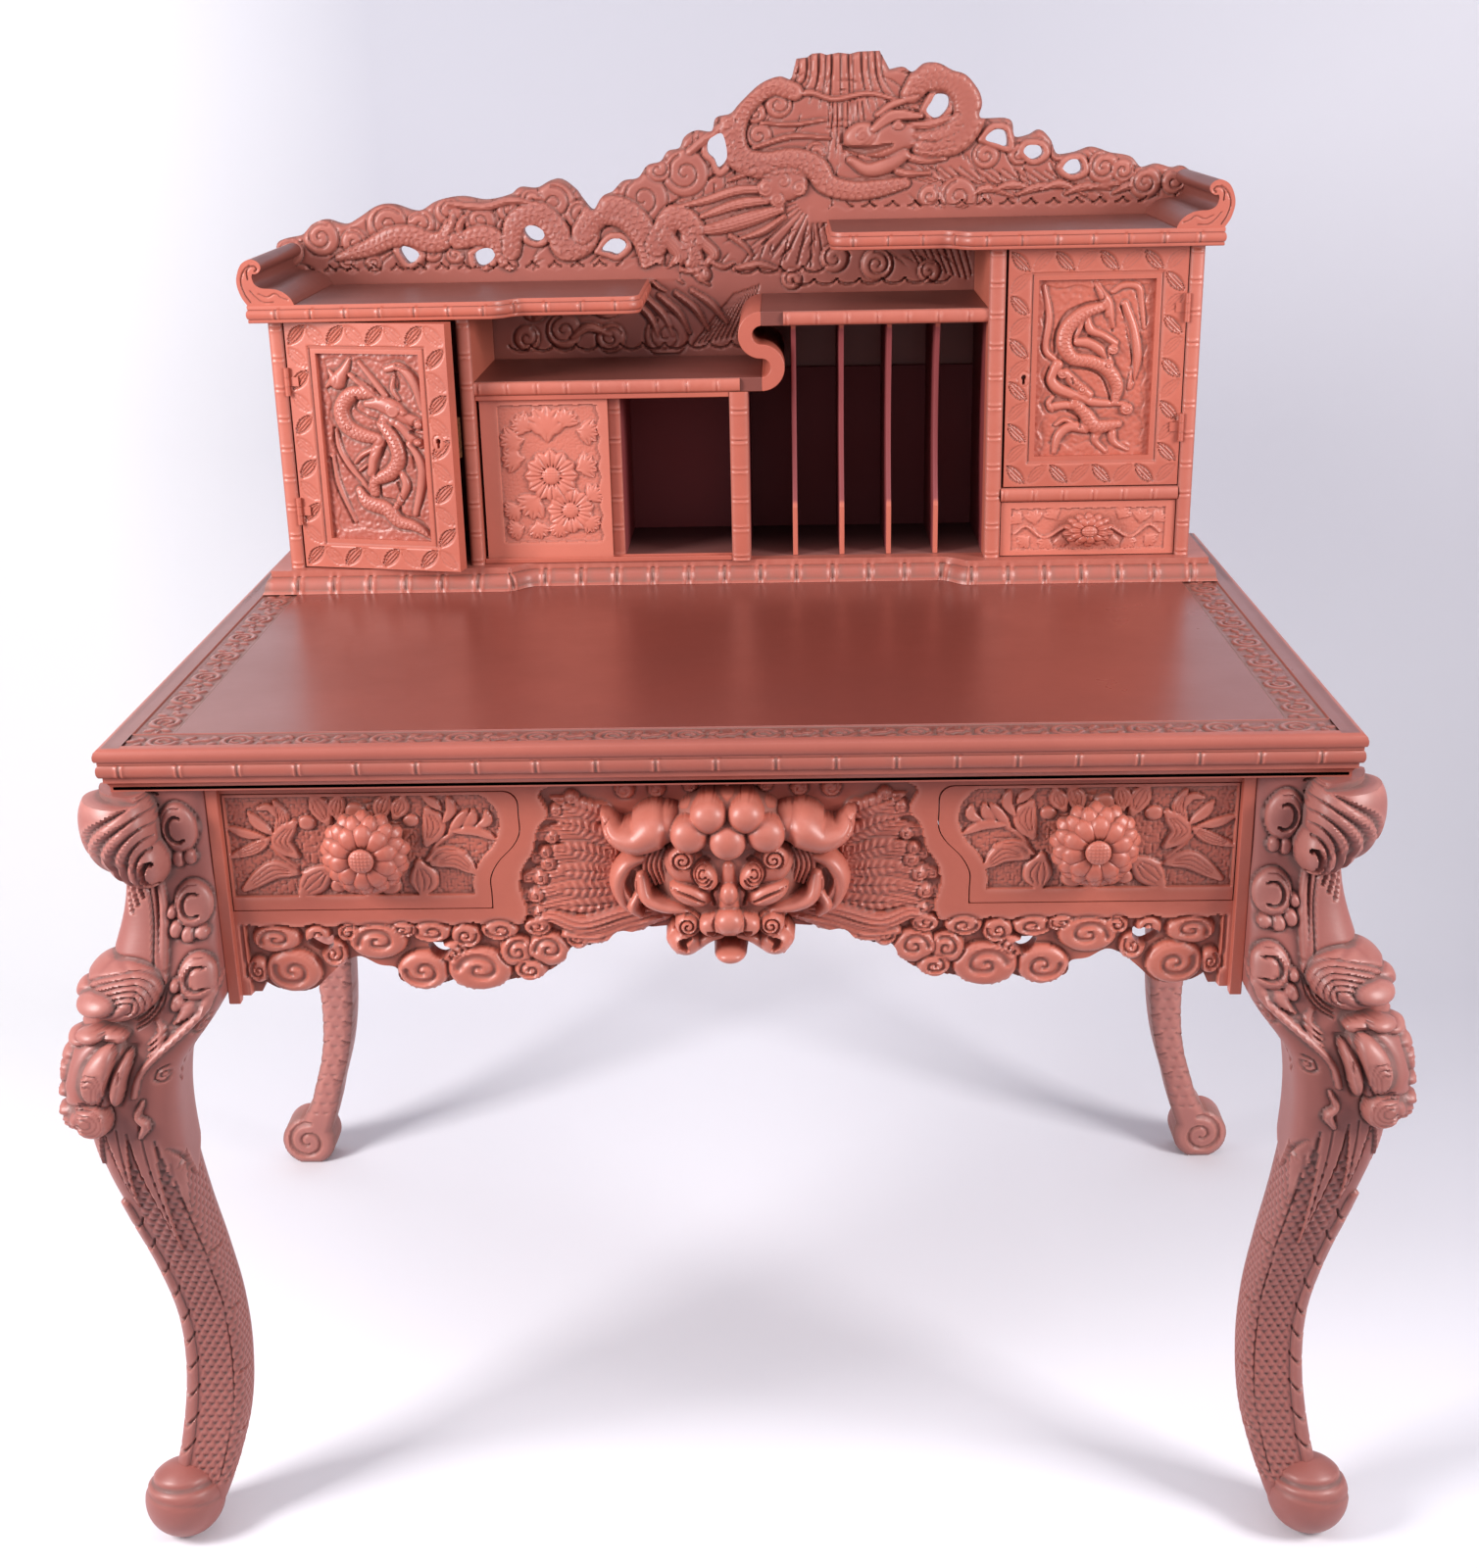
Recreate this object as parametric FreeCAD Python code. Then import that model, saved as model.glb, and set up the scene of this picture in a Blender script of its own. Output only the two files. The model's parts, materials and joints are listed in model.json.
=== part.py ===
import FreeCAD, Part
import math
import os

# Carved writing desk: a table on four cabriole legs, with a low cabinet and a pierced gallery at its back.
# Millimetres. X runs to the right, Y to the back, Z up. The origin is on the floor under the desk's middle.

Vector = FreeCAD.Vector

# Table top
TOP_WIDTH = 1016.0
TOP_DEPTH = 700.0
TOP_HEIGHT = 760.0
TOP_THICKNESS = 25.0
TOP_EDGE_ROUND = 4.0
UNDER_FILLET_HEIGHT = 5.0
UNDER_FILLET_INSET = 6.0
UNDER_COVE_HEIGHT = 8.0
UNDER_COVE_INSET = 17.0
UNDER_FRAME_WIDTH = 60.0

# Front legs: the curve's stations lie evenly down the limb, each with its kick along both axes and its section
LEG_SECTION = 64.0
LEG_BLOCK_LENGTH = 190.0
LEG_HAUNCH_DROP = 250.0
LEG_CURVE_DROP = 82.0
LEG_CURVE_FOOT = 40.0
LEG_CURVE = (
    (1.0, 60.0),
    (14.0, 66.0),
    (34.0, 69.0),
    (47.0, 71.0),
    (46.0, 67.0),
    (38.0, 57.0),
    (27.5, 48.5),
    (19.5, 44.5),
    (18.7, 46.0),
    (25.0, 49.0),
    (40.5, 44.5),
)
KNEE_REACH = 54.0
KNEE_RADIUS = 38.0
KNEE_DROP = 247.0
BROW_RADIUS = 30.0
BROW_DROP = 175.0
BROW_KICK = 57.0
ROLL_RADIUS = 34.0
ROLL_KICK = 36.0
FOOT_RADIUS = 36.0
FOOT_KICK = 54.0
FOOT_FLAT = 1.5

# Rear legs: a sawn board with its curve across the desk, ending in a scroll
REAR_LEG_THICKNESS = 44.0
REAR_BLOCK_LENGTH = 122.0
REAR_KNEE_DROP = 262.0
REAR_KNEE_OUT = 34.0
REAR_KNEE_IN = 36.0
REAR_ANKLE_HEIGHT = 205.0
REAR_ANKLE_OUT = 20.0
REAR_ANKLE_IN = 48.0
REAR_FOOT_RADIUS = 32.0
REAR_FOOT_OUT = 52.0
REAR_NECK_HEIGHT = 96.0
REAR_NECK_OUT = 42.0
REAR_NECK_IN = 72.0

# Aprons
APRON_INSET = 30.0
APRON_THICKNESS = 22.0
APRON_END_DROP = 194.0
APRON_END_WIDTH = 20.0
APRON_MIDDLE_DROP = 136.0
# Cloud edge: distance in from the apron's end strip, and drop below the drawer opening
CLOUD_LOBES = (
    (12.0, 69.0),
    (47.0, 70.0),
    (81.0, 47.0),
    (112.0, 63.0),
    (150.0, 72.0),
    (175.0, 63.0),
    (211.0, 70.0),
    (239.0, 52.0),
    (275.0, 36.0),
    (309.0, 23.0),
)
CLOUD_LOBE_BULGE = 6.0
CLOUD_HOLES = ((59.0, 39.0, 11.0), (151.0, 40.0, 9.0))
PLAIN_APRON_DEPTH = 122.0
PLAIN_APRON_RISE = 40.0
PLAIN_APRON_THICKNESS = 20.0
BEAD_WIDTH = 10.0
BEAD_PROUD = 9.0
BEAD_DROP = 4.0
CORNER_BLOCK_LEG = 60.0
CORNER_BLOCK_HEIGHT = 50.0

# Lion mask on the front apron: each drop is below the apron's top
MASK_RADIUS = 64.0
MASK_DROP = 81.0
MASK_DEPTH = 40.0
MASK_BALL_RADIUS = 17.0
MASK_BALL_SPACING = 30.0
MASK_BALL_DROP = 32.0
MASK_HORN_LENGTH = 34.0
MASK_HORN_RADIUS = 20.0
MASK_HORN_PLACE = 74.0
MASK_HORN_DROP = 36.0
MASK_NOSE_RADIUS = 20.0
MASK_NOSE_DROP = 112.0
MASK_NOSE_REACH = 26.0
MASK_CHIN_RADIUS = 22.0
MASK_CHIN_DROP = 132.0
MASK_CHEEK_PLACE = 46.0

# Apron drawers
DRAWER_DROP = 11.0
DRAWER_HEIGHT = 105.0
DRAWER_LENGTH = 219.0
DRAWER_SHOULDER = 26.0
DRAWER_SHOULDER_ROUND = 12.0
DRAWER_SHOULDER_DEPTH = 37.0
DRAWER_FOOT_HEIGHT = 28.0
DRAWER_OGEE_SWELL = 4.3
DRAWER_GAP = 1.0
DRAWER_FRONT_THICKNESS = 20.0
DRAWER_DEPTH = 400.0
DRAWER_SIDE_THICKNESS = 10.0
DRAWER_SIDE_CLEARANCE = 4.0
DRAWER_SIDE_HEIGHT = 84.0
DRAWER_BASE_THICKNESS = 6.0
DRAWER_BASE_RISE = 3.0
RUNNER_CLEARANCE = 0.5
RUNNER_HEIGHT = 12.0
RUNNER_LIP = 8.0
KNOB_RADIUS = 38.0
KNOB_PROJECTION = 36.0
KNOB_HEART_RADIUS = 13.0
KNOB_STEM_RADIUS = 12.0
KNOB_PETAL_THICKNESS = 18.0
KNOB_FROM_END = 118.0
KNOB_RISE = 56.0
KNOB_BACK_SHARE = 0.8
KNOB_FACE_SHARE = 0.86
KNOB_RIM_PLACE = 0.6
KNOB_FACE_PLACE = 0.2
KNOB_HEART_TAPER = 0.8

# Cabinet on the top
PLINTH_END_INSET = 20.0
PLINTH_PROUD = 23.0
PLINTH_HEIGHT = 23.0
PLINTH_WIDTH = 44.0
PLINTH_SETBACK = 20.0
PLINTH_UPPER_HEIGHT = 8.0
PLINTH_UPPER_INSET = 5.0
STEP_FROM_SIDE = 16.0
STEP_WIDTH = 30.0
STEP_SWELL = 2.5
FLOOR_THICKNESS = 12.0
CABINET_END_INSET = 28.0
CABINET_DEPTH = 161.0
CABINET_BACK_INSET = 31.0
SIDE_THICKNESS = 14.0
LEFT_CABINET_WIDTH = 172.0
RIGHT_CABINET_WIDTH = 178.0
RIGHT_INNER_THICKNESS = 16.0
LEFT_CABINET_HEIGHT = 250.0
RIGHT_CABINET_HEIGHT = 307.0
SHELF_THICKNESS = 17.0
SHELF_END_PROUD = 14.0
SHELF_PROUD = 17.0
SHELF_SETBACK = 22.0
LEFT_SHELF_LENGTH = 382.0
RIGHT_SHELF_LENGTH = 376.0
SHELF_END_ROUND = 14.0
WING_ROLL_RADIUS = 13.0
WING_HEIGHT = 38.0
WING_FOOT = 34.0
WING_OVERHANG = 4.0
WING_HOLLOW = 3.3
MID_INSET = 4.0
MID_THICKNESS = 14.0
LOWER_MID_HEIGHT = 172.0
SCROLL_RADIUS = 16.0
SCROLL_FROM_SLOT = 33.0
OPEN_WIDTH = 111.0
SLOT_DIVIDER_THICKNESS = 19.0
PANEL_SPACE_WIDTH = 130.0
PANEL_DIVIDER_THICKNESS = 14.0
LETTER_DIVIDERS = 4
LETTER_PITCH = 48.0
LETTER_DIVIDER_THICKNESS = 5.0
LETTER_DIVIDER_INSET = 17.0
LETTER_DIVIDER_HOLLOW = 16.0
LETTER_DIVIDER_FOOT = 50.0

# Gallery board and back panel: crest points and holes give x, then the height above the cabinet floor,
# then the swell of the stretch that ends there, or the hole's radius
GALLERY_THICKNESS = 22.0
BACK_PANEL_THICKNESS = 14.0
GALLERY_LEFT_END = -486.0
GALLERY_RIGHT_END = 487.0
GALLERY_LEFT_CREST = (
    (-484.0, 309.0, 6.0),
    (-458.0, 317.0, 5.0),
    (-405.0, 330.0, 14.0),
    (-333.0, 340.0, 14.0),
    (-260.0, 350.0, 13.0),
    (-210.0, 359.0, 8.0),
    (-148.0, 338.0, 22.0),
    (-127.0, 355.0, 6.0),
    (-76.0, 385.0, 12.0),
    (-41.0, 413.0, 8.0),
    (-2.0, 431.0, 8.0),
    (61.0, 462.0, 20.0),
    (70.0, 483.0, 0.0),
)
GALLERY_PEAK = ((108.0, 488.0, 2.0), (152.0, 489.0, 2.0), (163.0, 469.0, 0.0))
GALLERY_RIGHT_CREST = (
    (196.0, 470.0, 6.0),
    (257.0, 421.0, 27.0),
    (290.0, 403.0, 12.0),
    (336.0, 384.0, 16.0),
    (396.0, 382.0, 12.0),
    (448.0, 369.0, 8.0),
    (486.0, 353.0, 8.0),
)
GALLERY_HOLES = (
    (-344.0, 296.0, 9.0),
    (-264.0, 292.0, 9.0),
    (-210.0, 314.0, 9.0),
    (-127.0, 300.0, 10.0),
    (-16.0, 393.0, 10.0),
    (214.0, 435.0, 12.0),
    (274.0, 400.0, 10.0),
    (311.0, 387.0, 8.0),
    (352.0, 371.0, 9.0),
)

# Doors
DOOR_THICKNESS = 18.0
DOOR_HINGE_GAP = 1.0
DOOR_FREE_GAP = 2.5
DOOR_END_GAP = 1.5
DOOR_FRAME_WIDTH = 30.0
DOOR_PANEL_THICKNESS = 10.0
DOOR_PANEL_RECESS = 5.0
LEFT_DOOR_AJAR = 12.0
HINGE_PROUD = 3.0
HINGE_BARREL_RADIUS = 2.5
HINGE_PIN_RADIUS = 1.2
HINGE_PIN_CLEARANCE = 0.05
HINGE_KNUCKLE_HEIGHT = 9.0
HINGE_KNUCKLE_GAP = 0.3
HINGE_LEAF_THICKNESS = 1.0
HINGE_LEAF_WIDTH = 11.0
HINGE_FROM_END = 58.0
LOCK_WIDTH = 34.0
LOCK_HEIGHT = 40.0
LOCK_DEPTH = 12.0
LOCK_WALL = 2.0
LOCK_FROM_EDGE = 1.5
LOCK_RISE = 8.0
BOLT_LENGTH = 26.0
BOLT_HEIGHT = 12.0
BOLT_THICKNESS = 5.0
BOLT_CLEARANCE = 0.3
BOLT_THROW = 9.0
STRIKE_CLEARANCE = 1.5

# Sliding flower panel
PANEL_WIDTH = 129.0
PANEL_THICKNESS = 8.0
PANEL_GAP = 3.0
TRACK_WIDTH = 14.0
TRACK_HEIGHT = 5.0
TRACK_GROOVE = 3.0
TRACK_CLEARANCE = 0.3
TRACK_LIFT = 1.2

# Small drawer under the right door
SMALL_DRAWER_HEIGHT = 57.0
RAIL_THICKNESS = 14.0
SMALL_FRONT_THICKNESS = 16.0
SMALL_DRAWER_GAP = 1.0
SMALL_SIDE_THICKNESS = 7.0
SMALL_SIDE_INSET = 3.0
SMALL_SIDE_DROP = 9.0
SMALL_DRAWER_DEPTH = 128.0
SMALL_BASE_THICKNESS = 5.0
SMALL_FLOOR_CLEARANCE = 0.3
SMALL_KNOB_RADIUS = 18.0
SMALL_KNOB_STRETCH = 1.5
SMALL_KNOB_PROJECTION = 22.0
SMALL_KNOB_STEM = 8.0
SMALL_KNOB_HEART = 7.0
SMALL_KNOB_PETALS = 10.0

# Places that follow from the sizes
FRONT = -(TOP_DEPTH - KNEE_REACH) / 2
BACK = FRONT + TOP_DEPTH
HALF = TOP_WIDTH / 2
TOP_UNDERSIDE = TOP_HEIGHT - TOP_THICKNESS
LEG_TOP = TOP_UNDERSIDE - UNDER_FILLET_HEIGHT - UNDER_COVE_HEIGHT
LEG_OUTER_X = HALF - UNDER_COVE_INSET
LEG_INNER_X = LEG_OUTER_X - LEG_SECTION
LEG_FRONT = FRONT + UNDER_COVE_INSET
LEG_CENTRE_X = LEG_OUTER_X - LEG_SECTION / 2
LEG_CENTRE_Y = LEG_FRONT + LEG_SECTION / 2
LEG_BLOCK_BOTTOM = LEG_TOP - LEG_BLOCK_LENGTH
LEG_HAUNCH_BOTTOM = LEG_TOP - LEG_HAUNCH_DROP
REAR_BLOCK_BOTTOM = LEG_TOP - REAR_BLOCK_LENGTH
REAR_KNEE_HEIGHT = LEG_TOP - REAR_KNEE_DROP
REAR_LEG_BACK = BACK - UNDER_COVE_INSET
REAR_LEG_FRONT = REAR_LEG_BACK - REAR_LEG_THICKNESS
APRON_FRONT = FRONT + APRON_INSET
APRON_BACK = APRON_FRONT + APRON_THICKNESS
BACK_APRON_FRONT = REAR_LEG_BACK - PLAIN_APRON_THICKNESS
APRON_END_BOTTOM = LEG_TOP - APRON_END_DROP
APRON_MIDDLE_BOTTOM = LEG_TOP - APRON_MIDDLE_DROP
PLAIN_APRON_BOTTOM = LEG_TOP - PLAIN_APRON_DEPTH
MASK_HEIGHT = LEG_TOP - MASK_DROP
DRAWER_TOP = LEG_TOP - DRAWER_DROP
DRAWER_BOTTOM = DRAWER_TOP - DRAWER_HEIGHT
DRAWER_OUTER_X = LEG_INNER_X - BEAD_WIDTH
DRAWER_FOOT_X = DRAWER_OUTER_X - DRAWER_LENGTH
DRAWER_SHOULDER_X = DRAWER_FOOT_X - DRAWER_SHOULDER
DRAWER_OGEE_TOP = DRAWER_TOP - DRAWER_SHOULDER_DEPTH
DRAWER_OGEE_BOTTOM = DRAWER_BOTTOM + DRAWER_FOOT_HEIGHT
KNOB_X = DRAWER_OUTER_X - KNOB_FROM_END
KNOB_HEIGHT = DRAWER_BOTTOM + KNOB_RISE
CLOUD_END_X = DRAWER_OUTER_X - APRON_END_WIDTH
FLOOR_TOP = TOP_HEIGHT + PLINTH_HEIGHT
PLINTH_HALF_WIDTH = HALF - PLINTH_END_INSET
PLINTH_INNER = PLINTH_HALF_WIDTH - PLINTH_WIDTH
CABINET_HALF_WIDTH = PLINTH_HALF_WIDTH - CABINET_END_INSET
CABINET_BACK = BACK - CABINET_BACK_INSET
CABINET_FRONT = CABINET_BACK - CABINET_DEPTH
PLINTH_FRONT = CABINET_FRONT - PLINTH_PROUD
PLINTH_HOLLOW_FRONT = PLINTH_FRONT + PLINTH_WIDTH
SHELF_FRONT = CABINET_FRONT - SHELF_PROUD
MID_FRONT = CABINET_FRONT + MID_INSET
LETTER_DIVIDER_FRONT = MID_FRONT + LETTER_DIVIDER_INSET
SHELF_HALF_WIDTH = CABINET_HALF_WIDTH + SHELF_END_PROUD
LEFT_SHELF_END = -SHELF_HALF_WIDTH + LEFT_SHELF_LENGTH
RIGHT_SHELF_END = SHELF_HALF_WIDTH - RIGHT_SHELF_LENGTH
OUTER_SIDE_INNER_X = CABINET_HALF_WIDTH - SIDE_THICKNESS
LEFT_DOOR_RIGHT = -OUTER_SIDE_INNER_X + LEFT_CABINET_WIDTH
LEFT_INNER_X = LEFT_DOOR_RIGHT + SIDE_THICKNESS
RIGHT_DOOR_LEFT = OUTER_SIDE_INNER_X - RIGHT_CABINET_WIDTH
RIGHT_INNER_X = RIGHT_DOOR_LEFT - RIGHT_INNER_THICKNESS
STEP_OUTER_X = RIGHT_INNER_X - STEP_FROM_SIDE
STEP_INNER_X = STEP_OUTER_X - STEP_WIDTH
PANEL_DIVIDER_X = LEFT_INNER_X + PANEL_SPACE_WIDTH
SLOT_DIVIDER_X = PANEL_DIVIDER_X + PANEL_DIVIDER_THICKNESS + OPEN_WIDTH
SCROLL_X = SLOT_DIVIDER_X + SCROLL_FROM_SLOT
LEFT_SHELF_BOTTOM = FLOOR_TOP + LEFT_CABINET_HEIGHT
RIGHT_SHELF_BOTTOM = FLOOR_TOP + RIGHT_CABINET_HEIGHT
LOWER_MID_BOTTOM = FLOOR_TOP + LOWER_MID_HEIGHT
LOWER_MID_TOP = LOWER_MID_BOTTOM + MID_THICKNESS
UPPER_MID_BOTTOM = LOWER_MID_BOTTOM + 4 * SCROLL_RADIUS
UPPER_MID_TOP = UPPER_MID_BOTTOM + MID_THICKNESS
RAIL_BOTTOM = FLOOR_TOP + SMALL_DRAWER_HEIGHT
RAIL_TOP = RAIL_BOTTOM + RAIL_THICKNESS
HINGE_Y = CABINET_FRONT - HINGE_PROUD
HINGE_X = OUTER_SIDE_INNER_X - DOOR_HINGE_GAP / 2
TRACK_FRONT = MID_FRONT
PANEL_FRONT = TRACK_FRONT + (TRACK_WIDTH - PANEL_THICKNESS) / 2
PANEL_LEFT = LEFT_INNER_X + PANEL_GAP
PANEL_DIVIDER_FRONT = TRACK_FRONT + TRACK_WIDTH


def box(x, y, z):
    """A block between two limits on each axis."""
    size = (x[1] - x[0], y[1] - y[0], z[1] - z[0])
    return Part.makeBox(*size, Vector(x[0], y[0], z[0]))


def ball(radius, centre):
    return Part.makeSphere(radius, Vector(*centre))


def egg(radius, half_length, centre, axis):
    """A round body about an axis through its centre, with a radius and a half length."""
    along = Vector(*axis)
    across = Vector(0, 0, 1)
    middle = Vector(*centre)
    tips = (middle - along * half_length, middle + along * half_length)
    if half_length > radius:
        ellipse = Part.Ellipse(tips[1], middle + across * radius, middle)
        sweep = (0.0, math.pi)
    else:
        ellipse = Part.Ellipse(middle + across * radius, tips[1], middle)
        sweep = (-math.pi / 2, math.pi / 2)
    rim = ellipse.toShape(*sweep)
    ends = [vertex.Point for vertex in rim.Vertexes]
    half = Part.Face(Part.Wire([rim, line(ends[-1], ends[0])]))
    return half.revolve(middle, along, 360)


def mirrored(shape):
    """The same piece on the other side of the desk."""
    return shape.mirror(Vector(0, 0, 0), Vector(1, 0, 0))


def cylinder(radius, start, axis, length):
    return Part.makeCylinder(radius, length, Vector(*start), Vector(*axis))


def line(a, b):
    return Part.makeLine(a, b)


def arc(a, middle, b):
    return Part.Arc(a, middle, b).toShape()


def front_slab(edges, y, thickness):
    """A board seen from the front, sawn to a closed outline of edges at depth y."""
    face = Part.Face(Part.Wire(Part.__sortEdges__(edges)))
    return face.extrude(Vector(0, thickness, 0))


def plan_slab(edges, height):
    """A board seen from above, sawn to a closed outline of edges at its underside."""
    face = Part.Face(Part.Wire(Part.__sortEdges__(edges)))
    return face.extrude(Vector(0, 0, height))


def lobed_edges(points, y):
    """Edges through points (x, z, bulge): each stretch swells to the left of its course by the bulge."""
    edges = []
    for (x0, z0, _), (x1, z1, bulge) in zip(points, points[1:]):
        a = Vector(x0, y, z0)
        b = Vector(x1, y, z1)
        if bulge == 0.0:
            edges.append(line(a, b))
            continue
        across = Vector(-(z1 - z0), 0, x1 - x0)
        across.normalize()
        edges.append(arc(a, (a + b) * 0.5 + across * bulge, b))
    return edges


def ogee_edges(a, b):
    """A flat S from a to b in plan: half of the step on each of two arcs."""
    middle = (a + b) * 0.5
    swell = math.copysign(STEP_SWELL, b.y - a.y)
    first = (a + middle) * 0.5 + Vector(0, -swell, 0)
    second = (middle + b) * 0.5 + Vector(0, swell, 0)
    return [arc(a, first, middle), arc(middle, second, b)]


def compound(shapes):
    return Part.makeCompound(shapes)


# Table top and its under-moulding

def desk_top():
    board = box((-HALF, HALF), (FRONT, BACK), (TOP_UNDERSIDE, TOP_HEIGHT))
    rim = [edge for edge in board.Edges if edge.BoundBox.ZMin > TOP_HEIGHT - TOP_EDGE_ROUND]
    return board.makeFillet(TOP_EDGE_ROUND, rim)


def rectangle(inset, z):
    corners = [
        Vector(-HALF + inset, FRONT + inset, z),
        Vector(HALF - inset, FRONT + inset, z),
        Vector(HALF - inset, BACK - inset, z),
        Vector(-HALF + inset, BACK - inset, z),
    ]
    return Part.makePolygon(corners + corners[:1])


def top_under_moulding():
    fillet_bottom = TOP_UNDERSIDE - UNDER_FILLET_HEIGHT
    wide = rectangle(UNDER_FILLET_INSET, fillet_bottom)
    narrow = rectangle(UNDER_COVE_INSET, LEG_TOP)
    fillet = Part.Face(wide).extrude(Vector(0, 0, UNDER_FILLET_HEIGHT))
    cove = Part.makeLoft([narrow, wide], True, True)
    hole_inset = UNDER_COVE_INSET + UNDER_FRAME_WIDTH
    hole = Part.Face(rectangle(hole_inset, LEG_TOP)).extrude(Vector(0, 0, TOP_UNDERSIDE - LEG_TOP))
    return fillet.fuse(cove).cut(hole).removeSplitter()


# Legs

def section_square(x, y, z, size):
    half = size / 2
    corners = [
        Vector(x - half, y - half, z),
        Vector(x + half, y - half, z),
        Vector(x + half, y + half, z),
        Vector(x - half, y + half, z),
    ]
    return Part.makePolygon(corners + corners[:1])


def leg_ring(z, kick, size):
    return section_square(LEG_CENTRE_X + kick, LEG_CENTRE_Y - kick, z, size)


def leg_stations():
    """Height, kick and section down the curved limb, from the block to the foot."""
    top = LEG_TOP - LEG_CURVE_DROP
    pitch = (top - LEG_CURVE_FOOT) / (len(LEG_CURVE) - 1)
    return [(top - place * pitch, kick, size) for place, (kick, size) in enumerate(LEG_CURVE)]


def kick_at(height):
    """Kick and section of the curved limb at a height, between its stations."""
    stations = leg_stations()
    for (z0, k0, s0), (z1, k1, s1) in zip(stations, stations[1:]):
        if z0 >= height >= z1:
            share = (z0 - height) / (z0 - z1)
            return k0 + share * (k1 - k0), s0 + share * (s1 - s0)
    return stations[0][1:]


def front_right_leg():
    """Square block beside the aprons, a haunch under it, the curved limb, and the carved masses."""
    limb = Part.makeLoft([leg_ring(*station) for station in leg_stations()], True, False)
    block_x = (LEG_INNER_X, LEG_OUTER_X)
    block = box(block_x, (LEG_FRONT, LEG_FRONT + LEG_SECTION), (LEG_BLOCK_BOTTOM, LEG_TOP))
    haunch_end = leg_ring(LEG_HAUNCH_BOTTOM, *kick_at(LEG_HAUNCH_BOTTOM))
    haunch = Part.makeLoft([leg_ring(LEG_BLOCK_BOTTOM, 0.0, LEG_SECTION), haunch_end], True, True)
    knee_x = HALF + KNEE_REACH - KNEE_RADIUS
    knee_y = FRONT - KNEE_REACH + KNEE_RADIUS
    masses = [
        block,
        haunch,
        ball(KNEE_RADIUS, (knee_x, knee_y, LEG_TOP - KNEE_DROP)),
        ball(BROW_RADIUS, (LEG_CENTRE_X + BROW_KICK, LEG_CENTRE_Y - BROW_KICK, LEG_TOP - BROW_DROP)),
        ball(ROLL_RADIUS, (LEG_CENTRE_X + ROLL_KICK, LEG_CENTRE_Y - ROLL_KICK, LEG_TOP - ROLL_RADIUS)),
        ball(FOOT_RADIUS, (LEG_CENTRE_X + FOOT_KICK, LEG_CENTRE_Y - FOOT_KICK, FOOT_RADIUS - FOOT_FLAT)),
    ]
    whole = limb.fuse(masses)
    reach = 3 * LEG_SECTION
    around_x = (LEG_CENTRE_X - reach, LEG_CENTRE_X + reach)
    around_y = (LEG_CENTRE_Y - reach, LEG_CENTRE_Y + reach)
    below = box(around_x, around_y, (-reach, 0))
    return whole.cut(below)


def rear_right_leg():
    """Outline in the XZ plane: block, knee, ankle, and the neck that runs into the scroll foot."""
    def at(x, z):
        return Vector(x, REAR_LEG_FRONT, z)

    foot_x = LEG_OUTER_X + REAR_FOOT_OUT
    outer = [
        at(LEG_OUTER_X, REAR_BLOCK_BOTTOM),
        at(LEG_OUTER_X + REAR_KNEE_OUT, REAR_KNEE_HEIGHT),
        at(LEG_OUTER_X + REAR_ANKLE_OUT, REAR_ANKLE_HEIGHT),
        at(LEG_OUTER_X + REAR_NECK_OUT, REAR_NECK_HEIGHT),
        at(foot_x, REAR_FOOT_RADIUS),
    ]
    inner = [
        at(LEG_INNER_X, REAR_BLOCK_BOTTOM),
        at(LEG_INNER_X + REAR_KNEE_IN, REAR_KNEE_HEIGHT),
        at(LEG_INNER_X + REAR_ANKLE_IN, REAR_ANKLE_HEIGHT),
        at(LEG_INNER_X + REAR_NECK_IN, REAR_NECK_HEIGHT),
        at(foot_x, FOOT_FLAT),
    ]
    outer_curve = Part.BSplineCurve()
    outer_curve.interpolate(outer)
    inner_curve = Part.BSplineCurve()
    inner_curve.interpolate(inner)
    edges = [
        line(at(LEG_INNER_X, LEG_TOP), at(LEG_OUTER_X, LEG_TOP)),
        line(at(LEG_OUTER_X, LEG_TOP), outer[0]),
        outer_curve.toShape(),
        line(outer[-1], inner[-1]),
        inner_curve.toShape(),
        line(inner[0], at(LEG_INNER_X, LEG_TOP)),
    ]
    limb = front_slab(edges, REAR_LEG_FRONT, REAR_LEG_THICKNESS)
    centre = (foot_x, REAR_LEG_FRONT, REAR_FOOT_RADIUS - FOOT_FLAT)
    scroll = cylinder(REAR_FOOT_RADIUS, centre, (0, 1, 0), REAR_LEG_THICKNESS)
    reach = 3 * REAR_FOOT_RADIUS
    below = box((foot_x - reach, foot_x + reach), (REAR_LEG_FRONT, REAR_LEG_BACK), (-reach, 0))
    return limb.fuse(scroll).cut(below)


# Aprons

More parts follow.
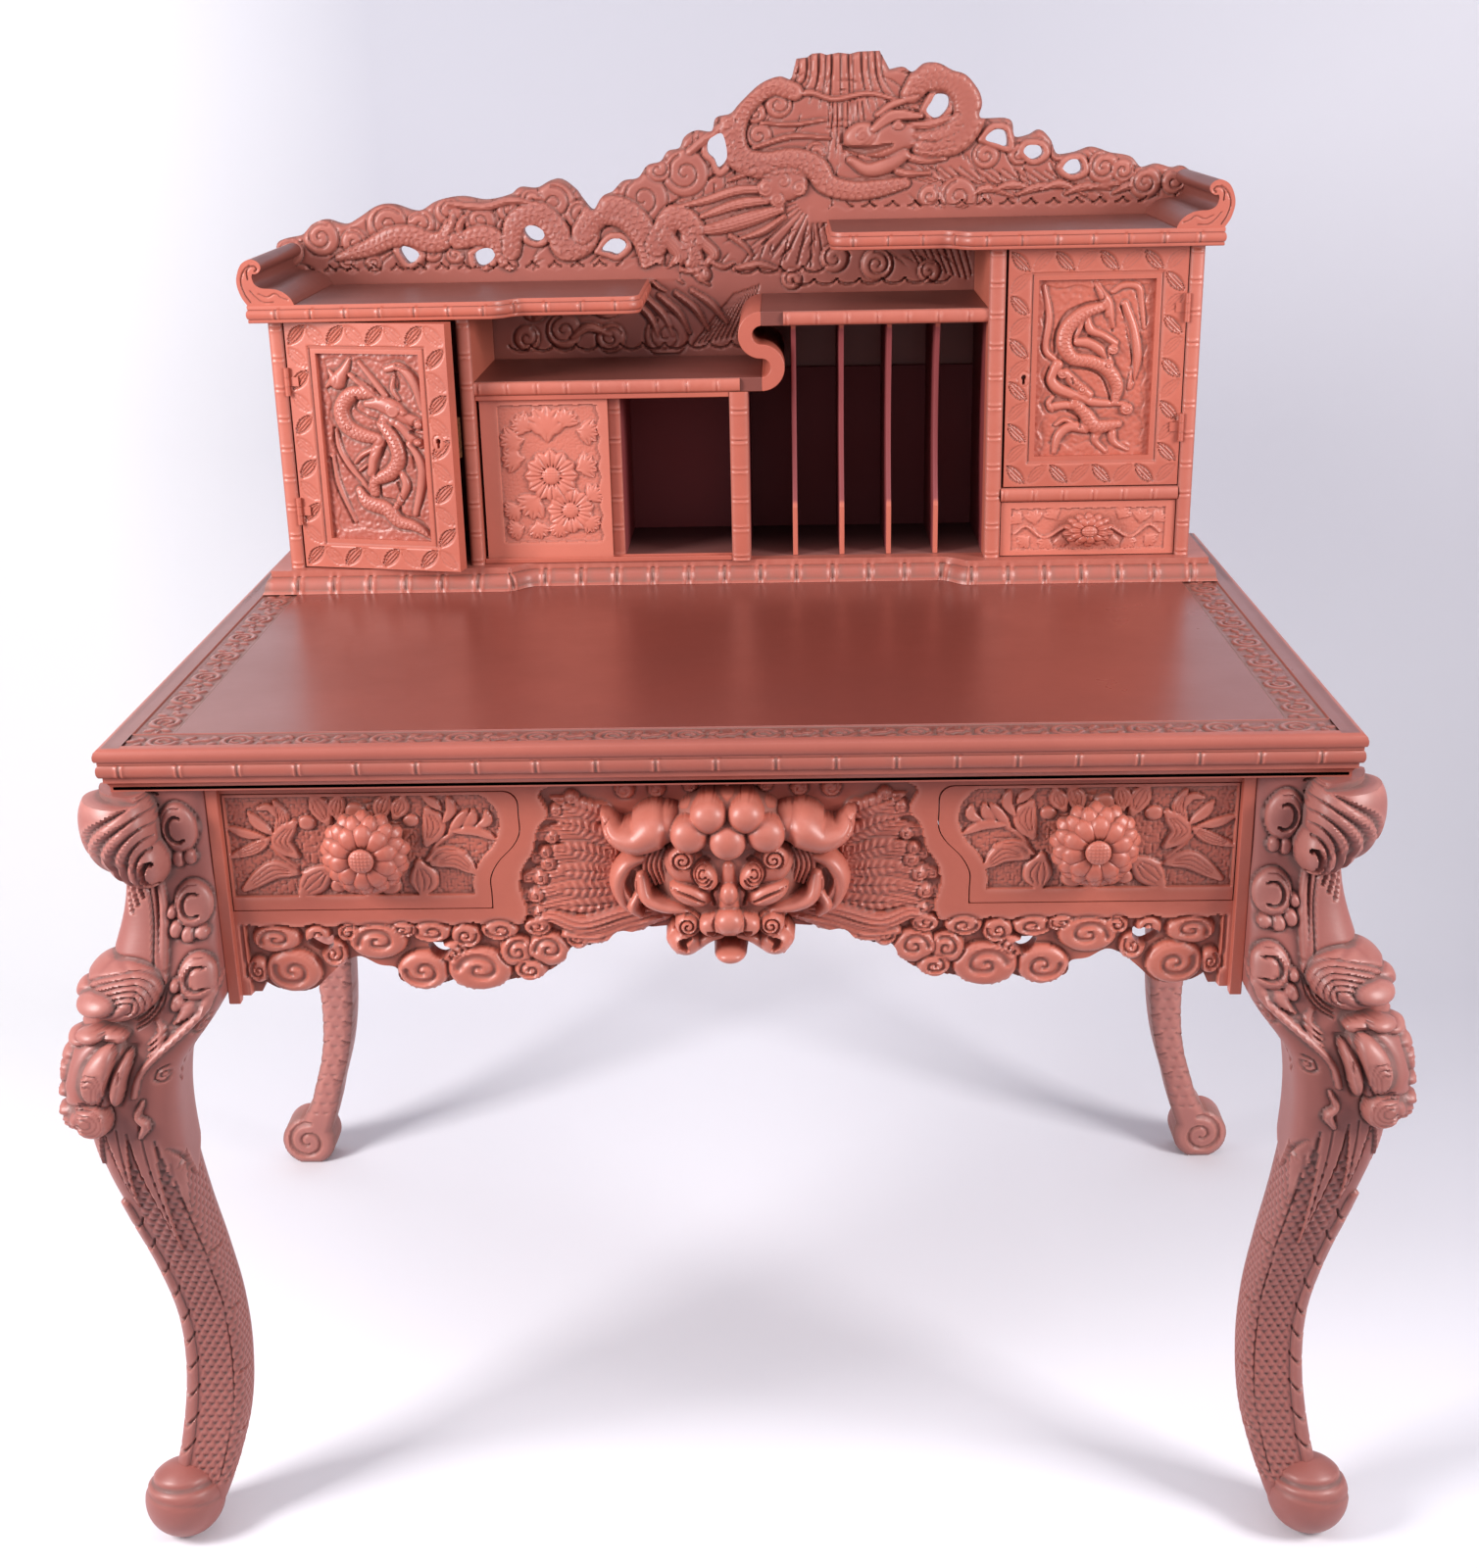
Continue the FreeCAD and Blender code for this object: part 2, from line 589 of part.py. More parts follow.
def drawer_edges(gap, y):
    """Right drawer's outline from the front, drawn in by a gap: square outside, ogee inside."""
    outer = DRAWER_OUTER_X - gap
    shoulder = DRAWER_SHOULDER_X + gap
    foot = DRAWER_FOOT_X + gap
    top = DRAWER_TOP - gap
    bottom = DRAWER_BOTTOM + gap
    turn = DRAWER_SHOULDER_ROUND
    nip = turn * (1 - math.sqrt(0.5))
    middle = Vector((shoulder + foot) / 2, y, (DRAWER_OGEE_TOP + DRAWER_OGEE_BOTTOM) / 2)
    swell = DRAWER_OGEE_SWELL
    high = Vector(shoulder, y, DRAWER_OGEE_TOP)
    low = Vector(foot, y, DRAWER_OGEE_BOTTOM)
    a = Vector(outer, y, top)
    b = Vector(shoulder + turn, y, top)
    c = Vector(shoulder, y, top - turn)
    d = Vector(foot, y, bottom)
    e = Vector(outer, y, bottom)
    return [
        line(a, b),
        arc(b, Vector(shoulder + nip, y, top - nip), c),
        line(c, high),
        arc(high, (high + middle) * 0.5 + Vector(-swell, 0, 0), middle),
        arc(middle, (middle + low) * 0.5 + Vector(swell, 0, 0), low),
        line(low, d),
        line(d, e),
        line(e, a),
    ]


def front_apron():
    """Half of the board, with its clouds, drawer opening and holes, joined to its mirror image."""
    cloud = [(CLOUD_END_X - inward, DRAWER_BOTTOM - drop) for inward, drop in CLOUD_LOBES]
    course = [Vector(x, APRON_FRONT, z) for x, z in [(CLOUD_END_X, cloud[0][1])] + cloud]
    half = []
    for a, b in zip(course, course[1:]):
        half.append(arc(a, (a + b) * 0.5 + Vector(0, 0, -CLOUD_LOBE_BULGE), b))
    corners = [
        course[0],
        Vector(CLOUD_END_X, APRON_FRONT, APRON_END_BOTTOM),
        Vector(LEG_INNER_X, APRON_FRONT, APRON_END_BOTTOM),
        Vector(LEG_INNER_X, APRON_FRONT, LEG_TOP),
        Vector(0, APRON_FRONT, LEG_TOP),
        Vector(0, APRON_FRONT, APRON_MIDDLE_BOTTOM),
        course[-1],
    ]
    half += [line(a, b) for a, b in zip(corners, corners[1:])]
    board = front_slab(half, APRON_FRONT, APRON_THICKNESS)
    cuts = [front_slab(drawer_edges(0.0, APRON_FRONT), APRON_FRONT, APRON_THICKNESS)]
    for inward, drop, radius in CLOUD_HOLES:
        place = (CLOUD_END_X - inward, APRON_FRONT, DRAWER_BOTTOM - drop)
        cuts.append(cylinder(radius, place, (0, 1, 0), APRON_THICKNESS))
    board = board.cut(cuts)
    return board.fuse(mirrored(board)).removeSplitter()


def arched_board(start, end, across):
    """A board from start to end with a low arch sawn in its lower edge, as thick as the vector across."""
    drop = Vector(0, 0, PLAIN_APRON_BOTTOM - LEG_TOP)
    low_start = start + drop
    low_end = end + drop
    crown = (low_start + low_end) * 0.5 + Vector(0, 0, PLAIN_APRON_RISE)
    edges = [line(start, end), line(end, low_end), arc(low_end, crown, low_start), line(low_start, start)]
    return Part.Face(Part.Wire(edges)).extrude(across)


def side_aprons():
    x = HALF - APRON_INSET
    start = Vector(x, LEG_FRONT + LEG_SECTION, LEG_TOP)
    end = Vector(x, REAR_LEG_FRONT, LEG_TOP)
    right = arched_board(start, end, Vector(-PLAIN_APRON_THICKNESS, 0, 0))
    return compound([right, mirrored(right)])


def back_apron():
    start = Vector(-LEG_INNER_X, BACK_APRON_FRONT, LEG_TOP)
    end = Vector(LEG_INNER_X, BACK_APRON_FRONT, LEG_TOP)
    return arched_board(start, end, Vector(0, PLAIN_APRON_THICKNESS, 0))


def leg_beads():
    x = (LEG_INNER_X - BEAD_WIDTH, LEG_INNER_X)
    z = (APRON_END_BOTTOM - BEAD_DROP, LEG_TOP)
    bead = box(x, (APRON_FRONT - BEAD_PROUD, APRON_FRONT), z)
    return compound([bead, mirrored(bead)])


def corner_blocks():
    """Glued triangles in the four corners, under the top."""
    blocks = []
    z = LEG_TOP - CORNER_BLOCK_HEIGHT
    side_x = HALF - APRON_INSET - PLAIN_APRON_THICKNESS
    rear_y = REAR_LEG_FRONT
    front_y = LEG_FRONT + LEG_SECTION
    for x_turn in (1, -1):
        for y, y_turn in ((front_y, 1), (rear_y, -1)):
            corner = Vector(x_turn * side_x, y, z)
            along = Vector(-x_turn * (side_x - LEG_INNER_X), 0, 0)
            inward = Vector(0, y_turn * CORNER_BLOCK_LEG, 0)
            outline = Part.makePolygon([corner, corner + along, corner + inward, corner])
            blocks.append(Part.Face(outline).extrude(Vector(0, 0, CORNER_BLOCK_HEIGHT)))
    return compound(blocks)


def apron_mask():
    """Rounded masses of the lion mask, carved from one block that is glued to the apron."""
    y = APRON_FRONT
    ball_y = y - MASK_DEPTH / 2
    low_y = y - MASK_CHIN_RADIUS / 2
    nose_z = LEG_TOP - MASK_NOSE_DROP
    face = egg(MASK_RADIUS, MASK_DEPTH, (0, y, MASK_HEIGHT), (0, 1, 0))
    masses = []
    for step in (-1, 0, 1):
        place = (step * MASK_BALL_SPACING, ball_y, LEG_TOP - MASK_BALL_DROP)
        masses.append(ball(MASK_BALL_RADIUS, place))
    for turn in (-1, 1):
        horn_place = (turn * MASK_HORN_PLACE, y - MASK_HORN_RADIUS / 2, LEG_TOP - MASK_HORN_DROP)
        masses.append(egg(MASK_HORN_RADIUS, MASK_HORN_LENGTH, horn_place, (1, 0, 0)))
        masses.append(ball(MASK_CHIN_RADIUS, (turn * MASK_CHEEK_PLACE, low_y, nose_z)))
    masses.append(ball(MASK_NOSE_RADIUS, (0, y - MASK_NOSE_REACH, nose_z)))
    masses.append(ball(MASK_CHIN_RADIUS, (0, low_y, LEG_TOP - MASK_CHIN_DROP)))
    whole = face.fuse(masses)
    reach = 3 * MASK_RADIUS
    behind = box((-reach, reach), (y, y + reach), (MASK_HEIGHT - reach, MASK_HEIGHT + reach))
    return whole.cut(behind)


# Apron drawers, drawn on the right

def drawer_side_z():
    bottom = DRAWER_BOTTOM + DRAWER_GAP + RUNNER_CLEARANCE + DRAWER_BASE_RISE
    return (bottom, bottom + DRAWER_SIDE_HEIGHT)


def drawer_box_x():
    return (DRAWER_FOOT_X + DRAWER_SIDE_CLEARANCE, DRAWER_OUTER_X - DRAWER_SIDE_CLEARANCE)


def drawer_front():
    edges = drawer_edges(DRAWER_GAP, APRON_FRONT)
    return front_slab(edges, APRON_FRONT, DRAWER_FRONT_THICKNESS)


def drawer_box():
    """Two sides and a back."""
    x = drawer_box_x()
    z = drawer_side_z()
    y = (APRON_FRONT + DRAWER_FRONT_THICKNESS, APRON_FRONT + DRAWER_FRONT_THICKNESS + DRAWER_DEPTH)
    inner = (x[0] + DRAWER_SIDE_THICKNESS, x[1] - DRAWER_SIDE_THICKNESS)
    return compound([
        box((x[0], inner[0]), y, z),
        box((inner[1], x[1]), y, z),
        box(inner, (y[1] - DRAWER_SIDE_THICKNESS, y[1]), z),
    ])


def drawer_base():
    x = drawer_box_x()
    z = drawer_side_z()[0] + DRAWER_BASE_RISE
    y = (APRON_FRONT + DRAWER_FRONT_THICKNESS, APRON_FRONT + DRAWER_FRONT_THICKNESS + DRAWER_DEPTH)
    inner = (x[0] + DRAWER_SIDE_THICKNESS, x[1] - DRAWER_SIDE_THICKNESS)
    return box(inner, (y[0], y[1] - DRAWER_SIDE_THICKNESS), (z, z + DRAWER_BASE_THICKNESS))


def flower_knob(radius, projection, stem, petals, heart):
    """A turned flower on a stem, with its axis along Y and its back at y = 0."""
    face_y = petals * KNOB_FACE_PLACE - projection
    profile = [
        (0, 0), (stem, 0), (stem, petals - projection), (radius * KNOB_BACK_SHARE, petals - projection),
        (radius, petals * KNOB_RIM_PLACE - projection), (radius * KNOB_FACE_SHARE, face_y), (heart, face_y),
        (heart * KNOB_HEART_TAPER, -projection), (0, -projection),
    ]
    points = [Vector(x, y, 0) for x, y in profile]
    face = Part.Face(Part.makePolygon(points + points[:1]))
    return face.revolve(Vector(0, 0, 0), Vector(0, 1, 0), 360)


def drawer_knob():
    sizes = (KNOB_RADIUS, KNOB_PROJECTION, KNOB_STEM_RADIUS, KNOB_PETAL_THICKNESS, KNOB_HEART_RADIUS)
    knob = flower_knob(*sizes)
    knob.translate(Vector(KNOB_X, APRON_FRONT, KNOB_HEIGHT))
    return knob


def drawer_runners():
    """Two rails from the front apron to the back apron, with a lip that guides the drawer's sides."""
    x = drawer_box_x()
    top = drawer_side_z()[0] - RUNNER_CLEARANCE
    y = (APRON_BACK, BACK_APRON_FRONT)
    rails = []
    for edge, turn in ((x[0], -1), (x[1], 1)):
        inside = edge - turn * DRAWER_SIDE_THICKNESS
        outside = edge + turn * (RUNNER_CLEARANCE + RUNNER_LIP)
        lip = edge + turn * RUNNER_CLEARANCE
        bed = box((min(inside, outside), max(inside, outside)), y, (top - RUNNER_HEIGHT, top))
        guide = box((min(lip, outside), max(lip, outside)), y, (top, top + RUNNER_HEIGHT))
        rails.append(bed.fuse(guide).removeSplitter())
    return compound(rails)


# Cabinet

def stepped_front(x_end, y_front, z):
    """The plinth's plan outline, whose front steps back by an ogee on each side of the middle."""
    y_mid = y_front + PLINTH_SETBACK
    y_back = CABINET_BACK
    points = [
        Vector(-x_end, y_back, z), Vector(-x_end, y_front, z), Vector(-STEP_OUTER_X, y_front, z),
        Vector(-STEP_INNER_X, y_mid, z), Vector(STEP_INNER_X, y_mid, z), Vector(STEP_OUTER_X, y_front, z),
        Vector(x_end, y_front, z), Vector(x_end, y_back, z),
    ]
    edges = [line(points[0], points[1]), line(points[1], points[2])]
    edges += ogee_edges(points[2], points[3])
    edges.append(line(points[3], points[4]))
    edges += ogee_edges(points[4], points[5])
    edges += [line(points[5], points[6]), line(points[6], points[7]), line(points[7], points[0])]
    return edges


def plinth_moulding():
    """Front and two returns: a lower step at full size and an upper one drawn in."""
    inset = PLINTH_UPPER_INSET
    lower_top = FLOOR_TOP - PLINTH_UPPER_HEIGHT
    lower_edges = stepped_front(PLINTH_HALF_WIDTH, PLINTH_FRONT, TOP_HEIGHT)
    upper_edges = stepped_front(PLINTH_HALF_WIDTH - inset, PLINTH_FRONT + inset, lower_top)
    solid = plan_slab(lower_edges, lower_top - TOP_HEIGHT).fuse(plan_slab(upper_edges, PLINTH_UPPER_HEIGHT))
    hollow_x = (-PLINTH_INNER, PLINTH_INNER)
    hollow = box(hollow_x, (PLINTH_HOLLOW_FRONT, CABINET_BACK), (TOP_HEIGHT, FLOOR_TOP))
    return solid.cut(hollow).removeSplitter()


def hutch_floor():
    x = (-PLINTH_INNER, PLINTH_INNER)
    return box(x, (PLINTH_HOLLOW_FRONT, CABINET_BACK), (FLOOR_TOP - FLOOR_THICKNESS, FLOOR_TOP))


def cabinet_side(x, thickness, top):
    return box((x, x + thickness), (CABINET_FRONT, CABINET_BACK), (FLOOR_TOP, top))


def strike_pocket(x, turn, z):
    """The mortise in an inner side that takes the thrown bolt."""
    y = lock_bolt_y()
    height = BOLT_HEIGHT / 2 + STRIKE_CLEARANCE
    end = x + turn * (BOLT_THROW - LOCK_FROM_EDGE - DOOR_FREE_GAP + STRIKE_CLEARANCE)
    spread = STRIKE_CLEARANCE
    return box((min(x, end), max(x, end)), (y[0] - spread, y[1] + spread), (z - height, z + height))


def left_inner_side():
    side = cabinet_side(LEFT_DOOR_RIGHT, SIDE_THICKNESS, LEFT_SHELF_BOTTOM)
    return side.cut(strike_pocket(LEFT_DOOR_RIGHT, 1, door_lock_z(left_door_z())))


def right_inner_side():
    side = cabinet_side(RIGHT_INNER_X, RIGHT_INNER_THICKNESS, RIGHT_SHELF_BOTTOM)
    return side.cut(strike_pocket(RIGHT_DOOR_LEFT, -1, door_lock_z(right_door_z())))


def top_shelf(turn, end_x, z):
    """A shelf over one cabinet, turn -1 on the left: set back beyond the cabinet, round at its free end."""
    y_mid = SHELF_FRONT + SHELF_SETBACK
    far = turn * end_x
    points = [
        Vector(SHELF_HALF_WIDTH, CABINET_BACK, z), Vector(SHELF_HALF_WIDTH, SHELF_FRONT, z),
        Vector(STEP_OUTER_X, SHELF_FRONT, z), Vector(STEP_INNER_X, y_mid, z),
        Vector(far + SHELF_END_ROUND, y_mid, z), Vector(far, y_mid + SHELF_END_ROUND, z),
        Vector(far, CABINET_BACK, z),
    ]
    edges = [line(points[0], points[1]), line(points[1], points[2])]
    edges += ogee_edges(points[2], points[3])
    nip = SHELF_END_ROUND * (1 - math.sqrt(0.5))
    edges.append(line(points[3], points[4]))
    edges.append(arc(points[4], Vector(far + nip, y_mid + nip, z), points[5]))
    edges += [line(points[5], points[6]), line(points[6], points[0])]
    shelf = plan_slab(edges, SHELF_THICKNESS)
    return shelf if turn > 0 else mirrored(shelf)


def scroll_wing(turn, shelf_top):
    """An upturned end on a shelf: a cove that rises into a roll, running from front to back."""
    outer = SHELF_HALF_WIDTH + WING_OVERHANG
    roll_x = outer - WING_ROLL_RADIUS
    roll_z = shelf_top + WING_HEIGHT - WING_ROLL_RADIUS
    foot = SHELF_HALF_WIDTH - WING_FOOT
    y = SHELF_FRONT
    low = Vector(foot, y, shelf_top)
    high = Vector(roll_x - WING_ROLL_RADIUS, y, roll_z)
    bend = (low + high) * 0.5 + Vector(WING_HOLLOW, 0, -WING_HOLLOW)
    base = Vector(SHELF_HALF_WIDTH, y, shelf_top)
    shoulder = Vector(SHELF_HALF_WIDTH, y, roll_z)
    edges = [arc(low, bend, high), line(high, shoulder), line(shoulder, base), line(base, low)]
    depth = CABINET_BACK - SHELF_FRONT
    body = front_slab(edges, y, depth)
    roll = cylinder(WING_ROLL_RADIUS, (roll_x, y, roll_z), (0, 1, 0), depth)
    wing = body.fuse(roll).removeSplitter()
    return wing if turn > 0 else mirrored(wing)


def gallery_board():
    """Clouds on both sides climb to the flat peak; the foot of the board closes the back above the panel."""
    y = CABINET_BACK
    left_step = LEFT_SHELF_BOTTOM + SHELF_THICKNESS
    right_step = RIGHT_SHELF_BOTTOM + SHELF_THICKNESS
    start = (GALLERY_LEFT_END, left_step, 0.0)
    course = GALLERY_LEFT_CREST + GALLERY_PEAK + GALLERY_RIGHT_CREST
    crest = [start] + [(x, FLOOR_TOP + rise, swell) for x, rise, swell in course]
    edges = lobed_edges(crest, y)
    foot = [
        crest[-1], (GALLERY_RIGHT_END, right_step, 0.0), (CABINET_HALF_WIDTH, right_step, 0.0),
        (CABINET_HALF_WIDTH, LOWER_MID_BOTTOM, 0.0), (-CABINET_HALF_WIDTH, LOWER_MID_BOTTOM, 0.0),
        (-CABINET_HALF_WIDTH, left_step, 0.0), start,
    ]
    edges += lobed_edges([(x, z, 0.0) for x, z, _ in foot], y)
    board = front_slab(edges, y, GALLERY_THICKNESS)
    holes = []
    for x, rise, radius in GALLERY_HOLES:
        holes.append(cylinder(radius, (x, y, FLOOR_TOP + rise), (0, 1, 0), GALLERY_THICKNESS))
    return board.cut(holes)


def back_panel():
    x = (-CABINET_HALF_WIDTH, CABINET_HALF_WIDTH)
    return box(x, (CABINET_BACK, CABINET_BACK + BACK_PANEL_THICKNESS), (TOP_HEIGHT, LOWER_MID_BOTTOM))


def lower_mid_shelf():
    return box((LEFT_INNER_X, SCROLL_X), (MID_FRONT, CABINET_BACK), (LOWER_MID_BOTTOM, LOWER_MID_TOP))


def upper_mid_shelf():
    return box((SCROLL_X, RIGHT_INNER_X), (MID_FRONT, CABINET_BACK), (UPPER_MID_BOTTOM, UPPER_MID_TOP))


def half_ring_edges(z, turn):
    """A half ring about (SCROLL_X, z) that swells towards turn."""
    outer = SCROLL_RADIUS + MID_THICKNESS / 2
    inner = SCROLL_RADIUS - MID_THICKNESS / 2

    def at(dx, dz):
        return Vector(SCROLL_X + dx, MID_FRONT, z + dz)

    return [
        arc(at(0, -outer), at(turn * outer, 0), at(0, outer)),
        line(at(0, outer), at(0, inner)),
        arc(at(0, inner), at(turn * inner, 0), at(0, -inner)),
        line(at(0, -inner), at(0, -outer)),
    ]


def scroll_board():
    lower_z = LOWER_MID_BOTTOM + MID_THICKNESS / 2 + SCROLL_RADIUS
    upper_z = lower_z + 2 * SCROLL_RADIUS
    depth = CABINET_BACK - MID_FRONT
    lower = front_slab(half_ring_edges(lower_z, 1), MID_FRONT, depth)
    upper = front_slab(half_ring_edges(upper_z, -1), MID_FRONT, depth)
    return lower.fuse(upper).removeSplitter()


def slot_divider():
    x = (SLOT_DIVIDER_X, SLOT_DIVIDER_X + SLOT_DIVIDER_THICKNESS)
    return box(x, (MID_FRONT, CABINET_BACK), (FLOOR_TOP, LOWER_MID_BOTTOM))


def panel_divider():
    x = (PANEL_DIVIDER_X, PANEL_DIVIDER_X + PANEL_DIVIDER_THICKNESS)
    return box(x, (PANEL_DIVIDER_FRONT, CABINET_BACK), (FLOOR_TOP, LOWER_MID_BOTTOM))


def letter_dividers():
    """Thin boards whose front edge is hollowed between a straight foot and the shelf."""
    boards = []
    for step in range(LETTER_DIVIDERS):
        x = RIGHT_INNER_X - (step + 1) * LETTER_PITCH - LETTER_DIVIDER_THICKNESS / 2

        def at(y, z):
            return Vector(x, y, z)

        knee = FLOOR_TOP + LETTER_DIVIDER_FOOT
        hollow = at(LETTER_DIVIDER_FRONT + LETTER_DIVIDER_HOLLOW, (knee + UPPER_MID_BOTTOM) / 2)
        front_low = at(LETTER_DIVIDER_FRONT, FLOOR_TOP)
        front_knee = at(LETTER_DIVIDER_FRONT, knee)
        front_top = at(LETTER_DIVIDER_FRONT, UPPER_MID_BOTTOM)
        back_top = at(CABINET_BACK, UPPER_MID_BOTTOM)
        back_low = at(CABINET_BACK, FLOOR_TOP)
        edges = [
            line(front_low, front_knee), arc(front_knee, hollow, front_top), line(front_top, back_top),
            line(back_top, back_low), line(back_low, front_low),
        ]
        boards.append(Part.Face(Part.Wire(edges)).extrude(Vector(LETTER_DIVIDER_THICKNESS, 0, 0)))
    return compound(boards)


def right_cabinet_rail():
    x = (RIGHT_DOOR_LEFT, OUTER_SIDE_INNER_X)
    return box(x, (CABINET_FRONT, CABINET_BACK), (RAIL_BOTTOM, RAIL_TOP))


# Sliding panel

def panel_z():
    low = FLOOR_TOP + TRACK_HEIGHT - TRACK_GROOVE + TRACK_CLEARANCE
    high = LOWER_MID_BOTTOM - TRACK_HEIGHT + TRACK_GROOVE - TRACK_LIFT
    return (low, high)


def panel_tracks():
    x = (LEFT_INNER_X, SLOT_DIVIDER_X)
    y = (TRACK_FRONT, TRACK_FRONT + TRACK_WIDTH)
    groove_y = (PANEL_FRONT - TRACK_CLEARANCE, PANEL_FRONT + PANEL_THICKNESS + TRACK_CLEARANCE)
    lower = box(x, y, (FLOOR_TOP, FLOOR_TOP + TRACK_HEIGHT))
    lower = lower.cut(box(x, groove_y, (FLOOR_TOP + TRACK_HEIGHT - TRACK_GROOVE, FLOOR_TOP + TRACK_HEIGHT)))
    upper = box(x, y, (LOWER_MID_BOTTOM - TRACK_HEIGHT, LOWER_MID_BOTTOM))
    ceiling = LOWER_MID_BOTTOM - TRACK_HEIGHT
    upper = upper.cut(box(x, groove_y, (ceiling, ceiling + TRACK_GROOVE)))
    return compound([lower, upper])


def sliding_panel():
    x = (PANEL_LEFT, PANEL_LEFT + PANEL_WIDTH)
    return box(x, (PANEL_FRONT, PANEL_FRONT + PANEL_THICKNESS), panel_z())


# Doors, drawn closed and hinged on the right; the left one is mirrored, then swung ajar

def left_door_z():
    return (FLOOR_TOP + DOOR_END_GAP, LEFT_SHELF_BOTTOM - DOOR_END_GAP)


def right_door_z():
    return (RAIL_TOP + DOOR_END_GAP, RIGHT_SHELF_BOTTOM - DOOR_END_GAP)


def left_door_x():
    """The left door's reach, seen in the mirror."""
    return (-LEFT_DOOR_RIGHT + DOOR_FREE_GAP, OUTER_SIDE_INNER_X - DOOR_HINGE_GAP)


def right_door_x():
    return (RIGHT_DOOR_LEFT + DOOR_FREE_GAP, OUTER_SIDE_INNER_X - DOOR_HINGE_GAP)


def door_lock_z(z):
    return (z[0] + z[1]) / 2 + LOCK_RISE


def door_frame(x, z):
    y = (CABINET_FRONT, CABINET_FRONT + DOOR_THICKNESS)
    inner_x = (x[0] + DOOR_FRAME_WIDTH, x[1] - DOOR_FRAME_WIDTH)
    inner_z = (z[0] + DOOR_FRAME_WIDTH, z[1] - DOOR_FRAME_WIDTH)
    return compound([
        box((x[0], inner_x[0]), y, z),
        box((inner_x[1], x[1]), y, z),
        box(inner_x, y, (z[0], inner_z[0])),
        box(inner_x, y, (inner_z[1], z[1])),
    ])


def door_panel(x, z):
    y = CABINET_FRONT + DOOR_PANEL_RECESS
    inner_x = (x[0] + DOOR_FRAME_WIDTH, x[1] - DOOR_FRAME_WIDTH)
    inner_z = (z[0] + DOOR_FRAME_WIDTH, z[1] - DOOR_FRAME_WIDTH)
    return box(inner_x, (y, y + DOOR_PANEL_THICKNESS), inner_z)


def lock_bolt_y():
    middle = CABINET_FRONT + DOOR_THICKNESS + LOCK_DEPTH / 2
    return (middle - BOLT_THICKNESS / 2, middle + BOLT_THICKNESS / 2)


def lock_case(x, z):
    """A box on the back of the free stile, with a channel for the bolt that opens at the free edge."""
    y = (CABINET_FRONT + DOOR_THICKNESS, CABINET_FRONT + DOOR_THICKNESS + LOCK_DEPTH)
    middle = door_lock_z(z)
    left = x[0] + LOCK_FROM_EDGE
    case = box((left, left + LOCK_WIDTH), y, (middle - LOCK_HEIGHT / 2, middle + LOCK_HEIGHT / 2))
    bolt_y = lock_bolt_y()
    half = BOLT_HEIGHT / 2 + BOLT_CLEARANCE
    channel = box(
        (left, left + LOCK_WIDTH - LOCK_WALL),
        (bolt_y[0] - BOLT_CLEARANCE, bolt_y[1] + BOLT_CLEARANCE),
        (middle - half, middle + half),
    )
    return case.cut(channel)


def lock_bolt(x, z):
    middle = door_lock_z(z)
    left = x[0] + LOCK_FROM_EDGE
    z = (middle - BOLT_HEIGHT / 2, middle + BOLT_HEIGHT / 2)
    return box((left, left + BOLT_LENGTH), lock_bolt_y(), z)


def hinge_heights(z):
    return (z[0] + HINGE_FROM_END, z[1] - HINGE_FROM_END)


def barrel(z, height, bore):
    outside = cylinder(HINGE_BARREL_RADIUS, (HINGE_X, HINGE_Y, z), (0, 0, 1), height)
    return outside.cut(cylinder(bore, (HINGE_X, HINGE_Y, z), (0, 0, 1), height))


def leaf(x, z, height, bore):
    """A plate on the wood's front face, joined to its knuckle."""
    y = (CABINET_FRONT - HINGE_LEAF_THICKNESS, CABINET_FRONT)
    plate = box((min(x), max(x)), y, (z, z + height))
    knuckle = barrel(z, height, bore)
    return knuckle.fuse(plate).removeSplitter()


def fixed_leaves(z):
    """Upper and lower knuckles of each hinge, on the post."""
    leaves = []
    bore = HINGE_PIN_RADIUS + HINGE_PIN_CLEARANCE
    pitch = HINGE_KNUCKLE_HEIGHT + HINGE_KNUCKLE_GAP
    for middle in hinge_heights(z):
        lowest = middle - HINGE_KNUCKLE_HEIGHT / 2 - pitch
        for z0 in (lowest, lowest + 2 * pitch):
            leaves.append(leaf((HINGE_X, HINGE_X + HINGE_LEAF_WIDTH), z0, HINGE_KNUCKLE_HEIGHT, bore))
    return leaves


def door_leaves(z):
    """The middle knuckle of each hinge, on the door."""
    bore = HINGE_PIN_RADIUS + HINGE_PIN_CLEARANCE
    leaves = []
    for middle in hinge_heights(z):
        z0 = middle - HINGE_KNUCKLE_HEIGHT / 2
        leaves.append(leaf((HINGE_X, HINGE_X - HINGE_LEAF_WIDTH), z0, HINGE_KNUCKLE_HEIGHT, bore))
    return leaves


def hinge_pins(z):
    pitch = HINGE_KNUCKLE_HEIGHT + HINGE_KNUCKLE_GAP
    pins = []
    length = 2 * pitch + HINGE_KNUCKLE_HEIGHT
    for middle in hinge_heights(z):
        lowest = middle - HINGE_KNUCKLE_HEIGHT / 2 - pitch
        pins.append(cylinder(HINGE_PIN_RADIUS, (HINGE_X, HINGE_Y, lowest), (0, 0, 1), length))
    return pins


def swung(shape):
    """The left door's pieces, mirrored to the left and swung open by the rest angle."""
    piece = mirrored(shape)
    piece.rotate(Vector(-HINGE_X, HINGE_Y, 0), Vector(0, 0, 1), -LEFT_DOOR_AJAR)
    return piece


# Small drawer

def small_drawer_x():
    return (RIGHT_DOOR_LEFT + SMALL_DRAWER_GAP, OUTER_SIDE_INNER_X - SMALL_DRAWER_GAP)


def small_drawer_z():
    return (FLOOR_TOP + SMALL_DRAWER_GAP, RAIL_BOTTOM - SMALL_DRAWER_GAP)


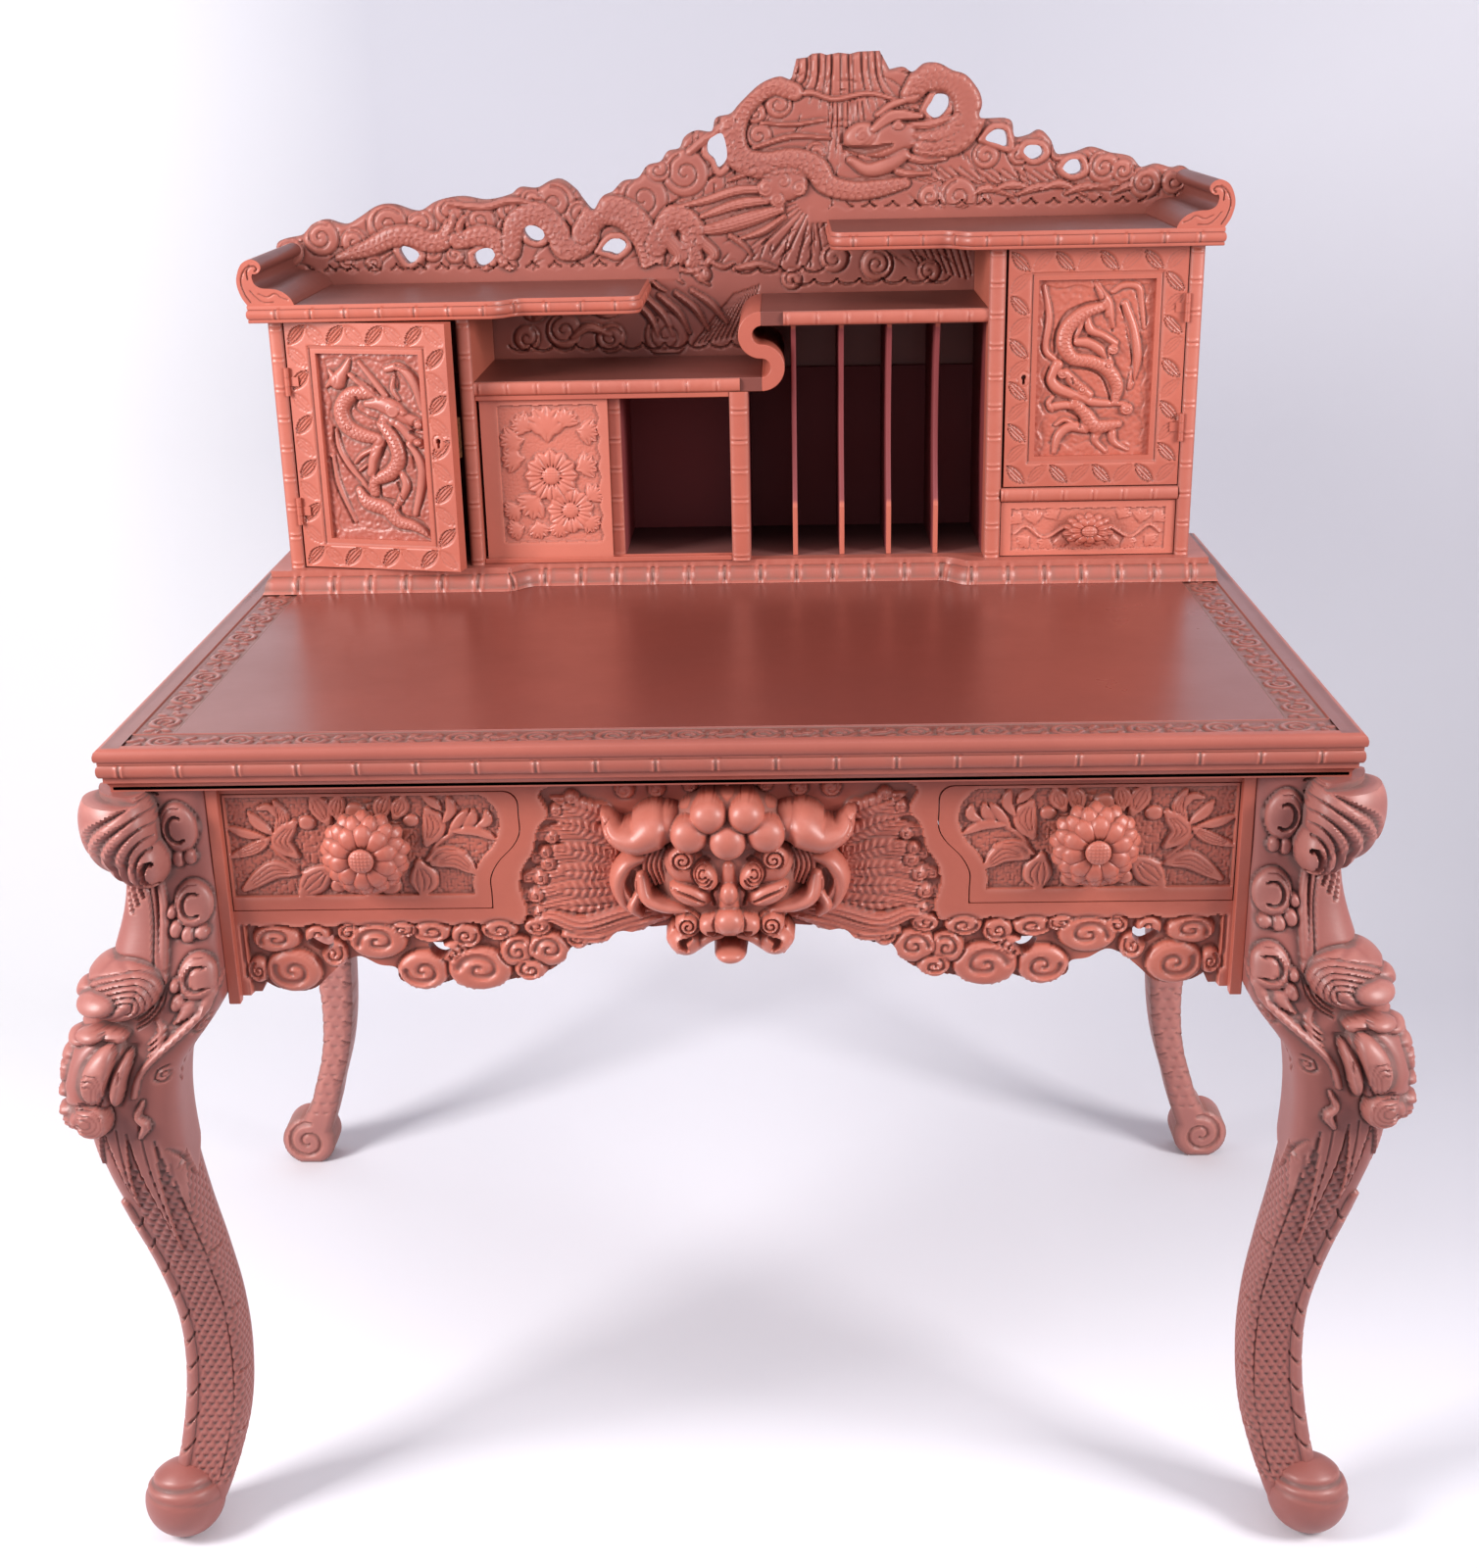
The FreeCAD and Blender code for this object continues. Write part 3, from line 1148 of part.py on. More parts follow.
def small_drawer_front():
    y = (CABINET_FRONT, CABINET_FRONT + SMALL_FRONT_THICKNESS)
    return box(small_drawer_x(), y, small_drawer_z())


def small_drawer_box():
    """Two sides, a back and a bottom, which run on the cabinet floor."""
    x = small_drawer_x()
    x = (x[0] + SMALL_SIDE_INSET, x[1] - SMALL_SIDE_INSET)
    z = (FLOOR_TOP + SMALL_FLOOR_CLEARANCE, small_drawer_z()[1] - SMALL_SIDE_DROP)
    y = (CABINET_FRONT + SMALL_FRONT_THICKNESS, CABINET_FRONT + SMALL_FRONT_THICKNESS + SMALL_DRAWER_DEPTH)
    inner = (x[0] + SMALL_SIDE_THICKNESS, x[1] - SMALL_SIDE_THICKNESS)
    return compound([
        box((x[0], inner[0]), y, z),
        box((inner[1], x[1]), y, z),
        box(inner, (y[1] - SMALL_SIDE_THICKNESS, y[1]), z),
        box(inner, (y[0], y[1] - SMALL_SIDE_THICKNESS), (z[0], z[0] + SMALL_BASE_THICKNESS)),
    ])


def small_drawer_knob():
    x = small_drawer_x()
    z = small_drawer_z()
    sizes = (SMALL_KNOB_RADIUS, SMALL_KNOB_PROJECTION, SMALL_KNOB_STEM, SMALL_KNOB_PETALS, SMALL_KNOB_HEART)
    knob = flower_knob(*sizes)
    stretch = FreeCAD.Matrix()
    stretch.scale(Vector(SMALL_KNOB_STRETCH, 1, 1))
    knob = knob.transformGeometry(stretch)
    knob.translate(Vector((x[0] + x[1]) / 2, CABINET_FRONT, (z[0] + z[1]) / 2))
    return knob


def all_parts():
    left_x = left_door_x()
    left_z = left_door_z()
    right_x = right_door_x()
    right_z = right_door_z()
    parts = {
        "desk_top": desk_top(),
        "top_under_moulding": top_under_moulding(),
        "front_right_leg": front_right_leg(),
        "rear_right_leg": rear_right_leg(),
        "front_apron": front_apron(),
        "apron_mask": apron_mask(),
        "side_aprons": side_aprons(),
        "back_apron": back_apron(),
        "leg_beads": leg_beads(),
        "corner_blocks": corner_blocks(),
        "plinth_moulding": plinth_moulding(),
        "hutch_floor": hutch_floor(),
        "left_outer_side": cabinet_side(-CABINET_HALF_WIDTH, SIDE_THICKNESS, LEFT_SHELF_BOTTOM),
        "left_inner_side": left_inner_side(),
        "right_inner_side": right_inner_side(),
        "right_outer_side": cabinet_side(OUTER_SIDE_INNER_X, SIDE_THICKNESS, RIGHT_SHELF_BOTTOM),
        "left_shelf": top_shelf(-1, LEFT_SHELF_END, LEFT_SHELF_BOTTOM),
        "right_shelf": top_shelf(1, RIGHT_SHELF_END, RIGHT_SHELF_BOTTOM),
        "left_scroll_wing": scroll_wing(-1, LEFT_SHELF_BOTTOM + SHELF_THICKNESS),
        "right_scroll_wing": scroll_wing(1, RIGHT_SHELF_BOTTOM + SHELF_THICKNESS),
        "gallery_board": gallery_board(),
        "back_panel": back_panel(),
        "lower_mid_shelf": lower_mid_shelf(),
        "scroll_board": scroll_board(),
        "upper_mid_shelf": upper_mid_shelf(),
        "slot_divider": slot_divider(),
        "panel_divider": panel_divider(),
        "letter_dividers": letter_dividers(),
        "panel_tracks": panel_tracks(),
        "sliding_panel": sliding_panel(),
        "right_cabinet_rail": right_cabinet_rail(),
        "small_drawer_front": small_drawer_front(),
        "small_drawer_box": small_drawer_box(),
        "small_drawer_knob": small_drawer_knob(),
        "left_door_frame": swung(door_frame(left_x, left_z)),
        "left_door_panel": swung(door_panel(left_x, left_z)),
        "left_lock_case": swung(lock_case(left_x, left_z)),
        "left_lock_bolt": swung(lock_bolt(left_x, left_z)),
        "left_door_hinge_leaves": swung(compound(door_leaves(left_z))),
        "right_door_frame": door_frame(right_x, right_z),
        "right_door_panel": door_panel(right_x, right_z),
        "right_lock_case": lock_case(right_x, right_z),
        "right_lock_bolt": lock_bolt(right_x, right_z),
        "right_door_hinge_leaves": compound(door_leaves(right_z)),
        "fixed_hinge_leaves": compound([*fixed_leaves(right_z), mirrored(compound(fixed_leaves(left_z)))]),
        "hinge_pins": compound([*hinge_pins(right_z), mirrored(compound(hinge_pins(left_z)))]),
    }
    parts["front_left_leg"] = mirrored(parts["front_right_leg"])
    parts["rear_left_leg"] = mirrored(parts["rear_right_leg"])
    drawer = {
        "front": drawer_front(), "box": drawer_box(), "base": drawer_base(),
        "knob": drawer_knob(), "runners": drawer_runners(),
    }
    for name, shape in drawer.items():
        parts["right_drawer_" + name] = shape
        parts["left_drawer_" + name] = mirrored(shape)
    return parts


os.makedirs("parts", exist_ok=True)
for node, shape in all_parts().items():
    shape.exportStep("parts/" + node + ".step")
    reach = shape.BoundBox
    limits = (reach.XMin, reach.XMax, reach.YMin, reach.YMax, reach.ZMin, reach.ZMax)
    places = " ".join("%.1f" % limit for limit in limits)
    print(node, shape.isValid(), len(shape.Solids), "%.0f" % shape.Volume, places)
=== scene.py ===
# %% [markdown]
# # A carved writing desk
# The desk is a table on four cabriole legs, with a low cabinet and a pierced gallery at its back, all under one coat
# of brick-red lacquer. The plain boards come in as solids and only need softened edges and a finish. The carved faces
# are what the eye goes to, so most of this lesson is about carving: a flat grid is pushed into relief, as a carver
# sets in the outlines, lowers the ground and then models what is left standing.

# %% Load the solids
import json
from math import ceil, cos, exp, pi, radians, sin, sqrt

import bmesh
import bpy
import numpy as np
from mathutils import Matrix, Vector


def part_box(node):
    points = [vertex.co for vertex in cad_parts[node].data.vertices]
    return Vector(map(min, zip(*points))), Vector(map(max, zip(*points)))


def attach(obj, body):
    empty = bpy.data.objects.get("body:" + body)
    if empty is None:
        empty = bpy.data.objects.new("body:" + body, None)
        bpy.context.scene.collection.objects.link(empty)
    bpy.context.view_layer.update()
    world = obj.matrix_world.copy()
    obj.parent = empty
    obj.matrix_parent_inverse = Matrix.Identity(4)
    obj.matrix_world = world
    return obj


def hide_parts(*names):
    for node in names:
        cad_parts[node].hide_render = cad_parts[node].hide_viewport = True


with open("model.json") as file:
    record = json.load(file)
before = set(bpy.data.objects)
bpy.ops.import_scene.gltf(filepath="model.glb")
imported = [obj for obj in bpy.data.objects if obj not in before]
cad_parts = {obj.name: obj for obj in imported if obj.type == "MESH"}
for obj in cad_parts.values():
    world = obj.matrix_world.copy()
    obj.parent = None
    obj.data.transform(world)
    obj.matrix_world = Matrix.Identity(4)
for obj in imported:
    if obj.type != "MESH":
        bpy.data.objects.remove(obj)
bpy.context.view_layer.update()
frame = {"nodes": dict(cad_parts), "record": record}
MM = 0.001

# %% [markdown]
# ## The camera
# The photographer stood in front of the desk, a little above the writing surface, and looked down by about twenty
# degrees. Measuring the mouldings that run straight across gives the place, the turn and the lens. The matrix is
# written from the three directions, right, up and backwards, because that keeps the small roll of the hand-held view.

# %% Camera
YAW, PITCH, ROLL = 0.026121, 0.351182, -0.021279
STAND = (0.0500, -1.8299, 1.2776)
SENSOR, LENS = 36.0, 46.125
ahead = Vector((-sin(YAW) * cos(PITCH), cos(YAW) * cos(PITCH), -sin(PITCH)))
level_right = Vector((cos(YAW), sin(YAW), 0.0))
level_up = level_right.cross(ahead)
right = level_right * cos(ROLL) + level_up * sin(ROLL)
up = level_up * cos(ROLL) - level_right * sin(ROLL)
camera_data = bpy.data.cameras.new("studio_camera")
camera_data.sensor_width, camera_data.lens = SENSOR, LENS
camera = bpy.data.objects.new("studio_camera", camera_data)
camera.matrix_world = Matrix.Translation(STAND) @ Matrix((right, up, -ahead)).transposed().to_4x4()
bpy.context.scene.collection.objects.link(camera)
bpy.context.scene.camera = camera
bpy.context.scene.view_settings.view_transform = "Standard"
print("camera looks along", [round(v, 3) for v in ahead])

# %% [markdown]
# ## Node helpers
# A material is a tree of nodes. Writing out each node and link is long, so a few helpers put a node in place, feed its
# inputs with plain values or with links, and hand back the socket that comes out.

# %% Node helpers
def feed(tree, target, value):
    """Links an output socket to an input, or sets the input to a plain value."""
    if isinstance(value, bpy.types.NodeSocket):
        tree.links.new(value, target)
    else:
        target.default_value = value


def put(tree, kind, **values):
    """A node with some of its properties and inputs set."""
    node = tree.nodes.new("ShaderNode" + kind)
    settings = [key for key in values if hasattr(node, key) and key not in node.inputs]
    for key in settings:
        setattr(node, key, values[key])
    for key, value in values.items():
        if key not in settings:
            feed(tree, node.inputs[key.replace("_", " ")], value)
    return node


def blend(tree, share, low, high):
    """Mixes two colours."""
    node = put(tree, "Mix", data_type="RGBA", Factor=share)
    feed(tree, node.inputs[6], low)
    feed(tree, node.inputs[7], high)
    return node.outputs[2]


def ramp(tree, value, low, high, to_low=0.0, to_high=1.0):
    """Maps a value from one span to another, and stops at both ends."""
    node = put(tree, "MapRange", Value=value, From_Min=low, From_Max=high, To_Min=to_low, To_Max=to_high)
    return node.outputs["Result"]


def maths(tree, operation, a, b):
    """One sum of two values."""
    node = put(tree, "Math", operation=operation)
    feed(tree, node.inputs[0], a)
    feed(tree, node.inputs[1], b)
    return node.outputs[0]


def new_material(name):
    """A material, its tree and its main shader."""
    material = bpy.data.materials.new(name)
    material.use_nodes = True
    return material, material.node_tree, material.node_tree.nodes["Principled BSDF"]


print("node helpers ready")

# %% [markdown]
# ## The studio
# White paper rolls down behind the desk and out over the floor, without a corner. A grid makes the sheet: its back part
# is bent up round a quarter circle. The reverse of the sheet lets the camera look through, so the desk can be seen from
# behind. The paper greys away from the desk, as the light falls off.

# %% Paper sweep
BEND_START, BEND_RADIUS = 0.75, 0.55
sweep = bmesh.new()
bmesh.ops.create_grid(sweep, x_segments=4, y_segments=160, size=4.0)
for vert in sweep.verts:
    past = vert.co.y - BEND_START
    if past > 0.0:
        turn = min(past / BEND_RADIUS, pi / 2)
        rest = max(0.0, past - BEND_RADIUS * pi / 2)
        vert.co.y = BEND_START + BEND_RADIUS * sin(turn)
        vert.co.z = BEND_RADIUS * (1.0 - cos(turn)) + rest
paper_mesh = bpy.data.meshes.new("paper_sweep")
sweep.to_mesh(paper_mesh)
sweep.free()
paper_mesh.shade_smooth()
paper_sweep = bpy.data.objects.new("paper_sweep", paper_mesh)
bpy.context.scene.collection.objects.link(paper_sweep)
paper, paper_tree, paper_shader = new_material("white_paper")
spot = put(paper_tree, "SeparateXYZ", Vector=put(paper_tree, "TexCoord").outputs["Object"])
shade = (0.82, 0.815, 0.87, 1.0)
for axis, start, end, tone in (("Z", 0.05, 0.7, (0.53, 0.53, 0.59)), ("X", 0.35, 1.1, (0.63, 0.625, 0.68)),
                               ("X", -0.55, -1.05, (0.85, 0.85, 0.87)), ("Y", -0.38, -0.60, (0.45, 0.44, 0.48))):
    shade = blend(paper_tree, ramp(paper_tree, spot.outputs[axis], start, end), shade, (*tone, 1.0))
paper_tree.links.new(shade, paper_shader.inputs["Base Color"])
paper_shader.inputs["Roughness"].default_value = 0.9
two_sides = put(paper_tree, "MixShader", Fac=put(paper_tree, "NewGeometry").outputs["Backfacing"])
paper_tree.links.new(paper_shader.outputs["BSDF"], two_sides.inputs[1])
paper_tree.links.new(put(paper_tree, "BsdfTransparent").outputs["BSDF"], two_sides.inputs[2])
paper_tree.links.new(two_sides.outputs["Shader"], paper_tree.nodes["Material Output"].inputs["Surface"])
paper_mesh.materials.append(paper)
print("paper faces:", len(paper_mesh.polygons))

# %% [markdown]
# Two soft boxes stand in front, one on each side, so each drawer knob throws its shadow towards the middle. A third,
# weak one hangs above and lights the paper, and the world fills what they leave. The camera and the gloss see a paler
# air than the one that lights the desk.

# %% Lamps and air
def soft_box(name, place, target, size, watts, tint):
    """A rectangular lamp that faces a point."""
    data = bpy.data.lights.new(name, "AREA")
    data.shape = "RECTANGLE"
    data.size, data.size_y = size
    data.energy = watts
    data.color = tint
    lamp = bpy.data.objects.new(name, data)
    lamp.location = place
    lamp.rotation_euler = (Vector(target) - Vector(place)).to_track_quat("-Z", "Y").to_euler()
    bpy.context.scene.collection.objects.link(lamp)


LAMPS = [
    ("left_box", (-1.75, -1.0, 1.52), (-0.1, 0.1, 0.75), (0.7, 0.9), 57.0, (1.0, 0.97, 0.96)),
    ("right_box", (1.85, -1.0, 1.52), (0.1, 0.1, 0.75), (0.7, 0.9), 45.0, (1.0, 0.97, 0.96)),
    ("paper_box", (0.0, -0.9, 2.9), (0.0, 0.9, 0.9), (2.2, 0.8), 9.0, (0.95, 0.96, 1.0)),
]
for lamp in LAMPS:
    soft_box(*lamp)
FILL_TINT, FILL_STRENGTH = (0.86, 0.87, 0.95, 1.0), 0.40
SEEN_TINT, SEEN_STRENGTH = (0.80, 0.81, 0.87, 1.0), 1.0
studio = bpy.data.worlds.new("studio_air")
studio.use_nodes = True
air = studio.node_tree
fill, seen = air.nodes["Background"], put(air, "Background", Color=SEEN_TINT, Strength=SEEN_STRENGTH)
fill.inputs["Color"].default_value, fill.inputs["Strength"].default_value = FILL_TINT, FILL_STRENGTH
rays = put(air, "LightPath")
looks = rays.outputs["Is Camera Ray"]
for kind in ("Is Glossy Ray", "Is Transmission Ray"):
    looks = maths(air, "MAXIMUM", looks, rays.outputs[kind])
chosen = put(air, "MixShader", Fac=looks)
for place, background in enumerate((fill, seen), 1):
    air.links.new(background.outputs["Background"], chosen.inputs[place])
air.links.new(chosen.outputs["Shader"], air.nodes["World Output"].inputs["Surface"])
bpy.context.scene.world = studio
print("lamps:", len(LAMPS))

# %% [markdown]
# ## The finish
# One lacquer covers everything, but it never looks even: broad patches are a little darker, the brush left fine
# streaks and grey dust sits in every hollow. The high places are paler, partly rubbed by hands and partly a painted
# highlight. All red surfaces share that, so it is a node group. Each carved mesh carries an attribute named hollow,
# which is above zero where the surface lies lower than its surroundings and below zero where it stands higher, and the
# group turns it into dust, and into rubbing with a painted highlight.

# %% The shared lacquer group
def socket(group, name, kind, out=False):
    """Adds an input or an output to a node group."""
    group.interface.new_socket(name=name, in_out="OUTPUT" if out else "INPUT", socket_type="NodeSocket" + kind)


lacquer = bpy.data.node_groups.new("aged_lacquer", "ShaderNodeTree")
for label in ("Coat", "Patch", "Dust", "Rub"):
    socket(lacquer, label, "Color")
for label in ("Dust Amount", "Rub Amount", "Gloss Roughness"):
    socket(lacquer, label, "Float")
for label, kind in (("Color", "Color"), ("Roughness", "Float"), ("Height", "Float")):
    socket(lacquer, label, kind, out=True)
entry = lacquer.nodes.new("NodeGroupInput")
leave = lacquer.nodes.new("NodeGroupOutput")
place = put(lacquer, "TexCoord").outputs["Object"]
hollow = put(lacquer, "Attribute", attribute_name="hollow").outputs["Fac"]
patches = put(lacquer, "TexNoise", Vector=place, Scale=4.5, Detail=5.0, Roughness=0.6).outputs["Fac"]
mottle = put(lacquer, "TexNoise", Vector=place, Scale=70.0, Detail=6.0, Roughness=0.65).outputs["Fac"]
streaks = put(lacquer, "Mapping", Vector=place)
streaks.inputs["Scale"].default_value = (60.0, 420.0, 420.0)
brush = put(lacquer, "TexNoise", Vector=streaks.outputs["Vector"], Scale=1.0, Detail=3.0).outputs["Fac"]
coat = blend(lacquer, ramp(lacquer, patches, 0.38, 0.68), entry.outputs["Coat"], entry.outputs["Patch"])
coat = blend(lacquer, ramp(lacquer, mottle, 0.45, 0.8, 0.0, 0.35), coat, entry.outputs["Patch"])
grime = maths(lacquer, "MULTIPLY", ramp(lacquer, hollow, 0.12, 1.0), ramp(lacquer, mottle, 0.25, 0.6, 0.45, 1.0))
grime = maths(lacquer, "MULTIPLY", grime, entry.outputs["Dust Amount"])
coat = blend(lacquer, grime, coat, entry.outputs["Dust"])
# Raised places turn paler: rubbed wear, and a painted highlight on the high carving.
touch = maths(lacquer, "MULTIPLY", ramp(lacquer, hollow, -0.15, -1.1), ramp(lacquer, mottle, 0.3, 0.7, 0.4, 1.0))
touch = maths(lacquer, "MULTIPLY", touch, entry.outputs["Rub Amount"])
coat = blend(lacquer, touch, coat, entry.outputs["Rub"])
dull = maths(lacquer, "MULTIPLY", grime, 0.35)
uneven = ramp(lacquer, patches, 0.3, 0.7, -0.05, 0.07)
rough = maths(lacquer, "ADD", entry.outputs["Gloss Roughness"], uneven)
lacquer.links.new(coat, leave.inputs["Color"])
lacquer.links.new(maths(lacquer, "ADD", rough, dull), leave.inputs["Roughness"])
lacquer.links.new(maths(lacquer, "ADD", maths(lacquer, "MULTIPLY", brush, 0.5), mottle), leave.inputs["Height"])


RED, DEEP = (0.475, 0.120, 0.078), (0.395, 0.093, 0.062)
# Grey dust, and the pale of raised places, which is rubbed wear and a painted highlight.
GREY, PALE = (0.20, 0.105, 0.085), (0.62, 0.24, 0.185)


def lacquered(name, amounts, coat=RED, patch=DEEP, dust=GREY, rub=PALE, bump=0.25, gloss=0.15):
    """A material of the shared lacquer, with its own colours and gloss."""
    material, tree, shader = new_material(name)
    group = tree.nodes.new("ShaderNodeGroup")
    group.node_tree = lacquer
    for label, value in (("Coat", coat), ("Patch", patch), ("Dust", dust), ("Rub", rub)):
        group.inputs[label].default_value = (*value, 1.0)
    for label, value in zip(("Dust Amount", "Rub Amount", "Gloss Roughness"), amounts):
        group.inputs[label].default_value = value
    tree.links.new(group.outputs["Color"], shader.inputs["Base Color"])
    tree.links.new(group.outputs["Roughness"], shader.inputs["Roughness"])
    relief = put(tree, "Bump", Strength=bump, Distance=0.0006, Height=group.outputs["Height"])
    tree.links.new(relief.outputs["Normal"], shader.inputs["Normal"])
    shader.inputs["Specular IOR Level"].default_value = 0.5
    shader.inputs["Coat Weight"].default_value = gloss
    shader.inputs["Coat Roughness"].default_value = 0.28
    return material


red_lacquer = lacquered("red_lacquer", (0.75, 0.45, 0.42), dust=(0.23, 0.100, 0.080))
board_lacquer = lacquered("board_lacquer", (0.0, 0.0, 0.40))
top_lacquer = lacquered("top_lacquer", (0.9, 0.3, 0.30), (0.215, 0.046, 0.033), (0.18, 0.037, 0.026), bump=0.12,
                        gloss=0.3)
plain_wood = lacquered("plain_wood", (0.6, 0.2, 0.62), (0.30, 0.115, 0.075), (0.22, 0.080, 0.052), bump=0.4, gloss=0.0)
leg_lacquer = lacquered("dusty_leg_lacquer", (0.85, 0.5, 0.46), (0.30, 0.090, 0.074), (0.25, 0.078, 0.066),
                        (0.15, 0.080, 0.072), (0.50, 0.20, 0.165), gloss=0.12)
rear_leg_lacquer = lacquered("rear_leg_lacquer", (0.7, 0.4, 0.46), (0.42, 0.150, 0.125), (0.36, 0.130, 0.110),
                             (0.26, 0.125, 0.105), gloss=0.12)
gallery_lacquer = lacquered("gallery_lacquer", (0.7, 0.4, 0.45), (0.345, 0.094, 0.068), (0.295, 0.080, 0.060),
                            (0.21, 0.095, 0.078), gloss=0.12)
edge_lacquer = lacquered("edge_lacquer", (0.7, 0.4, 0.42), (0.39, 0.100, 0.070), (0.33, 0.080, 0.056))
pale_lacquer = lacquered("pale_lacquer", (0.7, 0.4, 0.42), (0.57, 0.165, 0.115), (0.50, 0.142, 0.098),
                         (0.34, 0.135, 0.105), (0.68, 0.28, 0.22))
# The shelves' lacquer is far darker than the rest: partly their own darker coat and partly painted shade.
shelf_coat_and_painted_shade = lacquered("shelf_coat_and_painted_shade", (0.0, 0.0, 0.45), (0.19, 0.048, 0.035), (0.16, 0.042, 0.031), bump=0.2,
                          gloss=0.1)


def darkens(name, red, dark, start, end, ceiling, rough, gloss, half_width=1.0):
    """A lacquer with painted shade: it darkens with depth into the cabinet, below a ceiling and inside a half width."""
    material = lacquered(name, (0.0, 0.0, rough), bump=0.2, gloss=gloss)
    tree = material.node_tree
    group = next(node for node in tree.nodes if node.type == "GROUP")
    spot = put(tree, "SeparateXYZ", Vector=put(tree, "TexCoord").outputs["Object"])
    aside = maths(tree, "ABSOLUTE", spot.outputs["X"], 0.0)
    share = maths(tree, "MULTIPLY", ramp(tree, spot.outputs["Y"], start, end),
                  ramp(tree, spot.outputs["Z"], ceiling, ceiling - 0.002))
    share = maths(tree, "MULTIPLY", share, ramp(tree, aside, half_width, half_width - 0.001))
    coat = blend(tree, share, (*red, 1.0), (*dark, 1.0))
    for label in ("Coat", "Patch"):
        tree.links.new(coat, group.inputs[label])
    return material


# The near black below is painted shade for the inside of the cabinet.
PAINTED_SHADE = (0.22, 0.038, 0.041)
ABOVE_ALL = 1.2
BACK_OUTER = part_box("back_panel")[1][1]
inside_painted_shade = darkens("inside_painted_shade", RED, PAINTED_SHADE, 0.2072, 0.2085, ABOVE_ALL, 0.6, 0.0)
back_coat_and_painted_shade = darkens("back_coat_and_painted_shade", (0.33, 0.115, 0.082), PAINTED_SHADE, BACK_OUTER - 0.0006, BACK_OUTER - 0.0016, ABOVE_ALL,
                     0.6, 0.0, 0.4594)
left_side_painted_shade = darkens("left_side_painted_shade", RED, PAINTED_SHADE, 0.208, 0.212, 0.956, 0.45, 0.1)
right_side_painted_shade = darkens("right_side_painted_shade", RED, PAINTED_SHADE, 0.208, 0.212, 1.020, 0.45, 0.1)
# The floor is paler brown at the front, where dust lies, and turns to painted shade deeper in.
floor_dust_and_painted_shade = darkens("floor_dust_and_painted_shade", (0.25, 0.09, 0.075), (0.06, 0.014, 0.014), 0.20, 0.30, ABOVE_ALL, 0.7, 0.0)
print("lacquer materials:", len(bpy.data.materials) - 1)

# %% [markdown]
# The locks are old brass, brown where the air has reached it, and noise mixes the bright and the brown metal. The
# hinges are brass too, but they were lacquered over with the cabinet, so they are red.

# %% Brass
brass, brass_tree, brass_shader = new_material("old_brass")
brass_place = put(brass_tree, "TexCoord").outputs["Object"]
tarnish = put(brass_tree, "TexNoise", Vector=brass_place, Scale=220.0, Detail=5.0).outputs["Fac"]
metal = blend(brass_tree, ramp(brass_tree, tarnish, 0.4, 0.65), (0.34, 0.21, 0.10, 1.0), (0.10, 0.05, 0.03, 1.0))
brass_tree.links.new(metal, brass_shader.inputs["Base Color"])
brass_tree.links.new(ramp(brass_tree, tarnish, 0.3, 0.7, 0.35, 0.6), brass_shader.inputs["Roughness"])
brass_shader.inputs["Metallic"].default_value = 1.0
print("brass made")

# %% [markdown]
# ## The plain boards
# Sides, shelves, rails and runners are sawn and planed boards, and the solids already have their shapes. A carver's
# shop never leaves an edge sharp, so a Weld joins the loose triangles and a Bevel rounds the corners a little, without
# touching the solids themselves.

# %% Finish for the solids
WELD_GAP, EASED_EDGE, SHARP_ANGLE = 0.00002, 0.0009, 40
SLOT_FINISH = {"red_lacquer": board_lacquer, "writing_top": top_lacquer, "plain_wood": plain_wood,
               "brass_fittings": brass}
PAINTED_OVER = ("fixed_hinge_leaves", "left_door_hinge_leaves", "right_door_hinge_leaves", "hinge_pins")
node_slot = {part["node"]: part["material_slot"] for part in frame["record"]["subparts"]}
for node, solid in frame["nodes"].items():
    solid.data.materials.clear()
    solid.data.materials.append(board_lacquer if node in PAINTED_OVER else SLOT_FINISH[node_slot[node]])
    if node_slot[node] == "brass_fittings":
        continue
    weld = solid.modifiers.new("joined", "WELD")
    weld.merge_threshold = WELD_GAP
    edge = solid.modifiers.new("eased_edges", "BEVEL")
    edge.width, edge.segments = EASED_EDGE, 2
    edge.limit_method = "ANGLE"
    edge.angle_limit = radians(SHARP_ANGLE)
    edge.harden_normals = True
print("solids finished:", len(frame["nodes"]))

# %% [markdown]
# ## Carving tools
# A carving is a height above or below a board's face, so it can be drawn as a height map: a table of numbers over a
# rectangle, in millimetres. Each tool below adds one form to the map. A ridge or groove follows a smooth curve and
# reads its half width and height from the curve's points, a dome is a rounded lump, a scroll is a lump with a spiral
# cut into it, and a leaf has a midrib and side veins. Forms that stand out are joined by taking the higher of the two.

# %% Curves and the height map
def curve(points, closed=False, pieces=7):
    """A smooth run through points; every column after the place is smoothed along with it."""
    p = np.array(points, float)
    if len(p) == 2 and not closed:
        return p[0] + np.linspace(0, 1, 12)[:, None] * (p[1] - p[0])
    ring = np.vstack([p[-1], p, p[:2]]) if closed else np.vstack([2 * p[0] - p[1], p, 2 * p[-1] - p[-2]])
    t = np.linspace(0, 1, pieces, endpoint=False)[:, None]
    runs = []
    for a, b, c, d in zip(ring, ring[1:], ring[2:], ring[3:]):
        runs.append(b + 0.5 * (c - a) * t + (a - 2.5 * b + 2 * c - 0.5 * d) * t ** 2
                    + (-0.5 * a + 1.5 * b - 1.5 * c + 0.5 * d) * t ** 3)
    return np.vstack(runs if closed else runs + [p[-1:]])


def arc(x, z, rx, rz, start, end, count, *cut):
    """Points on part of an ellipse, each with the same half width and height if these are given."""
    return [(x + rx * cos(a), z + rz * sin(a), *cut) for a in np.linspace(start, end, count)]


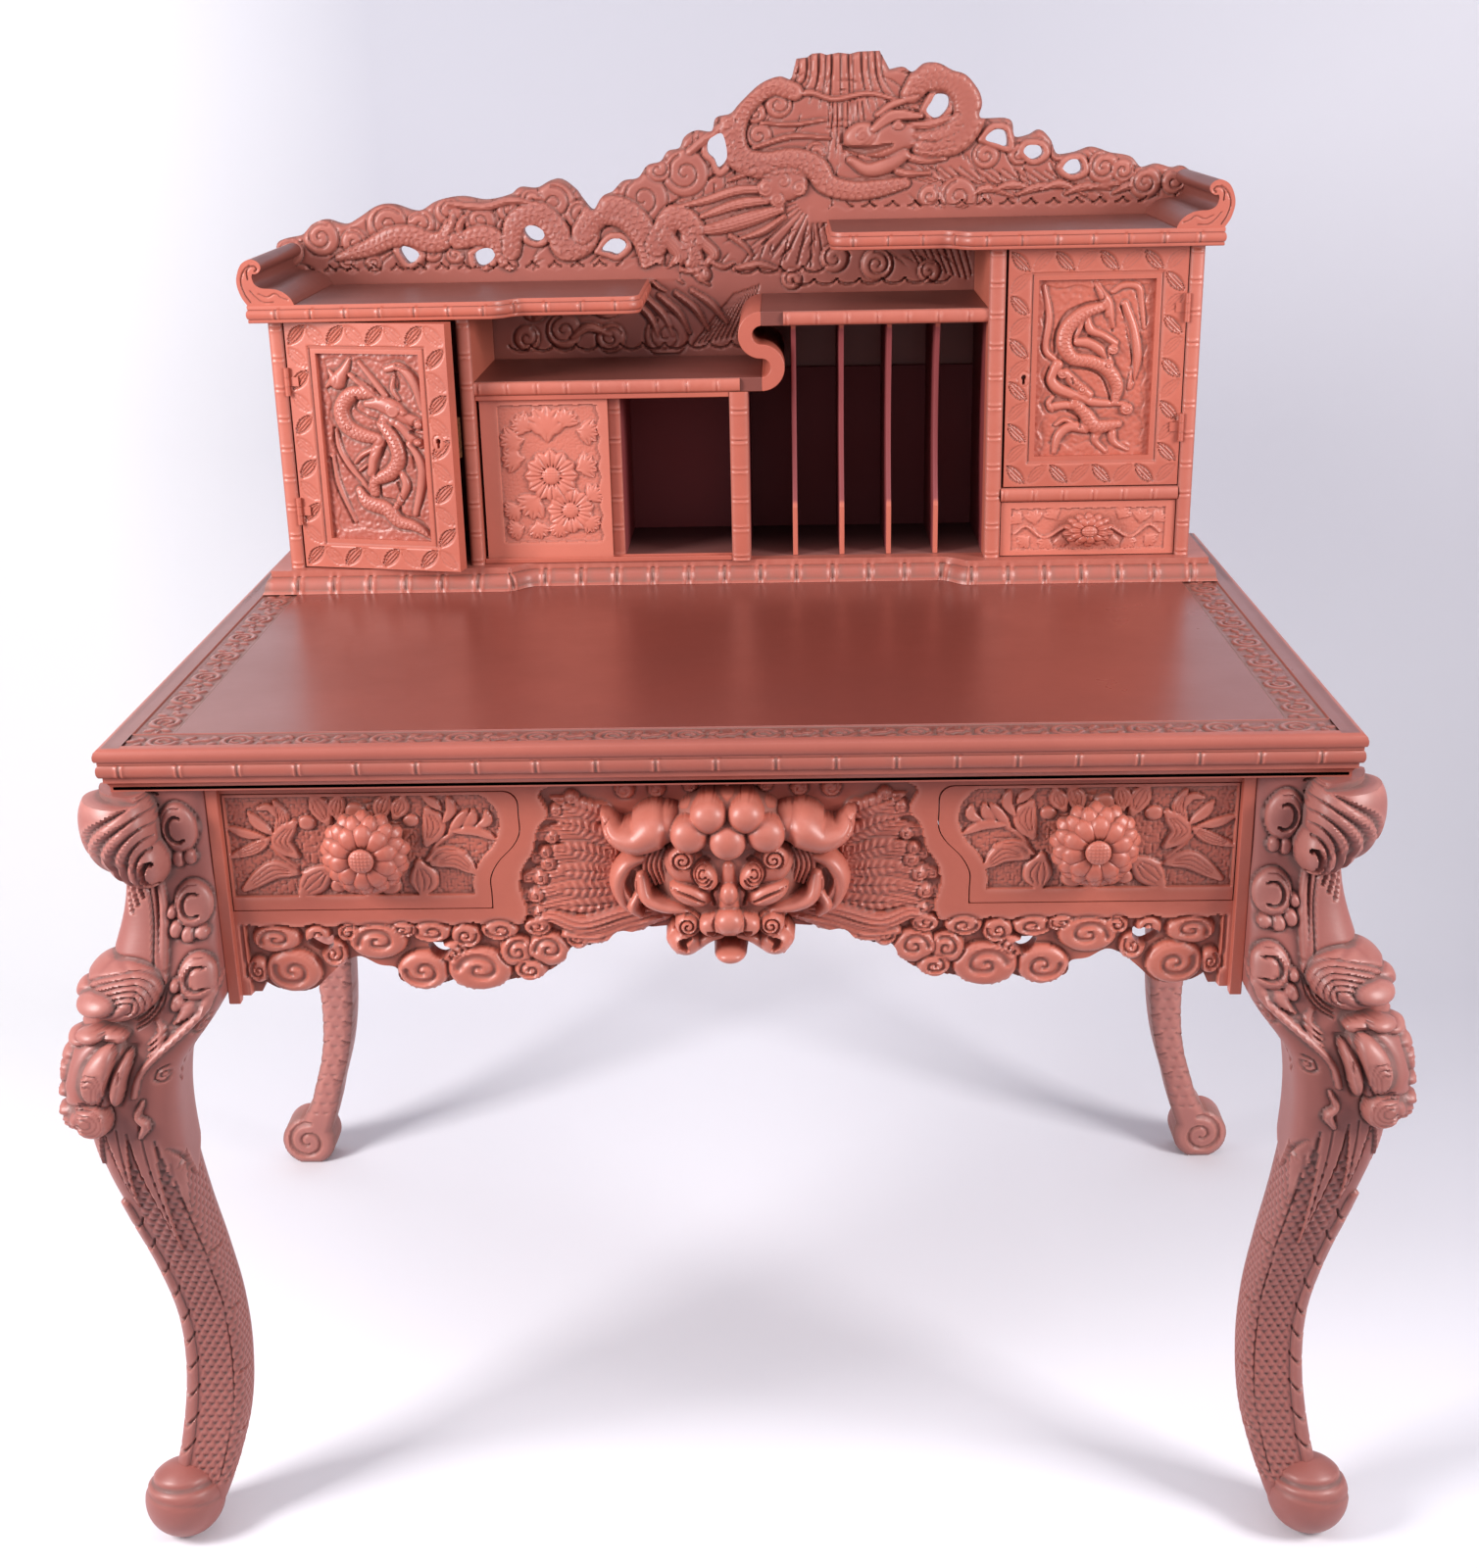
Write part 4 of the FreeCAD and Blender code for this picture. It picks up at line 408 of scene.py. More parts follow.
def spiral(x, z, radius, start, turns, hand, width, depth):
    """Points of a spiral that winds in from its rim, with the widths of a gouge."""
    a = np.linspace(0, 1, int(14 * turns) + 6)
    angle = radians(start) + hand * a * turns * 2 * pi
    r = radius * (1 - 0.86 * a)
    return np.stack([x + r * np.cos(angle), z + r * np.sin(angle), width * (1.1 - 0.5 * a), depth * (1 - 0.3 * a)], 1)


class Relief:
    """A height map in millimetres over a rectangle of a board."""

    def __init__(self, x0, x1, z0, z1, step, x=None, z=None):
        """The lines of the map are a step apart, or lie where x and z say."""
        self.x = np.linspace(x0, x1, int(round((x1 - x0) / step)) + 1) if x is None else np.array(x, float)
        self.z = np.linspace(z0, z1, int(round((z1 - z0) / step)) + 1) if z is None else np.array(z, float)
        self.nx, self.nz = len(self.x), len(self.z)
        self.X, self.Z = np.meshgrid(self.x, self.z)
        self.H = np.zeros_like(self.X)
        self.step = step

    def window(self, x0, x1, z0, z1):
        """The part of the map inside a rectangle."""
        i = np.searchsorted(self.x, (x0, x1))
        j = np.searchsorted(self.z, (z0, z1))
        return (slice(j[0], j[1]), slice(i[0], i[1]))

    def inside(self, ring):
        """Which places of the map lie inside a closed outline."""
        return within(np.stack([self.X.ravel(), self.Z.ravel()], 1), ring).reshape(self.X.shape)

    def near(self, path, reach):
        """Window, distance, side and place along a path for the part of the map near it."""
        low, high = path[:, :2].min(0) - reach, path[:, :2].max(0) + reach
        win = self.window(low[0], high[0], low[1], high[1])
        X, Z = self.X[win], self.Z[win]
        far, side, at = np.full(X.shape, 1e9), np.zeros(X.shape), np.zeros(X.shape)
        for n in range(len(path) - 1):
            dx, dz = path[n + 1, :2] - path[n, :2]
            rx, rz = X - path[n, 0], Z - path[n, 1]
            t = np.clip((rx * dx + rz * dz) / (dx * dx + dz * dz + 1e-9), 0, 1)
            ex, ez = rx - t * dx, rz - t * dz
            d = ex * ex + ez * ez
            closer = d < far
            far = np.where(closer, d, far)
            side = np.where(closer, dx * ez - dz * ex, side)
            at = np.where(closer, n + t, at)
        return win, np.sqrt(far), np.sign(side), at

    def ridge(self, points, lift=0.0, flutes=0.0, scales=0.0, square=1.0, cut=0.0, edge=0.0):
        """Points give x, z, half width and height. Flutes and scales give the pitch of what is cut into the top,
        cut gives its depth, and edge the depth of a line round the form."""
        path = curve(points)
        win, d, side, at = self.near(path, path[:, 2].max() + 1 + 3 * bool(edge))
        n = np.arange(len(path))
        w = np.maximum(np.interp(at, n, path[:, 2]), 0.05)
        r = d / w
        body = np.sqrt(np.clip(1 - r ** (2 * square), 0, 1))
        top = lift + np.interp(at, n, path[:, 3]) * body
        if flutes:
            top += cut * np.cos(2 * np.pi * side * d / flutes) * np.minimum(1, 2 * body)
        if scales:
            run = np.concatenate([[0], np.cumsum(np.hypot(*np.diff(path[:, :2], axis=0).T))])
            v = side * d / scales
            row = np.floor(v + 0.5)
            u = np.interp(at, n, run) / scales + 0.5 * (row % 2) + 1.3 * (v - row) ** 2
            top += cut * (u % 1.0) * np.minimum(1, 2 * body)
        top[r >= 1] = -1e3
        self.H[win] = np.maximum(self.H[win], top) - edge * np.exp(-((d - w - 0.6) / 1.3) ** 2)

    def groove(self, points, smooth=True):
        """Points give x, z, half width and depth."""
        path = curve(points) if smooth else np.array(points, float)
        win, d, _, at = self.near(path, path[:, 2].max() + 1)
        n = np.arange(len(path))
        r = d / np.maximum(np.interp(at, n, path[:, 2]), 0.05)
        self.H[win] -= np.interp(at, n, path[:, 3]) * np.clip(1 - r * r, 0, 1)

    def dome(self, x, z, rx, rz, height, lift=0.0, turn=0.0, square=1.0, edge=0.0):
        """A rounded lump; a larger square makes its top flatter and its sides steeper."""
        reach = max(rx, rz) + 4 * bool(edge)
        win = self.window(x - reach, x + reach, z - reach, z + reach)
        c, s = cos(radians(turn)), sin(radians(turn))
        dx, dz = self.X[win] - x, self.Z[win] - z
        r = np.hypot((dx * c + dz * s) / rx, (dz * c - dx * s) / rz)
        top = np.where(r < 1, lift + height * np.sqrt(np.clip(1 - r ** (2 * square), 0, 1)), -1e3)
        self.H[win] = np.maximum(self.H[win], top) - edge * np.exp(-((r - 1) * min(rx, rz) / 1.4) ** 2)

    def scroll(self, x, z, r, height, lift=0.0, start=90.0, turns=1.5, hand=1, square=1.6):
        """A cloud: a lump with a spiral gouged into it."""
        self.dome(x, z, r, r, height, lift, square=square)
        gouge = spiral(x, z, 0.86 * r, start, turns, hand, max(0.13 * r, 1.1 * self.step), 0.42 * height)
        self.groove(gouge, smooth=False)

    def leaf(self, points, width, height, lift=0.0, veins=0, blunt=0.8):
        """A leaf along a curve, with a sunk midrib."""
        path = curve(points)
        win, d, _, at = self.near(path, width + 1)
        s = at / (len(path) - 1)
        w = np.maximum(width * np.sin(np.pi * np.clip(s, 0.01, 0.99) ** blunt) ** 0.8, 0.05)
        r = d / w
        top = lift + height * (0.55 + 0.45 * np.sin(np.pi * s)) * np.sqrt(np.clip(1 - r ** 4, 0, 1))
        top -= 0.35 * height * np.exp(-(d / (0.12 * width)) ** 2)
        if veins:
            top += 0.14 * height * np.cos(2 * np.pi * (s * veins - 0.7 * r))
        top[r >= 1] = -1e3
        self.H[win] = np.maximum(self.H[win], top)

    def flower(self, x, z, r0, r1, count, height, lift=0.0, turn=0.0, hatch=2.6):
        """A ring of petals round a hatched disc."""
        for k in range(count):
            a = radians(turn) + 2 * pi * k / count
            points = [(x + r * cos(a), z + r * sin(a)) for r in (r0 * 0.7, (r0 + r1) / 2, r1)]
            self.leaf(points, r1 * sin(pi / count) * 0.98, height, lift, blunt=1.35)
        self.dome(x, z, r0, r0, height * 0.7, lift + 0.35 * height, square=1.5)
        win = self.window(x - r0, x + r0, z - r0, z + r0)
        dx, dz = self.X[win] - x, self.Z[win] - z
        lines = np.maximum(np.cos(2 * np.pi * dx / hatch), np.cos(2 * np.pi * dz / hatch))
        self.H[win] -= np.where(np.hypot(dx, dz) < r0 * 0.9, 0.16 * height * np.clip(lines, 0, 1), 0)

    def pebbles(self, depth, pitch, below, seed):
        """Small round punch marks all over the ground."""
        chance = np.random.default_rng(seed)
        shift = chance.uniform(-0.32, 0.32, (2, self.nz + 4, self.nx + 4))
        best = np.full(self.X.shape, 9.0)
        ci = np.floor((self.X - self.x[0]) / pitch).astype(int)
        cj = np.floor((self.Z - self.z[0]) / pitch).astype(int)
        for di in (-1, 0, 1):
            for dj in (-1, 0, 1):
                i, j = ci + di, cj + dj
                dx = (self.X - self.x[0]) / pitch - (i + 0.5 + shift[0, j + 1, i + 1])
                dz = (self.Z - self.z[0]) / pitch - (j + 0.5 + shift[1, j + 1, i + 1])
                best = np.minimum(best, dx * dx + dz * dz)
        self.H += np.where(self.H < below, depth * (np.clip(1 - 2.2 * best, 0, 1) - 0.4), 0)

    def mirrored(self):
        """The same carving for the other side of the desk."""
        other = Relief(-self.x[-1], -self.x[0], self.z[0], self.z[-1], self.step)
        other.H = self.H[:, ::-1].copy()
        return other


def eased(table, width):
    """A height map after two passes of a sliding mean, which rounds off tool marks narrower than its width."""
    for axis in (0, 1, 0, 1):
        pad = [(width + 1, width) if k == axis else (0, 0) for k in (0, 1)]
        total = np.cumsum(np.pad(table, pad, mode="edge"), axis=axis)
        span = 2 * width + 1
        n = table.shape[axis]
        high = np.take(total, range(span, span + n), axis=axis)
        table = (high - np.take(total, range(0, n), axis=axis)) / span
    return table


def hollows(relief):
    """How far each place lies below its surroundings, near and wide."""
    fine = eased(relief.H, max(1, int(round(2.0 / relief.step)))) - relief.H
    wide = eased(relief.H, max(2, int(round(7.0 / relief.step)))) - relief.H
    return np.clip(fine / 0.9 + wide / 4.5, -1.6, 1.6)


print("carving tools:", [tool for tool in vars(Relief) if not tool.startswith("_")])


# %% [markdown]
# A height map becomes wood in four steps. A grid with one point for each number is pushed out by the heights. Cells
# outside the sawn outline are deleted and the rim is drawn onto the outline, as a fretsaw would leave it. The rim is
# then extruded to the back of the board, and the back is filled.

# %% From height map to board
def within(points, ring):
    """Which points lie inside a closed outline."""
    inside = np.zeros(len(points), bool)
    x, z = points[:, 0], points[:, 1]
    for (ax, az), (bx, bz) in zip(ring, np.roll(ring, -1, axis=0)):
        if az != bz:
            inside ^= ((az > z) != (bz > z)) & (x < (bx - ax) * (z - az) / (bz - az) + ax)
    return inside


def onto(points, rings):
    """The nearest places on some outlines."""
    best, place = np.full(len(points), 1e9), points.copy()
    for ring in rings:
        for a, b in zip(ring, np.roll(ring, -1, axis=0)):
            ab = b - a
            t = np.clip(((points - a) @ ab) / (ab @ ab + 1e-9), 0, 1)
            q = a + t[:, None] * ab
            d = ((points - q) ** 2).sum(1)
            place = np.where((d < best)[:, None], q, place)
            best = np.minimum(best, d)
    return place


def carved_board(relief, front, back=None, outline=None, holes=(), place=None):
    """A mesh of a carving. The heights stand towards the sitter from depth front; place can bend the board instead."""
    mesh = bmesh.new()
    layer = mesh.verts.layers.float.new("hollow")
    bmesh.ops.create_grid(mesh, x_segments=relief.nx - 1, y_segments=relief.nz - 1, size=1.0)
    grid = np.array([vert.co[:2] for vert in mesh.verts])
    col = np.rint((grid[:, 0] + 1) / 2 * (relief.nx - 1)).astype(int)
    row = np.rint((grid[:, 1] + 1) / 2 * (relief.nz - 1)).astype(int)
    flat = np.stack([relief.x[col], relief.z[row]], 1)
    dusty = hollows(relief)[row, col]
    doomed = []
    if outline is not None:
        rings = [np.asarray(outline, float)] + [np.asarray(hole, float) for hole in holes]
        corners = np.array([[vert.index for vert in face.verts] for face in mesh.faces])
        centres = flat[corners].mean(1)
        kept = within(centres, rings[0])
        for hole in rings[1:]:
            kept &= ~within(centres, hole)
        stays = np.zeros(len(flat))
        np.add.at(stays, corners, kept[:, None] * np.ones(4))
        rim = (stays > 0) & (stays < 4)
        flat[rim] = onto(flat[rim], rings)
        doomed = [face for face, keep in zip(mesh.faces, kept) if not keep]
    if place is None:
        spots = np.stack([flat[:, 0], front - relief.H[row, col], flat[:, 1]], 1)
    else:
        spots = place(flat[:, 0], flat[:, 1], relief.H[row, col])
    for vert, spot, dust in zip(mesh.verts, spots * MM, dusty):
        vert.co = spot
        vert[layer] = dust
    bmesh.ops.delete(mesh, geom=doomed, context="FACES")
    if back is not None:
        rim = open_edges(mesh)
        walls = bmesh.ops.extrude_edge_only(mesh, edges=rim)["geom"]
        for vert in walls:
            if isinstance(vert, bmesh.types.BMVert):
                vert.co.y = back * MM
                vert[layer] = 0.0
        loops = [edge for edge in walls if isinstance(edge, bmesh.types.BMEdge) and edge.is_boundary]
        bmesh.ops.triangle_fill(mesh, use_beauty=True, use_dissolve=False, edges=loops, normal=(0, 1, 0))
    return mesh


def set_piece(mesh, name, finish, stands_for=(), body="desk", sharp=42.0):
    """Puts a finished bmesh into the scene and on its body."""
    data = bpy.data.meshes.new(name)
    mesh.to_mesh(data)
    mesh.free()
    data.materials.append(finish)
    data.shade_smooth()
    data.set_sharp_from_angle(angle=radians(sharp))
    piece = bpy.data.objects.new(name, data)
    bpy.context.scene.collection.objects.link(piece)
    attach(piece, body)
    if stands_for:
        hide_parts(*stands_for)
    print(name, len(data.polygons), "faces")
    return piece


def more_dust_and_highlight(mesh, times):
    """More dust, and more rubbing and painted highlight, than the depth of the carving gives."""
    layer = mesh.verts.layers.float["hollow"]
    for vert in mesh.verts:
        vert[layer] *= times


def open_edges(mesh):
    """Edges with a face on one side only."""
    return [edge for edge in mesh.edges if edge.is_boundary]


def close_up(mesh, gap):
    """Joins what is nearer than a gap, fills what is open and turns all faces outward."""
    bmesh.ops.remove_doubles(mesh, verts=mesh.verts, dist=gap)
    bmesh.ops.holes_fill(mesh, edges=open_edges(mesh), sides=0)
    bmesh.ops.recalc_face_normals(mesh, faces=mesh.faces)


print("board tools ready")

# %% [markdown]
# ## The front apron
# One board fills the space between the front legs. Two drawers are let into it, and below them the board is carved into
# rolling clouds, pierced in four places. Around the lion mask its hair flies out in fluted locks. Both halves are
# alike, so only the left one is drawn and the map is folded over.

# %% Clouds and hair
LEG_TOP, APRON_FRONT, APRON_BACK, APRON_END = 722.0, -293.0, -271.0, 427.0
APRON_FOOT, APRON_STEP = 526.0, 1.55
half = Relief(-APRON_END, 0.0, APRON_FOOT, LEG_TOP, APRON_STEP)
below_rail = (half.Z < 593 - 2.5 * np.abs(np.sin(np.pi * half.X / 27.0))) & (half.X > -409) & (half.X < -172)
half.H[below_rail] = -8.0
around_mask = half.inside(curve([
    (-2, 716), (-120, 715), (-153, 709), (-148, 690), (-158, 674), (-162, 656), (-172, 640), (-174, 622), (-170, 604),
    (-172, 585), (-150, 560), (-2, 560)], closed=True))
half.H[around_mask] = -7.0
half.H[(half.X > -182) & (half.Z < 562)] = -6.0
CLOUDS = [  # place, half width, half height, hand and start of the spiral
    (-349, 581, 11, 11, 1, 200), (-336, 565, 11, 13, -1, 40), (-402, 550, 9, 12, 1, 120), (-252, 584, 18, 10, 1, 170),
    (-223, 580, 13, 12, -1, 10), (-276, 586, 12, 8, -1, 20), (-322, 584, 10, 9, 1, 60), (-234, 564, 12, 12, -1, 60),
    (-194, 585, 16, 10, 1, 180), (-384, 579, 21, 13, -1, 200), (-372, 549, 24, 20, 1, 160),
    (-298, 576, 25, 17, -1, 190), (-261, 548, 22, 18, 1, 180), (-213, 549, 28, 20, -1, 170), (-180, 565, 15, 15, 1, 60),
    (-153, 567, 18, 16, -1, 180), (-170, 548, 14, 10, 1, 120), (-162, 588, 12, 9, -1, 0), (-128, 577, 11, 10, 1, 120),
]
for x, z, rx, rz, hand, start in CLOUDS:
    half.dome(x, z, rx, rz, 5.0, -4.6, square=2.6, edge=2.2)
    coil = spiral(0.0, 0.0, 0.66, start, 1.25, hand, 0.09 * (rx + rz), 3.4)
    coil[:, 0], coil[:, 1] = x + coil[:, 0] * rx, z + coil[:, 1] * rz
    half.groove(coil, smooth=False)
    if rx > 15:
        half.groove(arc(x, z, 0.86 * rx, 0.86 * rz, 0.4, 2.6, 9, 1.0, 1.2))
PLUMES = [
    [(-98, 684), (-120, 694), (-147, 704)], [(-95, 662), (-118, 676), (-142, 682)],
    [(-96, 648), (-120, 656), (-148, 660)], [(-98, 636), (-120, 638), (-152, 640)],
    [(-94, 622), (-122, 622), (-154, 622)], [(-88, 610), (-118, 607), (-150, 606)],
]
for x0, z0, x1, z1 in ((-104, 690, -152, 688), (-100, 670, -156, 670), (-100, 655, -160, 650), (-100, 644, -168, 632),
                       (-96, 630, -170, 615), (-92, 616, -168, 602)):
    half.ridge([(x0, z0, 9, 3), ((x0 + x1) / 2, (z0 + z1) / 2 + 2, 10, 4), (x1, z1, 6, 3)], -6.0, flutes=3.6, cut=0.8)
for points in PLUMES:
    half.leaf(points, 9, 5.5, -6.0, veins=9, blunt=0.75)
for x, z, r in ((-157, 632, 7), (-162, 616, 7), (-150, 645, 7), (-160, 600, 7), (-146, 668, 6), (-142, 692, 6),
                (-128, 703, 6), (-84, 709, 8), (-58, 709, 7), (-30, 712, 6), (-152, 655, 6)):
    half.dome(x, z, r, r, 4.5, -5.0, square=1.6, edge=1.2)
    half.groove(spiral(x, z, 0.72 * r, 120, 1.0, 1, 1.6, 2.4), smooth=False)
for lock in ([(-56, 606, 5, 5), (-90, 598, 9, 7), (-124, 589, 10, 7), (-150, 597, 6, 5), (-166, 590, 3, 3)],
             [(-50, 598, 4, 5), (-82, 590, 8, 7), (-112, 579, 8, 6), (-138, 580, 4, 4)],
             [(-60, 596, 3, 5), (-86, 582, 5, 6), (-102, 577, 4, 5)]):
    half.ridge(lock, -5.0, flutes=4.6, cut=0.9, edge=1.2)
half.groove([(-412, 592, 1.6, 3), (-412, 545, 1.6, 3)])
half.H = np.maximum(half.H, -9.0)
apron = Relief(-APRON_END, APRON_END, APRON_FOOT, LEG_TOP, APRON_STEP)
apron.H = np.concatenate([half.H, half.H[:, ::-1]], axis=1)
print("apron map:", apron.H.shape, "clouds:", 2 * len(CLOUDS))

# %% [markdown]
# The sawn edge: the lower line rolls along under the clouds, and each drawer opening is square at its outer end and
# swings in an S at its inner end. The openings and the four piercings are rings inside the outline.

# %% Outline, openings and piercings
UNDER = [(-427, 528), (-402, 528), (-398, 537), (-388, 531), (-372, 527.5), (-356, 531), (-343, 543), (-330, 554),
         (-316, 560), (-300, 552), (-286, 549), (-282, 537), (-262, 530), (-246, 534), (-236, 537), (-228, 532),
         (-208, 528.5), (-193, 535), (-180, 539), (-166, 540), (-153, 547), (-141, 556), (-137, 566), (-122, 568),
         (-107, 573), (-95, 584), (-78, 584), (-54, 586)]
edge_run = np.vstack([np.array(UNDER[:3], float), curve(UNDER[2:])[1:]])


def flipped(ring):
    """An outline for the other side of the desk."""
    return np.array(ring, float)[::-1] * (-1, 1)


apron_outline = np.vstack([edge_run, flipped(edge_run), [(APRON_END, LEG_TOP), (-APRON_END, LEG_TOP)]])


def drawer_line(gap):
    """The left drawer's outline, drawn in by a gap."""
    swing = curve([(-172 - gap, 690), (-172 - gap, 674), (-178 - gap, 662), (-191 - gap, 648), (-198 - gap, 634),
                   (-198 - gap, 620)])
    turn = [(-184 - gap + 12 * sin(a), 699 - gap + 12 * cos(a)) for a in np.linspace(0, pi / 2, 6)]
    return np.vstack([[(-417 + gap, 606 + gap), (-417 + gap, 711 - gap)], turn, swing, [(-198 - gap, 606 + gap)]])


pierced = [curve([(-359, 574), (-353, 581), (-340, 581), (-335, 574), (-343, 565), (-351, 567)], True),
           curve([(-257, 570), (-252, 572), (-238, 571), (-236, 566), (-243, 559), (-251, 561)], True)]
openings = [drawer_line(0.0)] + pierced
openings += [flipped(ring) for ring in openings]
apron_mesh = carved_board(apron, APRON_FRONT, APRON_BACK, apron_outline, openings)
set_piece(apron_mesh, "front_apron_carved", red_lacquer, ["front_apron"])

# %% [markdown]
# ## The lion mask
# A guardian lion looks out from the middle of the apron: curled horns, a cluster of five balls on the brow, spiral
# eyebrows, round ears and a broad nose over a curling lip. It is cut in high relief, so the lumps are stacked on a
# domed face, with fine lines last. A finer grid carries the small spirals, and cells at ground level are deleted.

# %% Mask
def on(side, *points):
    """A stroke of the right side, or its mirror image."""
    return [(side * x, *rest) for x, *rest in points]


mask = Relief(-112.0, 112.0, 562.0, 716.0, 0.95)
GROUND, HIGHEST = -9.0, 45.5
mask.H[:] = GROUND
mask.dome(0, 636, 62, 60, 30, -6, square=1.3)
mask.dome(0, 684, 47, 28, 34, -4, square=1.5)
for side in (-1, 1):
    mask.ridge(on(side, (50, 684, 16, 28), (60, 682, 20, 34), (76, 674, 16, 32), (92, 678, 11, 26), (101, 692, 4, 14)),
               2)
    mask.groove(on(side, (96, 676, 1.2, 2), (100, 684, 1.4, 2.5), (97, 692, 1.2, 2)))
    mask.ridge(on(side, (70, 654, 5, 14), (84, 648, 8, 17), (92, 632, 8, 17), (86, 612, 6, 14), (76, 603, 3, 8)), 0)
    mask.dome(side * 80, 630, 13, 22, 14, 2, square=1.3)
    mask.groove(on(side, (79, 642, 3.2, 7), (82, 632, 4.6, 12), (79, 622, 3.0, 7)))
    mask.ridge(on(side, (76, 622, 4, 8), (80, 612, 5, 10), (74, 604, 3, 6)), 10)
    for n in range(5):
        mask.ridge(on(side, (48 + 4.6 * n, 664 - n, 1.8, 4), (53 + 4.2 * n, 650 - n, 2.2, 5),
                      (50 + 3.6 * n, 634 - n, 1.6, 4)), 8)
    mask.ridge(on(side, (72, 640, 5, 10), (68, 622, 7, 16), (54, 615, 7, 18), (38, 613, 6, 18), (28, 606, 4, 12)), 9)
    mask.dome(side * 32, 628, 18, 10, 14, 20, side * 24, square=1.4)
    mask.groove(on(side, (20, 622, 1.4, 3), (32, 629, 1.8, 5), (46, 634, 1.4, 3)))
    mask.dome(side * 34, 652, 20, 17, 14, 16, side * 40, square=1.4)
    mask.scroll(side * 37, 660, 12, 11, 24, 120 if side > 0 else 60, 2.0, side, 1.4)
    mask.dome(side * 20, 645, 10, 15, 13, 22, side * -32, square=1.4)
    for r in (3.5, 7.0, 10.5):
        mask.groove(on(side, *arc(21, 648, 0.8 * r, 1.1 * r, -2.6, 2.2, 12, 1.4, 3.2)))
    mask.dome(side * 37, 583, 16, 15, 26, 4, square=1.2)
    mask.groove(on(side, (33, 588, 2.2, 5), (39, 584, 4.2, 13), (36, 579, 2.4, 6)))
    mask.ridge(on(side, (47, 594, 2, 5), (51, 583, 2.4, 6), (44, 571, 2, 5)), 12)
    mask.scroll(side * 34, 601, 11, 11, 22, 100, 2.0, side, 1.4)
    mask.dome(side * 15, 601, 11, 10, 12, 24, square=1.3)
    mask.dome(side * 15, 697, 15, 14.5, 15, 27, square=1.1)
    mask.dome(side * 31, 681, 16, 15.5, 15, 26, square=1.1)
    mask.ridge(on(side, (8, 588, 4, 10), (18, 587, 6, 14), (28, 578, 5, 10)), 12)
mask.dome(0, 676, 15.5, 15.5, 15, 29, square=1.1)
mask.dome(0, 630, 7.5, 10, 12, 26, square=1.2)
mask.ridge([(0, 652, 5, 6), (0, 636, 7, 8), (0, 618, 9, 9)], 22)
mask.dome(0, 603, 23, 11, 12, 25, square=1.5)
mask.dome(0, 606, 12, 11, 13, 29, square=1.2)
mask.dome(0, 571, 14, 7.5, 24, 8, square=1.3)
mask.groove([(-15, 578, 2.0, 8), (0, 579.5, 3.4, 18), (15, 578, 2.0, 8)])
for side in (-1, 1):
    mask.groove(on(side, (7, 594, 2.2, 8), (12, 595, 3.2, 12), (17, 597, 2.0, 6)))
    mask.groove(on(side, (11, 612, 1.2, 2), (13, 605, 1.4, 3), (12, 599, 1.2, 2)))
    mask.groove(on(side, (8, 636, 1.4, 5), (14, 628, 1.6, 7), (12, 618, 1.4, 5)))
mask.H = np.where(mask.H > GROUND + 0.5, np.clip(mask.H, GROUND, HIGHEST), GROUND)
face_mesh = carved_board(mask, APRON_FRONT)
ground_y = (APRON_FRONT - GROUND - 0.1) * MM
level = [face for face in face_mesh.faces if min(vert.co.y for vert in face.verts) > ground_y]
bmesh.ops.delete(face_mesh, geom=level, context="FACES")
set_piece(face_mesh, "lion_mask", red_lacquer, ["apron_mask"])

# %% [markdown]
# ## The apron drawers
# Each front has a plain margin and a sunk field. The ground is punched all over, so it looks like pebbles, and peony
# leaves and buds are left standing on it. In front of them sits the pull, a double chrysanthemum turned and carved from
# one block, with a cross-hatched heart.

# %% Drawer fronts
leafy = Relief(-416.0, -173.0, 607.0, 710.0, 1.15)
inner_end = curve([(-213, 618.5), (-213, 632), (-207, 648), (-195, 662), (-189, 678), (-191, 694), (-200, 705)])
sunk = leafy.inside(np.vstack([[(-414.5, 707), (-414.5, 619.5)], inner_end, [(-204, 707)]]))
SUNK, STANDS = -3.4, 3.3
leafy.H[sunk] = SUNK
leafy.pebbles(1.3, 3.1, -2.4, 11)
LEAVES = [
    ([(-375, 673), (-368, 688), (-373, 703)], 5.5), ([(-378, 675), (-389, 684), (-395, 693)], 5),
    ([(-385, 672), (-400, 675), (-414, 681)], 4.5), ([(-381, 670), (-394, 662), (-414, 655)], 5.5),
    ([(-388, 697), (-378, 698), (-373, 690)], 3.5), ([(-359, 655), (-371, 668), (-359, 684)], 9),
    ([(-361, 640), (-380, 642), (-405, 626)], 8.5), ([(-334, 643), (-346, 632), (-357, 622)], 12),
    ([(-330, 684), (-336, 697), (-341, 707)], 9), ([(-322, 688), (-322, 698), (-319, 707)], 7.5),
    ([(-287, 688), (-284, 698), (-280, 707)], 8), ([(-275, 688), (-270, 697), (-267, 705)], 7.5),
    ([(-250, 665), (-243, 680), (-247, 694)], 10), ([(-234, 684), (-228, 694), (-230, 705)], 4.5),
    ([(-250, 706), (-243, 701), (-237, 695)], 4.5), ([(-230, 673), (-222, 684), (-215, 693)], 5),
    ([(-219, 676), (-212, 684), (-210, 693)], 5), ([(-208, 678), (-199, 684), (-199, 692)], 4.5),
    ([(-226, 675), (-209, 675), (-193, 668)], 4.5), ([(-250, 650), (-237, 656), (-220, 656)], 6),
    ([(-246, 647), (-227, 650), (-212, 639)], 8.5), ([(-258, 646), (-255, 632), (-256, 620)], 12.5),
]
for line in ([(-385, 671), (-375, 658), (-360, 644)], [(-251, 649), (-237, 668), (-207, 680)],
             [(-363, 639), (-348, 640), (-334, 644)]):
    leafy.ridge([(x, z, 2.0, 2.6) for x, z in line], SUNK)
